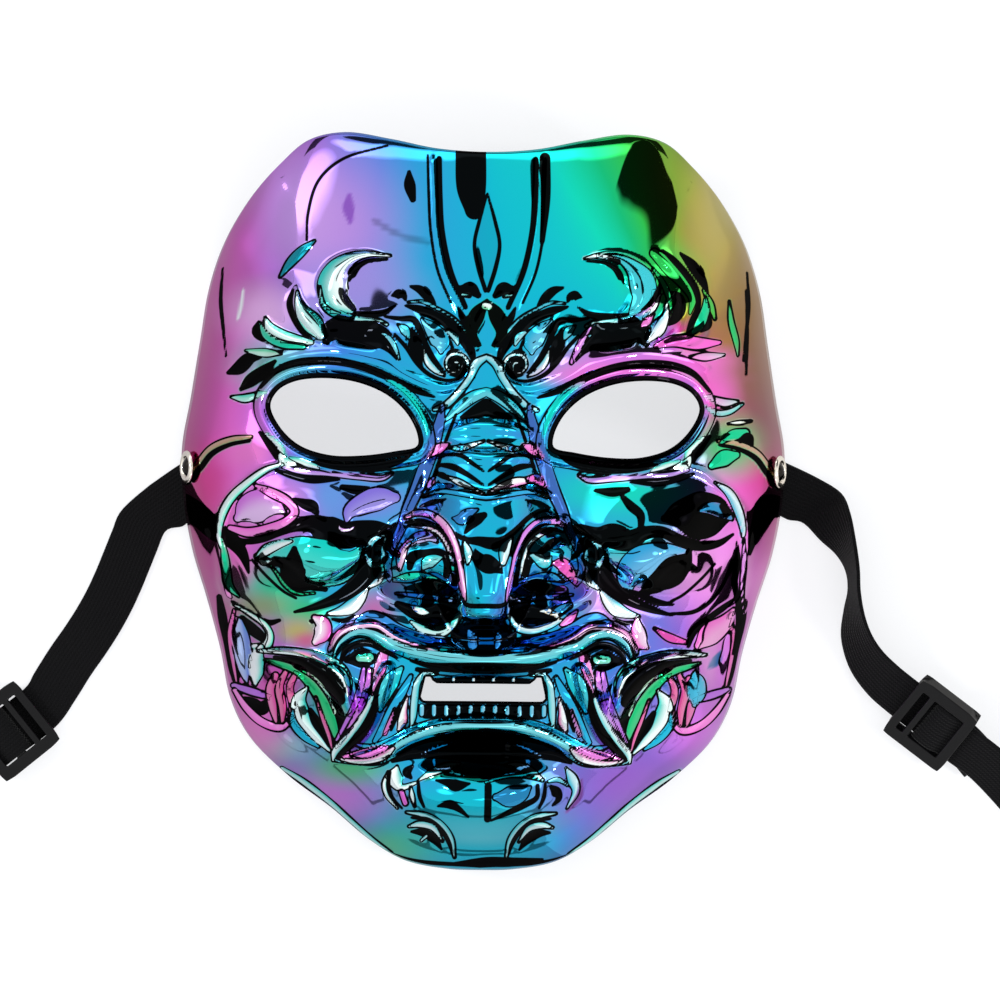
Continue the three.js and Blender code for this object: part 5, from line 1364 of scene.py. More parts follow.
class MaskShell:
    """The moulded face: carved outer skin, plain inner skin, rolled rim and hole lips."""

    outer_cells: tuple[int, int] = (280, 304)
    inner_cells: tuple[int, int] = (80, 92)
    # Even shares of the grid against its shares across and along, which spread out at the ends
    spread_across = ((0, 0.05, 0.95, 1), (0, 0.075, 0.925, 1))
    spread_along = ((0, 0.88, 1), (0, 0.82, 1))
    # Lip of a hole: how far from the outline each ring lies, and its height above the form
    lip: Sequence[Row] = (
        (1.15, 0.5), (0.75, 0.72), (0.35, 0.5), (0.08, 0.0), (0, -0.8), (0.05, -1.7),
    )
    eye_offset, slot_offset, inner_offset = 1.6, 1.2, 0.9
    outer_cell, inner_cell = 0.7, 2.3
    rim_rings = (0.16, 0.84)
    # Away from the rim the inner side lies this share of a wall below the lowest form around
    deep = 0.75
    around = 3.0
    deep_fade = (0.72, 0.9)
    rim_level = (0.35, 0.8)
    slope_step = 0.4
    shrink = 0.999

    def __init__(self, form: FaceForm) -> None:
        """Places the holes and the carving on the form.

        Args:
            form: the broad form.
        """
        self.form = form
        self.eyes = [Contour(EYE, side, True) for side in (RIGHT, LEFT)]
        self.slot = Contour(SLOT, RIGHT, False)
        self.relief = FaceRelief(form, STROKES, self.eyes)

    def _skin(self, cells: tuple[int, int]) -> tuple[Skin, Array]:
        """Front-view grid and the numbers of its border points, in order.

        Args:
            cells: cells across and along.

        Returns:
            The skin and the numbers.
        """
        across, along = cells
        u = np.interp(np.linspace(0, 1, across + 1), *self.spread_across)
        v = np.interp(np.linspace(0, 1, along + 1), *self.spread_along)
        points = self.form.outline.grid(u, v).reshape(-1, 2)
        number = np.arange(len(points)).reshape(along + 1, across + 1)
        border = np.concatenate([
            number[0, :-1], number[:-1, -1], number[-1, :0:-1], number[:0:-1, 0],
        ])
        return Skin(points, grid_faces(along + 1, across + 1)), border

    def _slopes(self, x: Array, y: Array) -> Array:
        """Outward unit normals of the broad form, read just inside its edge.

        Args:
            x: places across.
            y: places along.

        Returns:
            One normal for each place.
        """
        step, height = self.slope_step, self.form.height
        px, py = x * self.shrink, y * self.shrink
        slope_x = (height(px + step, py) - height(px - step, py)) / (2 * step)
        slope_y = (height(px, py + step) - height(px, py - step)) / (2 * step)
        normal = np.stack([-slope_x, -slope_y, np.ones_like(x)], 1)
        return normal / np.linalg.norm(normal, axis=1, keepdims=True)

    def _inner(self, points: Array) -> Array:
        """Inner surface: one wall below the form, under the lowest of its neighbourhood.

        Args:
            points: front-view points.

        Returns:
            The points of the surface.
        """
        x, y = points.T
        normal = self._slopes(x, y)
        even = np.column_stack([x, y, self.form.height(x, y)]) - WALL * normal
        turns = np.linspace(0, 2 * math.pi, 8, endpoint=False)
        around = [
            self.form.height(x + self.around * math.cos(a), y + self.around * math.sin(a))
            for a in turns
        ]
        lowest = np.minimum(np.min(around, axis=0), self.form.height(x, y))
        deep = np.column_stack([x, y, lowest - self.deep * WALL])
        share = smooth(*self.deep_fade, self.form.reach(x, y))[:, None]
        return deep * (1 - share) + even * share

    def _rim(self, border: Array) -> Array:
        """Inner side of the rim: one wall in from the outer one, and never below the floor.

        Args:
            border: the outer side's points.

        Returns:
            The inner side's points.
        """
        x, y = border[:, 0], border[:, 1]
        normal = self._slopes(x, y)
        normal[:, 2] *= smooth(*self.rim_level, normal[:, 2])
        normal /= np.linalg.norm(normal, axis=1, keepdims=True)
        inner = np.column_stack([x, y, self.form.height(x, y)]) - WALL * normal
        inner[:, 2] = np.maximum(inner[:, 2], 0)
        return inner

    def build(self) -> bpy.types.Object:
        """Makes the watertight shell.

        Returns:
            The object mask_shell.
        """
        outer, outer_border = self._skin(self.outer_cells)
        inner, inner_border = self._skin(self.inner_cells)
        offsets = [(eye, self.eye_offset) for eye in self.eyes] + [(self.slot, self.slot_offset)]
        cuts = [
            (hole, outer.cut(hole, offset, self.outer_cell),
             inner.cut(hole, self.inner_offset, self.inner_cell))
            for hole, offset in offsets
        ]
        outside = np.column_stack([outer.points, self.relief.height(*outer.points.T)])
        inside = self._inner(inner.points)
        edge = inner.points[inner_border]
        inside[inner_border] = self._rim(np.column_stack([edge, self.form.height(*edge.T)]))
        stack = RingStack([outside, inside], [outer.faces, inner.faces + len(outside)])
        start = outside[outer_border]
        end = self._rim(start)
        last = outer_border
        for share in self.rim_rings:
            last = stack.add(start + (end - start) * share, last)
        stack.faces.append(zipped(
            last, np.arctan2(*outer.points[outer_border].T),
            inner_border + len(outside), np.arctan2(*edge.T),
        ))
        for hole, outer_loop, inner_loop in cuts:
            edge = outer.points[outer_loop]
            gap = hole.distance(*edge.T)
            way = hole.slope(edge, gap)
            last = outer_loop
            for offset, lift in self.lip:
                spot = edge - way * (gap - offset)[:, None]
                last = stack.add(np.column_stack([spot, self.form.height(*spot.T) + lift]), last)
            stack.faces.append(zipped(
                last, np.maximum.accumulate(hole.place(*edge.T)), inner_loop + len(outside),
                np.maximum.accumulate(hole.place(*inner.points[inner_loop].T)),
            ))
        return mesh_object("mask_face", np.vstack(stack.blocks), np.vstack(stack.faces))


# Strap, sliders and rivets: the same sizes as the solids', in millimetres
BAND_WIDTH = 15.0
BAND_THICK = 1.2
GAP = 0.3
WALL_GAP = 1.1
FLOOR = 0.05
RIVET_Y = 9.4
RIVET_Z = 12.5
RIVET_TILT = math.radians(20)
FOLD_RADIUS = 5.8
FOLD_BOW = 0.2
WALL_CURVE = 0.05
WALL_CURVE_START = 2.0
SLIDER_LENGTH = 21.5
SLIDER_WIDTH = 23.5
SLIDER_SLOT = 15.8
SLIDER_HEIGHT = 4.5
TAIL_LENGTH = 9.0
TAIL_SWAY = 2.0
FOLD_BLEND = 14.0
# Stations of the fold, as shares of the way from the rivet to where the route starts
FOLD_SHARES = (
    -0.23, -0.17, -0.12, -0.06, 0, 0.07, 0.14, 0.21, 0.28, 0.36, 0.44, 0.52, 0.6, 0.68, 0.76,
)
# The band's routes along the surface: x, y, roll in degrees and lift of the lower edge
ROUTE_LEFT = (
    (-103.4, -7.2, 0, 0), (-106, -13.2, 0, 0), (-108.4, -19.3, 0, 0), (-110.8, -25.3, 0, 0),
    (-113.6, -31.5, 0, 0), (-116.9, -37.6, 0, 0), (-120.8, -43.8, 0, 0), (-125.2, -50.2, 0, 0),
    (-130, -58, 0, 0),
)
ROUTE_RIGHT = (
    (103.4, -1.3, 12, 0), (107.4, -6.9, 38, 0), (110.8, -13.6, 66, 0), (112.8, -20.2, 78, 0),
    (113.3, -26.4, 80, 0), (113.3, -33, 70, 0), (114, -40, 56, 0), (117, -47.3, 44, 0.8),
    (122, -53.4, 35, 1.9),
)
ROUTE_BACK = (
    (-164, -89, 0, 0), (-171.5, -99, 0, 0), (-176, -112, 0, 0), (-177, -127, 0, 0),
    (-173.5, -143, 0, 0), (-165, -157, 0, 0), (-151, -168, 0, 0), (-130, -174, 0, 0),
    (-105, -176.5, 0, 0), (-70, -177.5, 0, 0), (-35, -178, 0, 0), (0, -178, 0, 0),
    (35, -178, 0, 0), (70, -177.5, 0, 0), (105, -177, 0, 0), (135, -175, 0, 0),
    (158, -168.5, 0, 0), (174, -156, 0, 0), (182, -139, 0, 0), (183, -121, 0, 0),
    (178.5, -106, -6, 0), (170, -95, -16, 0.6),
)
# Points of a section across the band, as shares of its width, and those of the finished band
ACROSS = np.linspace(-0.5, 0.5, 5)
HALF_SECTION = np.array([0.35, 0.6, 0.8, 0.9, 0.95, 0.985, 1])


@dataclass(frozen=True)
class SliderPlace:
    """Where a slider lies: middle of its mask-side edge, heading off the mask, roll."""

    x: float
    y: float
    heading: tuple[float, float]
    roll: float

    def matrix(self) -> Array:
        """Rows of a 4 by 4 matrix from the slider's own frame to the row frame, in mm.

        Returns:
            The matrix.
        """
        along = np.array([*self.heading, 0.0])
        along /= np.linalg.norm(along)
        level = np.cross((0, 0, 1), along)
        angle = math.radians(self.roll)
        across = level * math.cos(angle) + np.cross(along, level) * math.sin(angle)
        up = np.cross(along, across)
        lift = FLOOR + 0.5 * SLIDER_WIDTH * math.sin(angle)
        matrix = np.eye(4)
        matrix[:3, 0], matrix[:3, 1], matrix[:3, 2] = along, across, up
        matrix[:3, 3] = self.x, self.y, lift
        return matrix

    def place(self, along: float, height: float, sway: float = 0) -> Array:
        """A point of the slider's own frame, in the row frame."""
        return (self.matrix() @ (along, sway, height, 1))[:3]


SLIDER_LEFT = SliderPlace(-135.1, -64.8, (-0.775, -0.632), 0)
SLIDER_RIGHT = SliderPlace(129.5, -59.2, (0.8, -0.6), 32)


def free_sections(centres: Array, rolls: Array) -> Array:
    """Middle line of each section of a band that lies free.

    Args:
        centres: the sections' centres.
        rolls: how far each one is turned about its run, in radians.

    Returns:
        Sections by points across by 3.
    """
    before = np.vstack([centres[:1], centres[:-1]])
    after = np.vstack([centres[1:], centres[-1:]])
    run = (after - before) / np.linalg.norm(after - before, axis=1, keepdims=True)
    level = np.cross(np.array([[0, 0, 1.0]]), run)
    level /= np.linalg.norm(level, axis=1, keepdims=True)
    turn = rolls[:, None]
    across = level * np.cos(turn) + np.cross(run, level) * np.sin(turn)
    return centres[:, None] + across[:, None] * (ACROSS * BAND_WIDTH)[None, :, None]


def route_stations(route: Sequence[Row]) -> tuple[Array, Array]:
    """Lays out a route whose band stands on its lower edge.

    Args:
        route: rows of x, y, roll and lift.

    Returns:
        Centres of the stations, and their rolls in radians.
    """
    x, y, roll, lift = np.array(route, float).T
    angle = np.radians(roll)
    z = FLOOR + lift + 0.5 * (BAND_WIDTH * np.abs(np.sin(angle)) + BAND_THICK * np.cos(angle))
    return np.column_stack([x, y, z]), angle


@dataclass
class Fold:
    """The band's run down the mask's inner wall and out along the surface it lies on."""

    outline: Outline
    form: FaceForm
    start: Array = field(init=False)
    wall_run: float = field(init=False)
    floor_x: float = field(init=False)

    # Angle through which the band bends, and the height of its middle where it lies
    turn = math.pi / 2 - RIVET_TILT
    low = FLOOR + BAND_THICK / 2
    # Place across at which the search for the rivet's seat ends, and the points that it tries
    search_end = 70
    search_points = 4000

    def __post_init__(self) -> None:
        """Works out where the band starts, bends and comes down flat."""
        depth = WALL + WALL_GAP + BAND_THICK / 2
        seat_x, seat_z = self.seat()[[0, 2]]
        self.start = np.array([
            seat_x - depth * math.cos(RIVET_TILT), seat_z - depth * math.sin(RIVET_TILT),
        ])
        bend_top = self.low + FOLD_RADIUS * (1 - math.cos(self.turn))
        self.wall_run = (self.start[1] - bend_top) / math.cos(RIVET_TILT)
        bend_x = self.start[0] + self.wall_run * math.sin(RIVET_TILT)
        self.floor_x = bend_x + FOLD_RADIUS * math.sin(self.turn)

    def seat(self) -> Array:
        """The rivet's point on the outer wall, on the right.

        Returns:
            The point.
        """
        rim = self.outline.radius(np.array([math.pi / 2]))[0]
        x = np.linspace(rim, self.search_end, self.search_points)
        high = self.form.height(x, np.full_like(x, RIVET_Y)) >= RIVET_Z
        return np.array([x[high.argmax()], RIVET_Y, RIVET_Z])

    @property
    def unrolled(self) -> float:
        """Unrolled place of the rivet."""
        return self.floor_x - FOLD_RADIUS * self.turn - self.wall_run

    def profile(self, g: Array) -> tuple[Array, Array]:
        """Place across and height of the band's middle at unrolled places.

        Args:
            g: unrolled places.

        Returns:
            The places across, and the heights.
        """
        along = g - self.unrolled
        inward = WALL_CURVE * np.minimum(0, along + WALL_CURVE_START) ** 2
        left = self.turn - (along - self.wall_run) / FOLD_RADIUS
        on_wall = along < self.wall_run
        bending = ~on_wall & (left > 0)
        x = np.where(on_wall, self.start[0] + along * math.sin(RIVET_TILT) - inward, g)
        z = np.where(on_wall, self.start[1] - along * math.cos(RIVET_TILT), self.low)
        x = np.where(bending, self.floor_x - FOLD_RADIUS * np.sin(left), x)
        z = np.where(bending, self.low + FOLD_RADIUS * (1 - np.cos(left)), z)
        return x, z

    def sections(self, side: int, exit_x: float, exit_y: float) -> Array:
        """Sections of the band from its end on the wall to where it lies flat.

        Args:
            side: -1 for the left, 1 for the right.
            exit_x: place across of the first station of the route.
            exit_y: place along of it.

        Returns:
            Sections by points across by 3.
        """
        share = np.array(FOLD_SHARES)
        g = self.unrolled + (abs(exit_x) - self.unrolled) * share
        y = RIVET_Y - (RIVET_Y - exit_y) * ((1 - FOLD_BOW) * share + FOLD_BOW * share**2)
        head = np.column_stack([np.gradient(g), np.gradient(y)])
        head /= np.linalg.norm(head, axis=1, keepdims=True)
        c = ACROSS[None] * BAND_WIDTH * side
        at_g = g[:, None] - c * head[:, 1:]
        at_y = y[:, None] + c * head[:, :1]
        x, z = self.profile(at_g)
        widest = self.outline.half_width(np.array([0.0]))[0]
        follow = self.outline.half_width(at_y) - self.outline.half_width(np.array([RIVET_Y]))[0]
        x = x + follow * (1 - smooth(widest, widest + FOLD_BLEND, x))
        return np.stack([side * x, at_y, z], 2)


class Band:
    """A flat woven elastic band made from the middle lines of its sections."""

    # Distance between sections and between points of the stated path, in millimetres
    step = 1.5
    path_step = 12
    # Share of the half width over which the edge is rounded
    rounded = 0.1

    def __init__(self, name: str, sections: Array) -> None:
        """Keeps the name and the sections."""
        self.name = name
        self.sections = sections

    def surface(self) -> tuple[Array, Array]:
        """Middle surface, sections by points across by 3, and the length at each section.

        Returns:
            The surface and the lengths.
        """
        flat = self.sections.reshape(len(self.sections), -1)
        middle = self.sections[:, len(ACROSS) // 2]
        reach = np.concatenate([[0], np.cumsum(np.linalg.norm(np.diff(middle, axis=0), axis=1))])
        count = int(reach[-1] / self.step)
        knots = np.linspace(0, 1, len(flat))
        places = np.interp(np.linspace(0, reach[-1], count), reach, knots)
        dense = SmoothCurve(flat).at(places).reshape(count, len(ACROSS), 3)
        middle = dense[:, len(ACROSS) // 2]
        length = np.concatenate([[0], np.cumsum(np.linalg.norm(np.diff(middle, axis=0), axis=1))])
        return dense, length

    def build(self) -> bpy.types.Object:
        """Makes the closed band.

        Both faces are the middle surface moved along its normal by half the thickness, which
        runs out in a round towards each edge.

        Returns:
            The object, which holds its weave as an attribute.
        """
        dense, length = self.surface()
        share = np.concatenate([-HALF_SECTION[::-1], [0], HALF_SECTION])
        outward = np.clip((np.abs(share) - 1 + self.rounded) / self.rounded, 0, 1)
        round_off = np.sqrt(np.clip(1 - outward**2, 0, 1))
        place = (share / 2 + 0.5) * (len(ACROSS) - 1)
        i = np.minimum(place.astype(int), len(ACROSS) - 2)
        w = (place - i)[None, :, None]
        middle = dense[:, i] * (1 - w) + dense[:, i + 1] * w
        along = np.gradient(middle, axis=0)
        across = np.gradient(middle, axis=1)
        normal = np.cross(along, across)
        normal /= np.linalg.norm(normal, axis=2, keepdims=True)
        lift = (round_off * BAND_THICK / 2)[None, :, None] * normal
        top, bottom = middle + lift, middle - lift
        ring = np.concatenate([top, bottom[:, -2:0:-1]], axis=1)
        rows, columns = ring.shape[:2]
        number = np.arange(rows * columns).reshape(rows, columns)
        last = len(share) - 1
        upper = np.arange(last + 1)
        lower = np.concatenate([[0], np.arange(columns - 1, last, -1), [last]])
        caps = [np.stack([row[upper[:-1]], row[upper[1:]], row[lower[1:]], row[lower[:-1]]], 1)
                for row in (number[0], number[-1])]
        points = ring.reshape(-1, 3)
        triangles = halved(np.vstack([tube_quads(number), *caps]))
        flat = (
            (triangles[:, 0] == triangles[:, 1]) | (triangles[:, 1] == triangles[:, 2])
            | (triangles[:, 0] == triangles[:, 2])
        )
        band = mesh_object(self.name, points, triangles[~flat])
        u = np.concatenate([share, share[-2:0:-1]]) * BAND_WIDTH / 2
        values = np.stack(np.broadcast_arrays(u[None, :], length[:, None]), 2).reshape(-1, 2)
        weave = band.data.attributes.new("weave", "FLOAT_VECTOR", "POINT")
        weave.data.foreach_set("vector", np.column_stack([values, np.zeros(len(values))]).ravel())
        return band

    def centreline(self) -> tuple[list[list[float]], float]:
        """Middle line and its length, in metres.

        Returns:
            The points of the line, and the length.
        """
        dense, length = self.surface()
        middle = dense[:, len(ACROSS) // 2] * MM
        stride = int(self.path_step / self.step)
        return middle[::stride].tolist() + [middle[-1].tolist()], length[-1] * MM


def short_band(
    name: str, side: int, route: Sequence[Row], slider: SliderPlace, fold: Fold,
) -> Band:
    """The riveted band: down the wall, along its route and through the slider to its tail.

    Args:
        name: name of its object.
        side: -1 for the left, 1 for the right.
        route: rows of x, y, roll and lift.
        slider: where its slider lies.
        fold: its run down the wall.

    Returns:
        The band.
    """
    centres, rolls = route_stations(route)
    low = BAND_THICK / 2
    centres = np.vstack([
        centres, slider.place(-2, low), slider.place(SLIDER_LENGTH, low),
        slider.place(SLIDER_LENGTH + TAIL_LENGTH, low, -TAIL_SWAY * side),
    ])
    rolls = np.concatenate([rolls, np.full(3, math.radians(slider.roll))])
    sections = np.concatenate([
        fold.sections(side, route[0][0], route[0][1]), free_sections(centres, rolls),
    ])
    return Band(name, sections)


def back_band(name: str) -> Band:
    """The band round the back of the head: it lies on both tails and over the middle bars.

    Args:
        name: name of its object.

    Returns:
        The band.
    """
    low = BAND_THICK / 2
    on_tail = BAND_THICK + GAP + low
    over_bar = Slider.breaks_z[2] + GAP + low
    # Places along the slider and heights in it: in under the end, over the bar, onto the tail
    steps = (
        (8.4, on_tail + 0.3), (10.2, over_bar), (14.6, over_bar), (17.4, on_tail),
        (SLIDER_LENGTH + 0.5, on_tail), (SLIDER_LENGTH + TAIL_LENGTH + 1.5, on_tail),
    )
    left = np.array([SLIDER_LEFT.place(a, h) for a, h in steps])
    right = np.array([SLIDER_RIGHT.place(a, h) for a, h in steps])[::-1]
    centres, rolls = route_stations(ROUTE_BACK)
    return Band(name, free_sections(
        np.vstack([left, centres, right]),
        np.concatenate([
            np.full(len(steps), math.radians(SLIDER_LEFT.roll)), rolls,
            np.full(len(steps), -math.radians(SLIDER_RIGHT.roll)),
        ]),
    ))


class Slider:
    """A strap slider: a frame with two bars, cut from one block."""

    breaks_x = (0, 2.8, 5.2, 7.2, 10.8, 14, 18.1, SLIDER_LENGTH)
    breaks_y = (-SLIDER_WIDTH / 2, -SLIDER_SLOT / 2, SLIDER_SLOT / 2, SLIDER_WIDTH / 2)
    breaks_z = (0, 1.55, 2.7, 3.05, SLIDER_HEIGHT)
    # Cells of the lattice that the bars and the ends fill between the long sides
    bars = ((0, 1, 4), (2, 1, 4), (4, 1, 2), (6, 3, 4))
    # Radius of the frame's corners in the plan, and the other edges' share of it
    corner = 4.2
    edge_share = 0.11
    close = 0.01

    def __init__(self, name: str, place: SliderPlace) -> None:
        """Keeps the name and the place."""
        self.name = name
        self.place = place

    def build(self) -> bpy.types.Object:
        """Makes the frame from the outer faces of the filled cells of a small lattice.

        Returns:
            The object, with a bevel for its rounded edges.
        """
        breaks = (self.breaks_x, self.breaks_y, self.breaks_z)
        filled = np.zeros([len(row) - 1 for row in breaks], bool)
        filled[:, 0], filled[:, 2] = True, True
        for cell, low, high in self.bars:
            filled[cell, 1, low:high] = True
        grid = np.stack(np.meshgrid(*breaks, indexing="ij"), 3)
        shape = grid.shape[:3]
        number = np.arange(np.prod(shape)).reshape(shape)
        padded = np.pad(filled, 1)
        quads = []
        for axis in range(3):
            others = [k for k in range(3) if k != axis]
            for sign in (0, 1):
                beside = np.roll(padded, -1 if sign else 1, axis)[1:-1, 1:-1, 1:-1]
                cells = np.argwhere(filled & ~beside)
                cells[:, axis] += sign
                corners = []
                for a, b in ((0, 0), (1, 0), (1, 1), (0, 1)):
                    at = cells.copy()
                    at[:, others[0]] += a
                    at[:, others[1]] += b
                    corners.append(number[tuple(at.T)])
                quads.append(np.stack(corners, 1))
        points = grid.reshape(-1, 3)
        slider = mesh_object(self.name, points, np.vstack(quads), smooth_faces=False)
        work = bmesh.new()
        work.from_mesh(slider.data)
        bmesh.ops.dissolve_limit(work, angle_limit=0.01, verts=work.verts, edges=work.edges)
        weight = work.edges.layers.float.new("bevel_weight_edge")
        for edge in work.edges:
            a, b = (v.co / MM for v in edge.verts)
            upright = abs(a.z - b.z) > 1 and abs(abs(a.y) - SLIDER_WIDTH / 2) < self.close
            at_end = min(abs(a.x), abs(a.x - SLIDER_LENGTH)) < self.close
            edge[weight] = 1.0 if upright and at_end else self.edge_share
        work.to_mesh(slider.data)
        work.free()
        matrix = self.place.matrix()
        matrix[:3, 3] *= MM
        slider.data.transform(Matrix(matrix.tolist()))
        bevel = slider.modifiers.new("rounded", "BEVEL")
        bevel.limit_method = "WEIGHT"
        bevel.width = self.corner * MM
        bevel.segments = 6
        bevel.use_clamp_overlap = False
        bevel.harden_normals = True
        return slider


class Rivet:
    """A nickel eyelet rivet: rolled ring with a dark domed middle, shank and inner flange."""

    segments = 56
    # Flange: radius and height over its outer side; foot of the ring: radius and height
    flange = ((3.2, -0.8), (3.8, -0.6), (4, -0.4), (4, -0.15), (3.8, 0), (2, 0))
    foot = ((2, 0.55), (4.6, 0.55), (5, 0.62))
    # Rolled ring: radius of its middle, half width, height of its middle, rise, end angle
    ring = (4.0, 1.0, 0.75, 0.85, 0.02 * math.pi)
    # Domed middle: radius, height of its edge, rise, and height of the apex
    dome = (2.9, 0.9, 1.3, 2.2)
    dark_radius = 2.95

    def __init__(self, name: str, side: int, seat: Array) -> None:
        """Places the rivet.

        Args:
            name: name of its object.
            side: -1 for the left, 1 for the right.
            seat: its point on the right half's wall.
        """
        self.name = name
        self.side = side
        self.seat = seat * (side, 1, 1)

    def build(self) -> bpy.types.Object:
        """Turns the profile round the axis that stands out of the wall.

        Returns:
            The object, with the second material on the middle.
        """
        inside = -WALL - WALL_GAP - BAND_THICK - 2 * GAP
        radius, half, level, rise, end = self.ring
        turn = np.linspace(end, math.pi - end, 13)
        ring = np.column_stack([
            radius - half * np.cos(turn[::-1]), GAP + level + rise * np.sin(turn),
        ])
        radius, level, rise, apex = self.dome
        share = np.linspace(0, 1, 9)[:-1]
        dome = np.column_stack([
            radius * (1 - share), GAP + level + rise * (1 - (1 - share) ** 2),
        ])
        profile = np.vstack([
            np.add(self.flange, (0, inside)), np.add(self.foot, (0, GAP)), ring, dome,
        ])
        angle = np.linspace(0, 2 * math.pi, self.segments, endpoint=False)
        out = np.array([self.side * math.cos(RIVET_TILT), 0, math.sin(RIVET_TILT)])
        one = np.array([0, 1.0, 0])
        two = np.cross(out, one)
        around = np.cos(angle)[:, None] * one + np.sin(angle)[:, None] * two
        points = (
            self.seat + profile[:, None, 1:] * out + profile[:, None, :1] * around[None]
        ).reshape(-1, 3)
        rows, columns = len(profile), self.segments
        number = np.arange(rows * columns).reshape(rows, columns)
        after = np.roll(number, -1, 1)
        low = self.seat + profile[0, 1] * out
        high = self.seat + (GAP + apex) * out
        points = np.vstack([points, low, high])
        first = np.stack([number[0], after[0], np.full(columns, len(points) - 2)], 1)
        last = np.stack([number[-1], after[-1], np.full(columns, len(points) - 1)], 1)
        faces = np.vstack([halved(tube_quads(number)), first, last])
        rivet = mesh_object(self.name, points, faces)
        centre = np.array([p.center[:] for p in rivet.data.polygons]) / MM - self.seat
        high = centre @ out
        away = np.linalg.norm(centre - high[:, None] * out, axis=1)
        dark = (high > 0) & (away < self.dark_radius)
        rivet.data.polygons.foreach_set("material_index", dark.astype(np.int32))
        return rivet


def linear_colour(code: str) -> tuple[float, float, float, float]:
    """Linear colour of an sRGB code such as 'f0a0c0'.

    Args:
        code: six hexadecimal digits.

    Returns:
        Red, green, blue and 1.
    """
    parts = np.array([int(code[k:k + 2], 16) / 255 for k in (0, 2, 4)])
    parts = np.where(parts <= 0.04045, parts / 12.92, ((parts + 0.055) / 1.055) ** 2.4)
    return (*parts.tolist(), 1.0)


class NodeTree:
    """Adds nodes with their settings and links to a tree."""

    def __init__(self, tree: bpy.types.NodeTree) -> None:
        """Empties the tree."""
        self.tree = tree
        tree.nodes.clear()

    def add(self, kind: str, inputs: dict | None = None, **settings: object) -> bpy.types.Node:
        """Adds a node.

        Args:
            kind: the node's type.
            inputs: values or output sockets by input name or number.
            settings: properties of the node.

        Returns:
            The node.
        """
        node = self.tree.nodes.new(kind)
        for key, value in settings.items():
            setattr(node, key, value)
        for key, value in (inputs or {}).items():
            if isinstance(value, bpy.types.NodeSocket):
                self.tree.links.new(value, node.inputs[key])
            else:
                node.inputs[key].default_value = value
        return node

    def math(self, operation: str, *values: object) -> bpy.types.NodeSocket:
        """Adds a math node and returns its output."""
        return self.add("ShaderNodeMath", dict(enumerate(values)), operation=operation).outputs[0]

    def step(
        self, value: object, low: float, high: float, first: float = 0.0, last: float = 1.0,
    ) -> bpy.types.NodeSocket:
        """Adds a ramp from the first value at low to the last one at high."""
        inputs = dict(enumerate((value, low, high, first, last)))
        return self.add("ShaderNodeMapRange", inputs).outputs[0]

    def surface(self, inputs: dict) -> None:
        """Ends a material's tree with a shader of these inputs."""
        shader = self.add("ShaderNodeBsdfPrincipled", inputs)
        self.add("ShaderNodeOutputMaterial", {"Surface": shader.outputs[0]})


def new_material(name: str) -> tuple[bpy.types.Material, NodeTree]:
    """An empty node material and its tree.

    Args:
        name: its name.

    Returns:
        The material and the tree.
    """
    made = bpy.data.materials.new(name)
    made.use_nodes = True
    return made, NodeTree(made.node_tree)


@dataclass(frozen=True)
class RainbowChrome:
    """Vacuum-metallised plastic with an iridescent lacquer.

    A near-perfect mirror whose tint runs through the spectrum with the place on the face and the
    way the surface leans, so the eye reads thin coloured metal.

    Attributes:
        name: the real material.
        roughness: a hint of haze on the mirror.
        line_edge: widths of a painted dark line (shade) between which the metal comes back beside it.
        painted_black_edge: the same beside the painted black shade, in millimetres.
        leak: what the painted black shade still mirrors.
        coat: weight and roughness of the clear lacquer on top.
        stops: sRGB colours once round the colour circle.
    """

    name: str = "rainbow_chrome_lacquer"
    roughness: float = 0.045
    line_edge: tuple[float, float] = (0.8, 1.2)
    painted_black_edge: tuple[float, float] = (-0.04, 0.12)
    leak: float = 0.002
    coat: tuple[float, float] = (0.06, 0.03)
    stops: Sequence[str] = (
        "a4606c", "a8783c", "b08e2c", "8a9c34", "5ca03c", "30c04c", "14bc78", "10d8b8",
        "10b4d2", "3c84dc", "7078dc", "9460d0", "cc74e0", "f070d8", "d43c90",
    )

    def tint(self, turn: Array) -> Array:
        """Linear colour of the film at places on the colour circle, in turns.

        Args:
            turn: places on the circle.

        Returns:
            One colour for each place.
        """
        table = np.array([linear_colour(code)[:3] for code in (*self.stops, self.stops[0])])
        place = np.mod(turn, 1) * len(self.stops)
        first = np.minimum(place.astype(int), len(self.stops) - 1)
        share = (place - first)[:, None]
        return table[first] * (1 - share) + table[first + 1] * share

    def material(self) -> bpy.types.Material:
        """Makes the material.

        The attribute "film" holds the tint with its painted shade and highlights; "edges" holds the
        distance from the nearest painted dark line in line widths and the distance from the painted
        black in millimetres; both stand for shade and dark reflections.

        Returns:
            The material.
        """
        made, tree = new_material(self.name)
        film = tree.add("ShaderNodeAttribute", attribute_name="film")
        edges = tree.add("ShaderNodeAttribute", attribute_name="edges")
        marks = tree.add("ShaderNodeSeparateXYZ", {0: edges.outputs["Vector"]})
        # Painted shade: dark lines and painted black darken the tint and the mirror's own colour
        line = tree.step(tree.math("ABSOLUTE", marks.outputs[0]), *self.line_edge)
        painted_black = tree.step(marks.outputs[1], *self.painted_black_edge)
        both = tree.math("MINIMUM", line, painted_black)
        metal = tree.math("MULTIPLY_ADD", both, 1 - self.leak, self.leak)
        shade = tree.add("ShaderNodeVectorMath", {
            0: film.outputs["Vector"], "Scale": metal,
        }, operation="SCALE")
        tree.surface({
            "Base Color": shade.outputs[0], "Metallic": 1.0, "Roughness": self.roughness,
            "Specular Tint": metal, "Coat Weight": self.coat[0], "Coat Roughness": self.coat[1],
        })
        return made


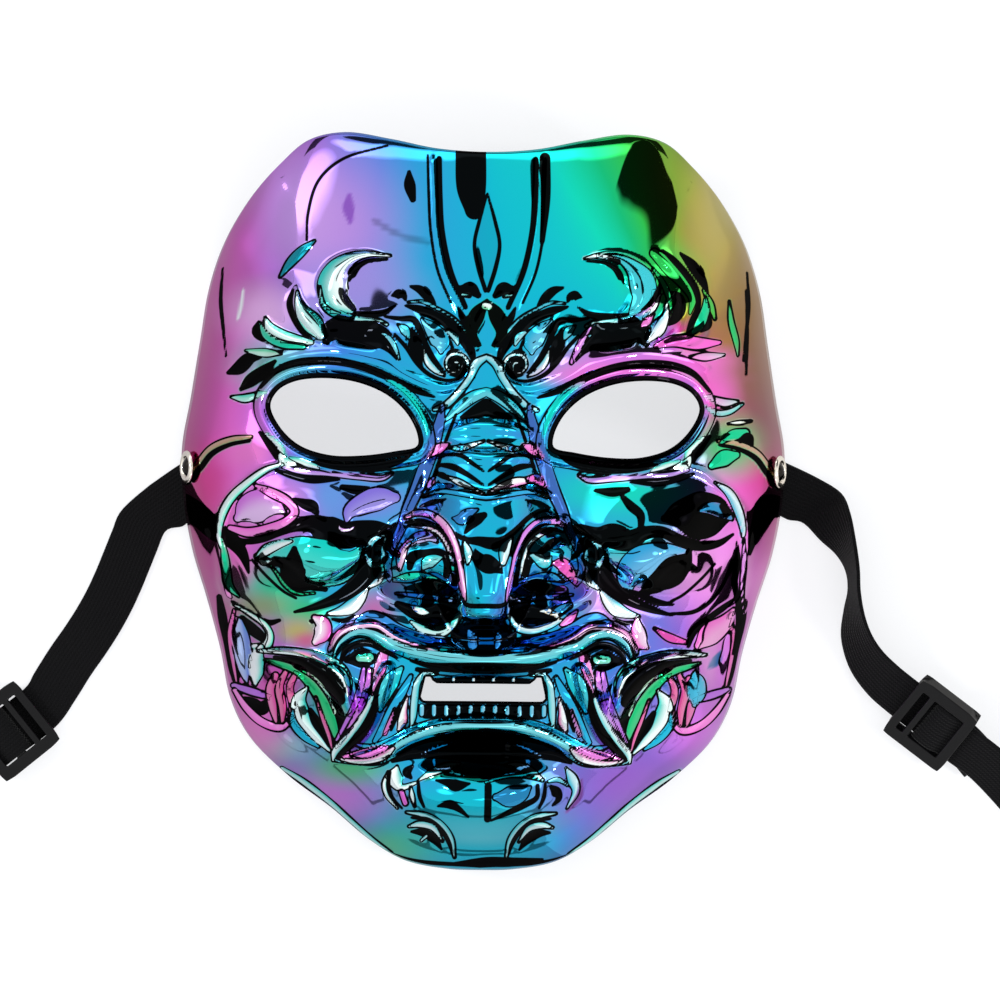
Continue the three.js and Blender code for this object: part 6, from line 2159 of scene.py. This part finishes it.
@dataclass(frozen=True)
class WovenElastic:
    """Black knitted elastic: matt, with fine ribs along it and cross threads.

    Attributes:
        name: the real material.
        rib: width of a rib, in millimetres.
        thread: distance from one cross thread to the next, in millimetres.
        fluff: how fine the unevenness of the threads is.
        relief: depth of the weave, in metres.
        dark: sRGB colour between the ribs, darker there as painted shade.
        light: sRGB colour on them.
    """

    name: str = "black_woven_elastic"
    rib: float = 1.1
    thread: float = 0.9
    fluff: float = 2.5
    relief: float = 0.0002
    dark: str = "030304"
    light: str = "0c0c0e"

    def material(self) -> bpy.types.Material:
        """Makes the material, whose attribute "weave" holds the place across and along.

        Returns:
            The material.
        """
        made, tree = new_material(self.name)
        weave = tree.add("ShaderNodeAttribute", attribute_name="weave").outputs["Vector"]
        split = tree.add("ShaderNodeSeparateXYZ", {0: weave})
        ribs, threads = (
            tree.math("SINE", tree.math("MULTIPLY", split.outputs[k], 2 * math.pi / width))
            for k, width in enumerate((self.rib, self.thread))
        )
        both = tree.math("ADD", tree.math("MULTIPLY", ribs, threads), ribs)
        noise = tree.add("ShaderNodeTexNoise", {"Vector": weave, "Scale": self.fluff})
        height = tree.math("ADD", both, noise.outputs[0])
        bump = tree.add("ShaderNodeBump", {
            "Height": height, "Strength": 0.45, "Distance": self.relief,
        })
        ramp = tree.add("ShaderNodeValToRGB", {0: tree.math("MULTIPLY_ADD", both, 0.25, 0.5)})
        for element, code in zip(ramp.color_ramp.elements, (self.dark, self.light)):
            element.color = linear_colour(code)
        tree.surface({
            "Base Color": ramp.outputs[0], "Roughness": 0.9, "Sheen Weight": 0.06,
            "Specular IOR Level": 0.1, "Normal": bump.outputs[0],
        })
        return made


@dataclass(frozen=True)
class PlainFinish:
    """A single-coloured finish.

    Attributes:
        name: the real material.
        code: its sRGB colour.
        roughness: 0 for a mirror.
        metallic: 1 for metal.
        grain: depth of a fine unevenness, in millimetres.
    """

    name: str
    code: str
    roughness: float
    metallic: float = 0.0
    grain: float = 0.0
    # How many bumps of the grain there are to a metre
    fineness = 900.0

    def material(self) -> bpy.types.Material:
        """Makes the material.

        Returns:
            The material.
        """
        made, tree = new_material(self.name)
        place = tree.add("ShaderNodeTexCoord")
        noise = tree.add("ShaderNodeTexNoise", {
            "Vector": place.outputs["Object"], "Scale": self.fineness,
        })
        bump = tree.add("ShaderNodeBump", {
            "Height": noise.outputs[0], "Strength": 0.5, "Distance": self.grain * MM,
        })
        tree.surface({
            "Base Color": linear_colour(self.code), "Roughness": self.roughness,
            "Metallic": self.metallic, "Normal": bump.outputs[0],
            "Specular IOR Level": 0.5 if self.metallic else 0.2,
        })
        return made


@dataclass(frozen=True)
class LacquerFilm:
    """Colour of the film over the face, as a direction on the colour circle.

    The broad run is a polynomial of the place and the lean of the surface, whose complex value
    points to the hue: blue-green in the middle, pink to the left, green and gold to the upper
    right, violet to the lower right. Steep walls are darkened as painted shade. Local pools of
    another hue lie on it; some darken it as painted shade, some pale it as painted highlight.

    Attributes:
        terms: powers of x, y, lean across and lean along, then the complex factor.
        pools: x, y, half widths, hue in degrees, strength, painted shade and painted highlight share.
        glazes: the same without the last two, laid over the carving's own colours.
        chrome: the finish that gives the colour circle.
        strokes: carving painted black in its recesses and outlines, as shade and dark reflection,
            and pale on its lit sides, as painted highlight.
        eyes: the eye holes, with a painted black edge and a painted black crease round their rims, as
            shade.
        slot: the mouth slot, with a painted black edge as shade.
    """

    terms: Sequence[tuple[int, int, int, int, complex]] = (
        (0, 0, 0, 0, -0.99 - 0.30j), (1, 0, 0, 0, -0.01 - 0.14j), (0, 1, 0, 0, -0.26 - 0.12j),
        (2, 0, 0, 0, 1.79 - 0.14j), (1, 1, 0, 0, 0.32 + 0.65j), (0, 2, 0, 0, 0.17 + 0.10j),
        (3, 0, 0, 0, -0.09 + 0.24j), (2, 1, 0, 0, 0.71 + 0.81j), (1, 2, 0, 0, -0.17 + 0.91j),
        (0, 3, 0, 0, 0.24 + 0.21j), (0, 0, 1, 0, 0.06 - 0.03j), (0, 0, 0, 1, -0.08 + 0.04j),
        (0, 0, 2, 0, 0.23 - 0.08j), (0, 0, 1, 1, -0.30 + 0.43j), (0, 0, 0, 2, -0.21 + 0j),
    )
    pools: Sequence[Row] = (
        (-46, 82, 17, 20, 274, 0.9, 1, 0.15), (-57, 88, 10, 16, 276, 0.8, 1, 0.2),
        (-66, 56, 11, 8, 300, 0.8, 1, 0.4), (-40, 62, 16, 10, 256, 0.8, 1, 0.15),
        (-64, 40, 11, 8, 160, 0.6, 1, 0), (-64, -3, 13, 9, 304, 0.9, 1, 0.1),
        (-36, -1, 14, 6, 235, 0.9, 1, 0.05), (-62, -27, 12, 7, 152, 0.95, 1, 0),
        (-67, -33, 9, 4, 75, 0.8, 0.75, 0.15), (-52, -34, 8, 4, 130, 0.8, 1, 0),
        (-56, -40, 7, 4, 58, 0.95, 1, 0.1), (-74, -21, 4, 5, 325, 0.7, 1, 0.1),
        (-46, 1, 5, 5, 215, 0.8, 1, 0.1), (-85, 3, 7, 10, 340, 0.85, 1, 0),
        (-71, 14, 8, 5, 322, 0.8, 1, 0.1), (-59, -75, 9, 5, 150, 0.6, 0.9, 0.3),
        (-53, -43, 4, 2.4, 345, 0.8, 1, 0),
        (-33, -34, 6, 6, 335, 0.7, 1, 0), (-47, -59, 7, 12, 130, 0.6, 1, 0),
        (-61, -57, 7, 9, 338, 0.7, 1, 0), (-46, -90, 17, 9, 290, 0.9, 0.8, 0.05),
        (-40, -81, 11, 5, 128, 0.85, 0.85, 0.05), (-68, -70, 8, 10, 320, 0.8, 0.9, 0.1),
        (-24, -105, 12, 6, 128, 0.8, 0.8, 0.1), (0, -98, 20, 14, 187, 0.9, 1, 0),
        (42, 41, 20, 6, 305, 0.9, 1, 0.05), (54, 68, 9, 9, 122, 0.9, 1, 0),
        (70, 88, 8, 22, 58, 0.8, 1, 0.1), (12, 92, 10, 24, 186, 0.6, 1, 0),
        (42, 3, 18, 7, 168, 0.9, 1, 0), (73, 17, 10, 8, 135, 0.95, 1, 0),
        (46, -14, 14, 9, 178, 0.9, 1, 0), (67, -20, 13, 12, 304, 0.9, 1, 0.15),
        (40, -29, 9, 9, 325, 0.7, 1, 0.1), (46, -85, 24, 14, 266, 0.95, 0.8, 0),
        (64, -68, 10, 9, 292, 0.8, 1, 0), (70, -46, 7, 12, 300, 0.8, 1, 0.1),
    )
    glazes: Sequence[Row] = (
        (62, 43, 12, 4, 312, 0.8), (40, 43, 12, 2, 290, 0.8), (30, 38, 14, 3, 308, 0.7),
        (70, 33, 6, 5, 314, 0.7), (50, 38, 20, 3, 312, 0.6), (34, -66, 6, 8, 190, 0.3),
    )
    chrome: RainbowChrome = RainbowChrome()
    strokes: Sequence[Stroke] = ()
    eyes: Sequence[Contour] = ()
    slot: Contour | None = None

    # Colour of the painted highlights
    highlight_silver = "f2fdfd"
    # Half the mask's width and height, by which the polynomial's places are divided
    half_size = (90, 110)
    # Painted shade on steep walls: they show this share of the colour, which comes back as they level out
    painted_wall_shade = 0.62
    painted_wall_shade_range = (0.4, 0.78)
    # Shares of a pool's half widths between which it runs out
    pool_edge = (0.1, 1.8)
    # Strokes mark only what leans less than this, and their colour fades over this gap
    underside = -0.2
    cover_edge = (0.35, -0.35)
    # The side of a stroke that catches the light, and the strength of the painted highlight on it
    lit_side = (-0.9, 0.3)
    lit_strength = 1.2
    # Half width of the painted dark lines (shade), how much they swell and thin from place to
    # place, and the waves that do so across and along: radians for each millimetre, and at the middle
    line_width = 0.27
    line_swell = 0.1
    line_waves = ((0.31, 1.3), (0.27, 0.4))
    # Distances from a hole of the painted black crease round it, and of its painted black edge, as shade
    eye_crease = 5.1
    eye_edge = 1.6
    slot_edge = 0.8

    def _broad(self, x: Array, y: Array, nx: Array, ny: Array) -> Array:
        """Colour of the broad run, from the place and the lean of the surface.

        Args:
            x: places across.
            y: places along.
            nx: lean across.
            ny: lean along.

        Returns:
            One colour for each place.
        """
        across, along = x / self.half_size[0], y / self.half_size[1]
        value = sum(
            factor * across**i * along**j * nx**k * ny**m for i, j, k, m, factor in self.terms
        )
        return self.chrome.tint(np.angle(value) / (2 * math.pi))

    def _pooled(self, colour: Array, x: Array, y: Array, pools: Sequence[Row]) -> Array:
        """Lays pools of another hue over a colour, some with painted shade and highlight.

        Args:
            colour: the colours so far.
            x: places across.
            y: places along.
            pools: the pools, one row each.

        Returns:
            The new colours.
        """
        highlight_silver = np.array(linear_colour(self.highlight_silver)[:3])
        for cx, cy, rx, ry, hue, strength, *painted_light in pools:
            # A depth below 1 is painted shade; a pale share mixes in the painted highlight colour
            depth, pale = painted_light or (1, 0)
            share = strength * (1 - smooth(*self.pool_edge, np.hypot((x - cx) / rx, (y - cy) / ry)))
            top = self.chrome.tint(np.array([hue / 360]))
            top = depth * (top + (highlight_silver - top) * pale)
            colour = colour + (top - colour) * share[:, None]
        return colour

    def paint(self, shell: bpy.types.Object) -> None:
        """Stores the film, with its painted shade and highlights, at every point of the shell.

        Args:
            shell: the object mask_face.
        """
        mesh = shell.data
        place, lean = (np.empty(len(mesh.vertices) * 3) for _ in range(2))
        mesh.vertices.foreach_get("co", place)
        mesh.vertices.foreach_get("normal", lean)
        x, y, _ = place.reshape(-1, 3).T / MM
        nx, ny, nz = lean.reshape(-1, 3).T
        # Painted shade: steep walls darker than level ones
        level = self.painted_wall_shade + (1 - self.painted_wall_shade) * smooth(*self.painted_wall_shade_range, nz)
        colour = self._broad(x, y, nx, ny) * level[:, None]
        colour = self._pooled(colour, x, y, self.pools)
        highlight_silver = np.array(linear_colour(self.highlight_silver)[:3])
        line, painted_black = np.full_like(x, FAR), np.full_like(x, FAR)
        for stroke in self.strokes:
            if stroke.tone == 0 and stroke.hue is None:
                continue
            gap, lie = stroke.distance(x, y)
            gap = np.where(nz > self.underside, gap, FAR)
            cover = smooth(*self.cover_edge, gap)[:, None]
            # Raised strokes get a painted dark outline, which stands for shade
            if stroke.cut in (Cut.TUBE, Cut.LEAF):
                line = self._crossed(line, gap, gap < 0)
                painted_black = np.maximum(painted_black, -gap)
            if stroke.hue is not None:
                colour = colour + (self.chrome.tint(np.array([stroke.hue / 360])) - colour) * cover
            # Painted black for shade and dark reflection; lower tones painted shade, higher ones a
            # painted highlight
            if stroke.tone <= PAINTED_BLACK_LIMIT:
                painted_black = np.minimum(painted_black, gap)
            elif stroke.tone < 0:
                colour = colour * (1 + cover * stroke.tone)
            else:
                lit = self.lit_strength * stroke.tone * smooth(*self.lit_side, lie)[:, None]
                colour = colour + (highlight_silver - colour) * cover * np.minimum(lit, 1)
        colour = self._pooled(colour, x, y, self.glazes)
        # Painted black crease and edge round the eyes, and edge of the mouth slot, as shade
        for eye in self.eyes:
            gap = eye.distance(x, y)
            line = self._crossed(line, gap - self.eye_crease, gap < self.eye_crease)
            painted_black = np.minimum(painted_black, gap - self.eye_edge)
        if self.slot:
            painted_black = np.minimum(painted_black, self.slot.distance(x, y) - self.slot_edge)
        (pitch_x, start_x), (pitch_y, start_y) = self.line_waves
        wave = np.sin(pitch_x * x + start_x) * np.cos(pitch_y * y + start_y)
        width = self.line_width + self.line_swell * wave
        edges = np.column_stack([line / width, painted_black, painted_black])
        for name, rows in (("film", colour), ("edges", edges)):
            layer = mesh.attributes.new(name, "FLOAT_VECTOR", "POINT")
            layer.data.foreach_set("vector", rows.ravel())

    @staticmethod
    def _crossed(line: Array, gap: Array, on_top: Array) -> Array:
        """Adds an outline to a field that changes sign across every painted dark line.

        Args:
            line: distance from the nearest line so far, with either sign.
            gap: distance from the new outline, negative inside it.
            on_top: where only the new outline counts.
        """
        size = np.where(on_top, np.abs(gap), np.minimum(np.abs(line), np.abs(gap)))
        return np.where(line < 0, -1, 1) * np.where(gap < 0, -1, 1) * size


@dataclass(frozen=True)
class LightTable:
    """Opal acrylic lit from beneath: a floor that stays pale under what lies on it.

    Attributes:
        name: the real material.
        code: its sRGB colour.
        glow: strength of the light from beneath.
        milky: share of the colour that it shows by reflected light.
    """

    name: str = "opal_acrylic"
    code: str = "f7f8fa"
    glow: float = 0.74
    milky: float = 0.32

    def material(self) -> bpy.types.Material:
        """Makes the material.

        Returns:
            The material.
        """
        made, tree = new_material(self.name)
        colour = linear_colour(self.code)
        tree.surface({
            "Base Color": tuple(c * self.milky for c in colour[:3]) + (1.0,), "Roughness": 0.9,
            "Emission Color": colour, "Emission Strength": self.glow,
        })
        return made


class Studio:
    """Pale floor, soft light and the camera at the photograph's angle."""

    # Camera, in metres: height, aim, how far it stands beside it, roll, width of the picture
    height = 4.0
    centre = (0.0053, 0.00015)
    camera_x = -0.056
    roll = math.radians(0.5)
    frame_width = 0.305
    sensor = 36.0
    # Floor, in millimetres: half its width, and how far it lies below the mask
    floor_half = 5000
    floor_drop = 0.02
    # Strength of the surroundings, and how wavy the edges of flags and strips are
    ambient = 1.04
    wobble = 0.36
    # Shares of their half widths over which flags and strips end
    flag_edge = (0.96, 1.04)
    strip_edge = (0.7, 1.2)
    card_reach = 4800
    # Name, place and size in metres, and power in watts
    soft_boxes = (("key", (-2.2, 0.3, 1.5), 0.3, 22.0), ("fill", (2.2, -0.6, 1.5), 0.3, 16.0))

    def camera(self) -> None:
        """Looks down at the mask from four metres, less than a degree off the upright."""
        data = bpy.data.cameras.new("camera")
        data.sensor_width = self.sensor
        data.lens = self.sensor * self.height / self.frame_width
        made = bpy.data.objects.new("camera", data)
        bpy.context.scene.collection.objects.link(made)
        place = Vector((self.centre[0] + self.camera_x, self.centre[1], self.height))
        aim = Vector((*self.centre, 0.0))
        back = (place - aim).normalized()
        up = Vector((-math.sin(self.roll), math.cos(self.roll), 0))
        right = up.cross(back).normalized()
        up = back.cross(right)
        rows = [(*(v[i] for v in (right, up, back)), place[i]) for i in range(3)]
        made.matrix_world = Matrix([*rows, (0, 0, 0, 1)])
        bpy.context.scene.camera = made

    def floor(self) -> None:
        """A wide pale sheet under the mask."""
        corners = [(x * self.floor_half, y * self.floor_half, -self.floor_drop)
                   for x, y in ((-1, -1), (1, -1), (1, 1), (-1, 1))]
        floor = mesh_object("floor", np.array(corners), np.array([[0, 1, 2, 3]]), False)
        floor.data.materials.append(LightTable().material())

    def world(self) -> None:
        """Bright surroundings with dark flags.

        A direction d is given by p = dx / (1 + dz), q = dy / (1 + dz). Seen from above, a mirror
        shows the direction (p, q) where its surface falls by p along X and by q along Y. The
        divisor is a trace over 1 + dz, so that it isn't 0 straight below.
        """
        world = bpy.context.scene.world = bpy.data.worlds.new("studio")
        world.use_nodes = True
        tree = NodeTree(world.node_tree)
        place = tree.add("ShaderNodeTexCoord")
        split = tree.add("ShaderNodeSeparateXYZ", {0: place.outputs["Generated"]})
        down = tree.math("ADD", split.outputs[2], 1.0001)
        p = tree.math("DIVIDE", split.outputs[0], down)
        q = tree.math("DIVIDE", split.outputs[1], down)
        flat = tree.add("ShaderNodeCombineXYZ", {0: p, 1: q})
        noise = tree.add("ShaderNodeTexNoise", {
            "Vector": flat.outputs[0], "Scale": 2.0, "Detail": 1.0, "Distortion": 0.3,
        }, noise_dimensions="2D")
        wobble = tree.math("MULTIPLY_ADD", noise.outputs[0], self.wobble, -self.wobble / 2)

        def weighed(a: object, wa: float, b: object, wb: float) -> bpy.types.NodeSocket:
            """The sum of two values, each times its weight."""
            return tree.math("ADD", tree.math("MULTIPLY", a, wa), tree.math("MULTIPLY", b, wb))

        def reach(p0: float, q0: float, rp: float, rq: float, turn: float) -> bpy.types.NodeSocket:
            """Distance from an ellipse's middle, 1 on its wavy edge.

            Args:
                p0: place of the middle along p.
                q0: place of the middle along q.
                rp: half width along p.
                rq: half width along q.
                turn: how far it is turned, in degrees.

            Returns:
                The output that holds the distance.
            """
            cos, sin = math.cos(math.radians(turn)), math.sin(math.radians(turn))
            dp, dq = tree.math("ADD", p, -p0), tree.math("ADD", q, -q0)
            a = weighed(dp, cos / rp, dq, sin / rp)
            b = weighed(dq, cos / rq, dp, -sin / rq)
            square = tree.math("ADD", tree.math("MULTIPLY", a, a), tree.math("MULTIPLY", b, b))
            return tree.math("ADD", tree.math("SQRT", square), wobble)

        light: float | bpy.types.NodeSocket = self.ambient
        for *ellipse, dark in FLAGS:
            shade = tree.step(reach(*ellipse), *self.flag_edge, dark)
            light = tree.math("MULTIPLY", light, shade)
        for *ellipse, power in STRIPS:
            glow = tree.step(reach(*ellipse), *self.strip_edge, power, 0.0)
            light = tree.math("ADD", light, glow)
        background = tree.add("ShaderNodeBackground", {"Color": (1, 1, 1, 1), "Strength": light})
        tree.add("ShaderNodeOutputWorld", {"Surface": background.outputs[0]})

    def cards(self) -> None:
        """Black cards round the table, seen only in reflections.

        Each is a flat sector of a ring that lies just above the floor outside the picture.
        """
        for name, start, stop, near, level, code in CARDS:
            turn = np.radians(np.linspace(start, stop, 40))
            way = np.column_stack([np.cos(turn), np.sin(turn), np.zeros_like(turn)])
            points = np.vstack([way * near, way * self.card_reach]) + (0, 0, level)
            number = np.arange(len(points)).reshape(2, -1)
            faces = np.stack([number[0, :-1], number[0, 1:], number[1, 1:], number[1, :-1]], 1)
            card = mesh_object(name, points, faces, smooth_faces=False)
            card.data.materials.append(PlainFinish(f"{name}_paper", code, 0.95).material())
            card.visible_camera = card.visible_diffuse = card.visible_shadow = False

    def lamps(self) -> None:
        """Soft boxes round the mask."""
        for name, place, size, power in self.soft_boxes:
            data = bpy.data.lights.new(name, "AREA")
            data.energy = power
            data.size = size
            made = bpy.data.objects.new(name, data)
            bpy.context.scene.collection.objects.link(made)
            made.matrix_world = Matrix.Translation(place) @ (
                Vector(place).to_track_quat("Z", "Y").to_matrix().to_4x4()
            )


# Cards: name, first and last angle in degrees, inner radius and height in mm, colour
CARDS = (
    ("card_round", 0, 360, 1.0, 0.3, "c4c4c8"), ("card_right", -75, 80, 60.0, 0.6, "f2f0ee"),
    ("card_back", 40, 140, 330.0, 1.0, "040404"),
)
# Dark flags, then soft strips: p and q of the middle, half widths, turn in degrees, strength
FLAGS = (
    (0.64, 0.54, 0.46, 0.30, 0, 0.02), (-0.24, 0.06, 0.15, 0.08, 10, 0.05),
    (-0.50, -0.80, 0.17, 0.07, 0, 0.03), (0.30, 0.90, 0.45, 0.08, 0, 0.04),
)
STRIPS = (
    (-0.72, 0.40, 0.30, 0.16, 20, 1.3), (-0.60, -0.16, 0.10, 0.14, 0, 1.5),
    (0.32, -0.08, 0.10, 0.12, 0, 1.5), (-0.12, 0.72, 0.30, 0.09, 0, 1.8),
    (0.10, -0.50, 0.24, 0.06, 8, 1.6), (0.72, 0.02, 0.11, 0.16, 0, 1.7),
)


def dress(piece: bpy.types.Object, node: str, slot: str, *finishes: bpy.types.Material) -> None:
    """Gives a piece its materials and body, hides the node that it replaces, and reports it.

    Args:
        piece: the object.
        node: the node that it replaces.
        slot: not used.
        finishes: its materials in order.
    """
    for finish in finishes:
        piece.data.materials.append(finish)
    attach(piece, "root")
    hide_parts(node)
    log.info("%s: %d faces", piece.name, len(piece.data.polygons))


def main() -> None:
    """Builds every piece in order."""
    logging.basicConfig(level=logging.INFO, format="%(message)s")
    outline = Outline()
    form = FaceForm(outline)
    fold = Fold(outline, form)
    studio = Studio()
    studio.camera()
    studio.floor()
    studio.world()
    studio.lamps()
    studio.cards()
    bpy.context.scene.view_settings.view_transform = "Standard"

    elastic = WovenElastic().material()
    plastic = PlainFinish("matt_black_plastic", "060608", 0.34, 0, 0.02).material()
    nickel = PlainFinish("nickel_plate", "e6dfd2", 0.18, 1).material()
    shade = PlainFinish("blackened_nickel", "2a2724", 0.2, 1).material()
    chrome = RainbowChrome().material()

    bands = (
        short_band("elastic_left", -1, ROUTE_LEFT, SLIDER_LEFT, fold),
        short_band("elastic_right", 1, ROUTE_RIGHT, SLIDER_RIGHT, fold),
        back_band("elastic_back"),
    )
    sliders = []
    for side, place in (("left", SLIDER_LEFT), ("right", SLIDER_RIGHT)):
        sliders.append(Slider(f"buckle_{side}", place).build())
        dress(sliders[-1], f"slider_{side}", "slider", plastic)
    for band, node, with_pieces in zip(
        bands, ("strap_left", "strap_right", "strap_back"), (sliders[:1], sliders[1:], []),
    ):
        piece = band.build()
        dress(piece, node, "elastic", elastic)
        path, length = band.centreline()
        piece.visible_glossy = piece.visible_shadow = piece.name != "elastic_back"
        log.info("%s: %.3f m long", piece.name, length)
    for name, side in (("left", -1), ("right", 1)):
        rivet = Rivet(f"eyelet_{name}", side, fold.seat()).build()
        dress(rivet, f"rivet_{name}", "rivet", nickel, shade)
    mask = MaskShell(form)
    shell = mask.build()
    LacquerFilm(strokes=STROKES, eyes=mask.eyes, slot=mask.slot).paint(shell)
    dress(shell, "mask_shell", "mask", chrome)


if __name__ == "__main__":
    main()
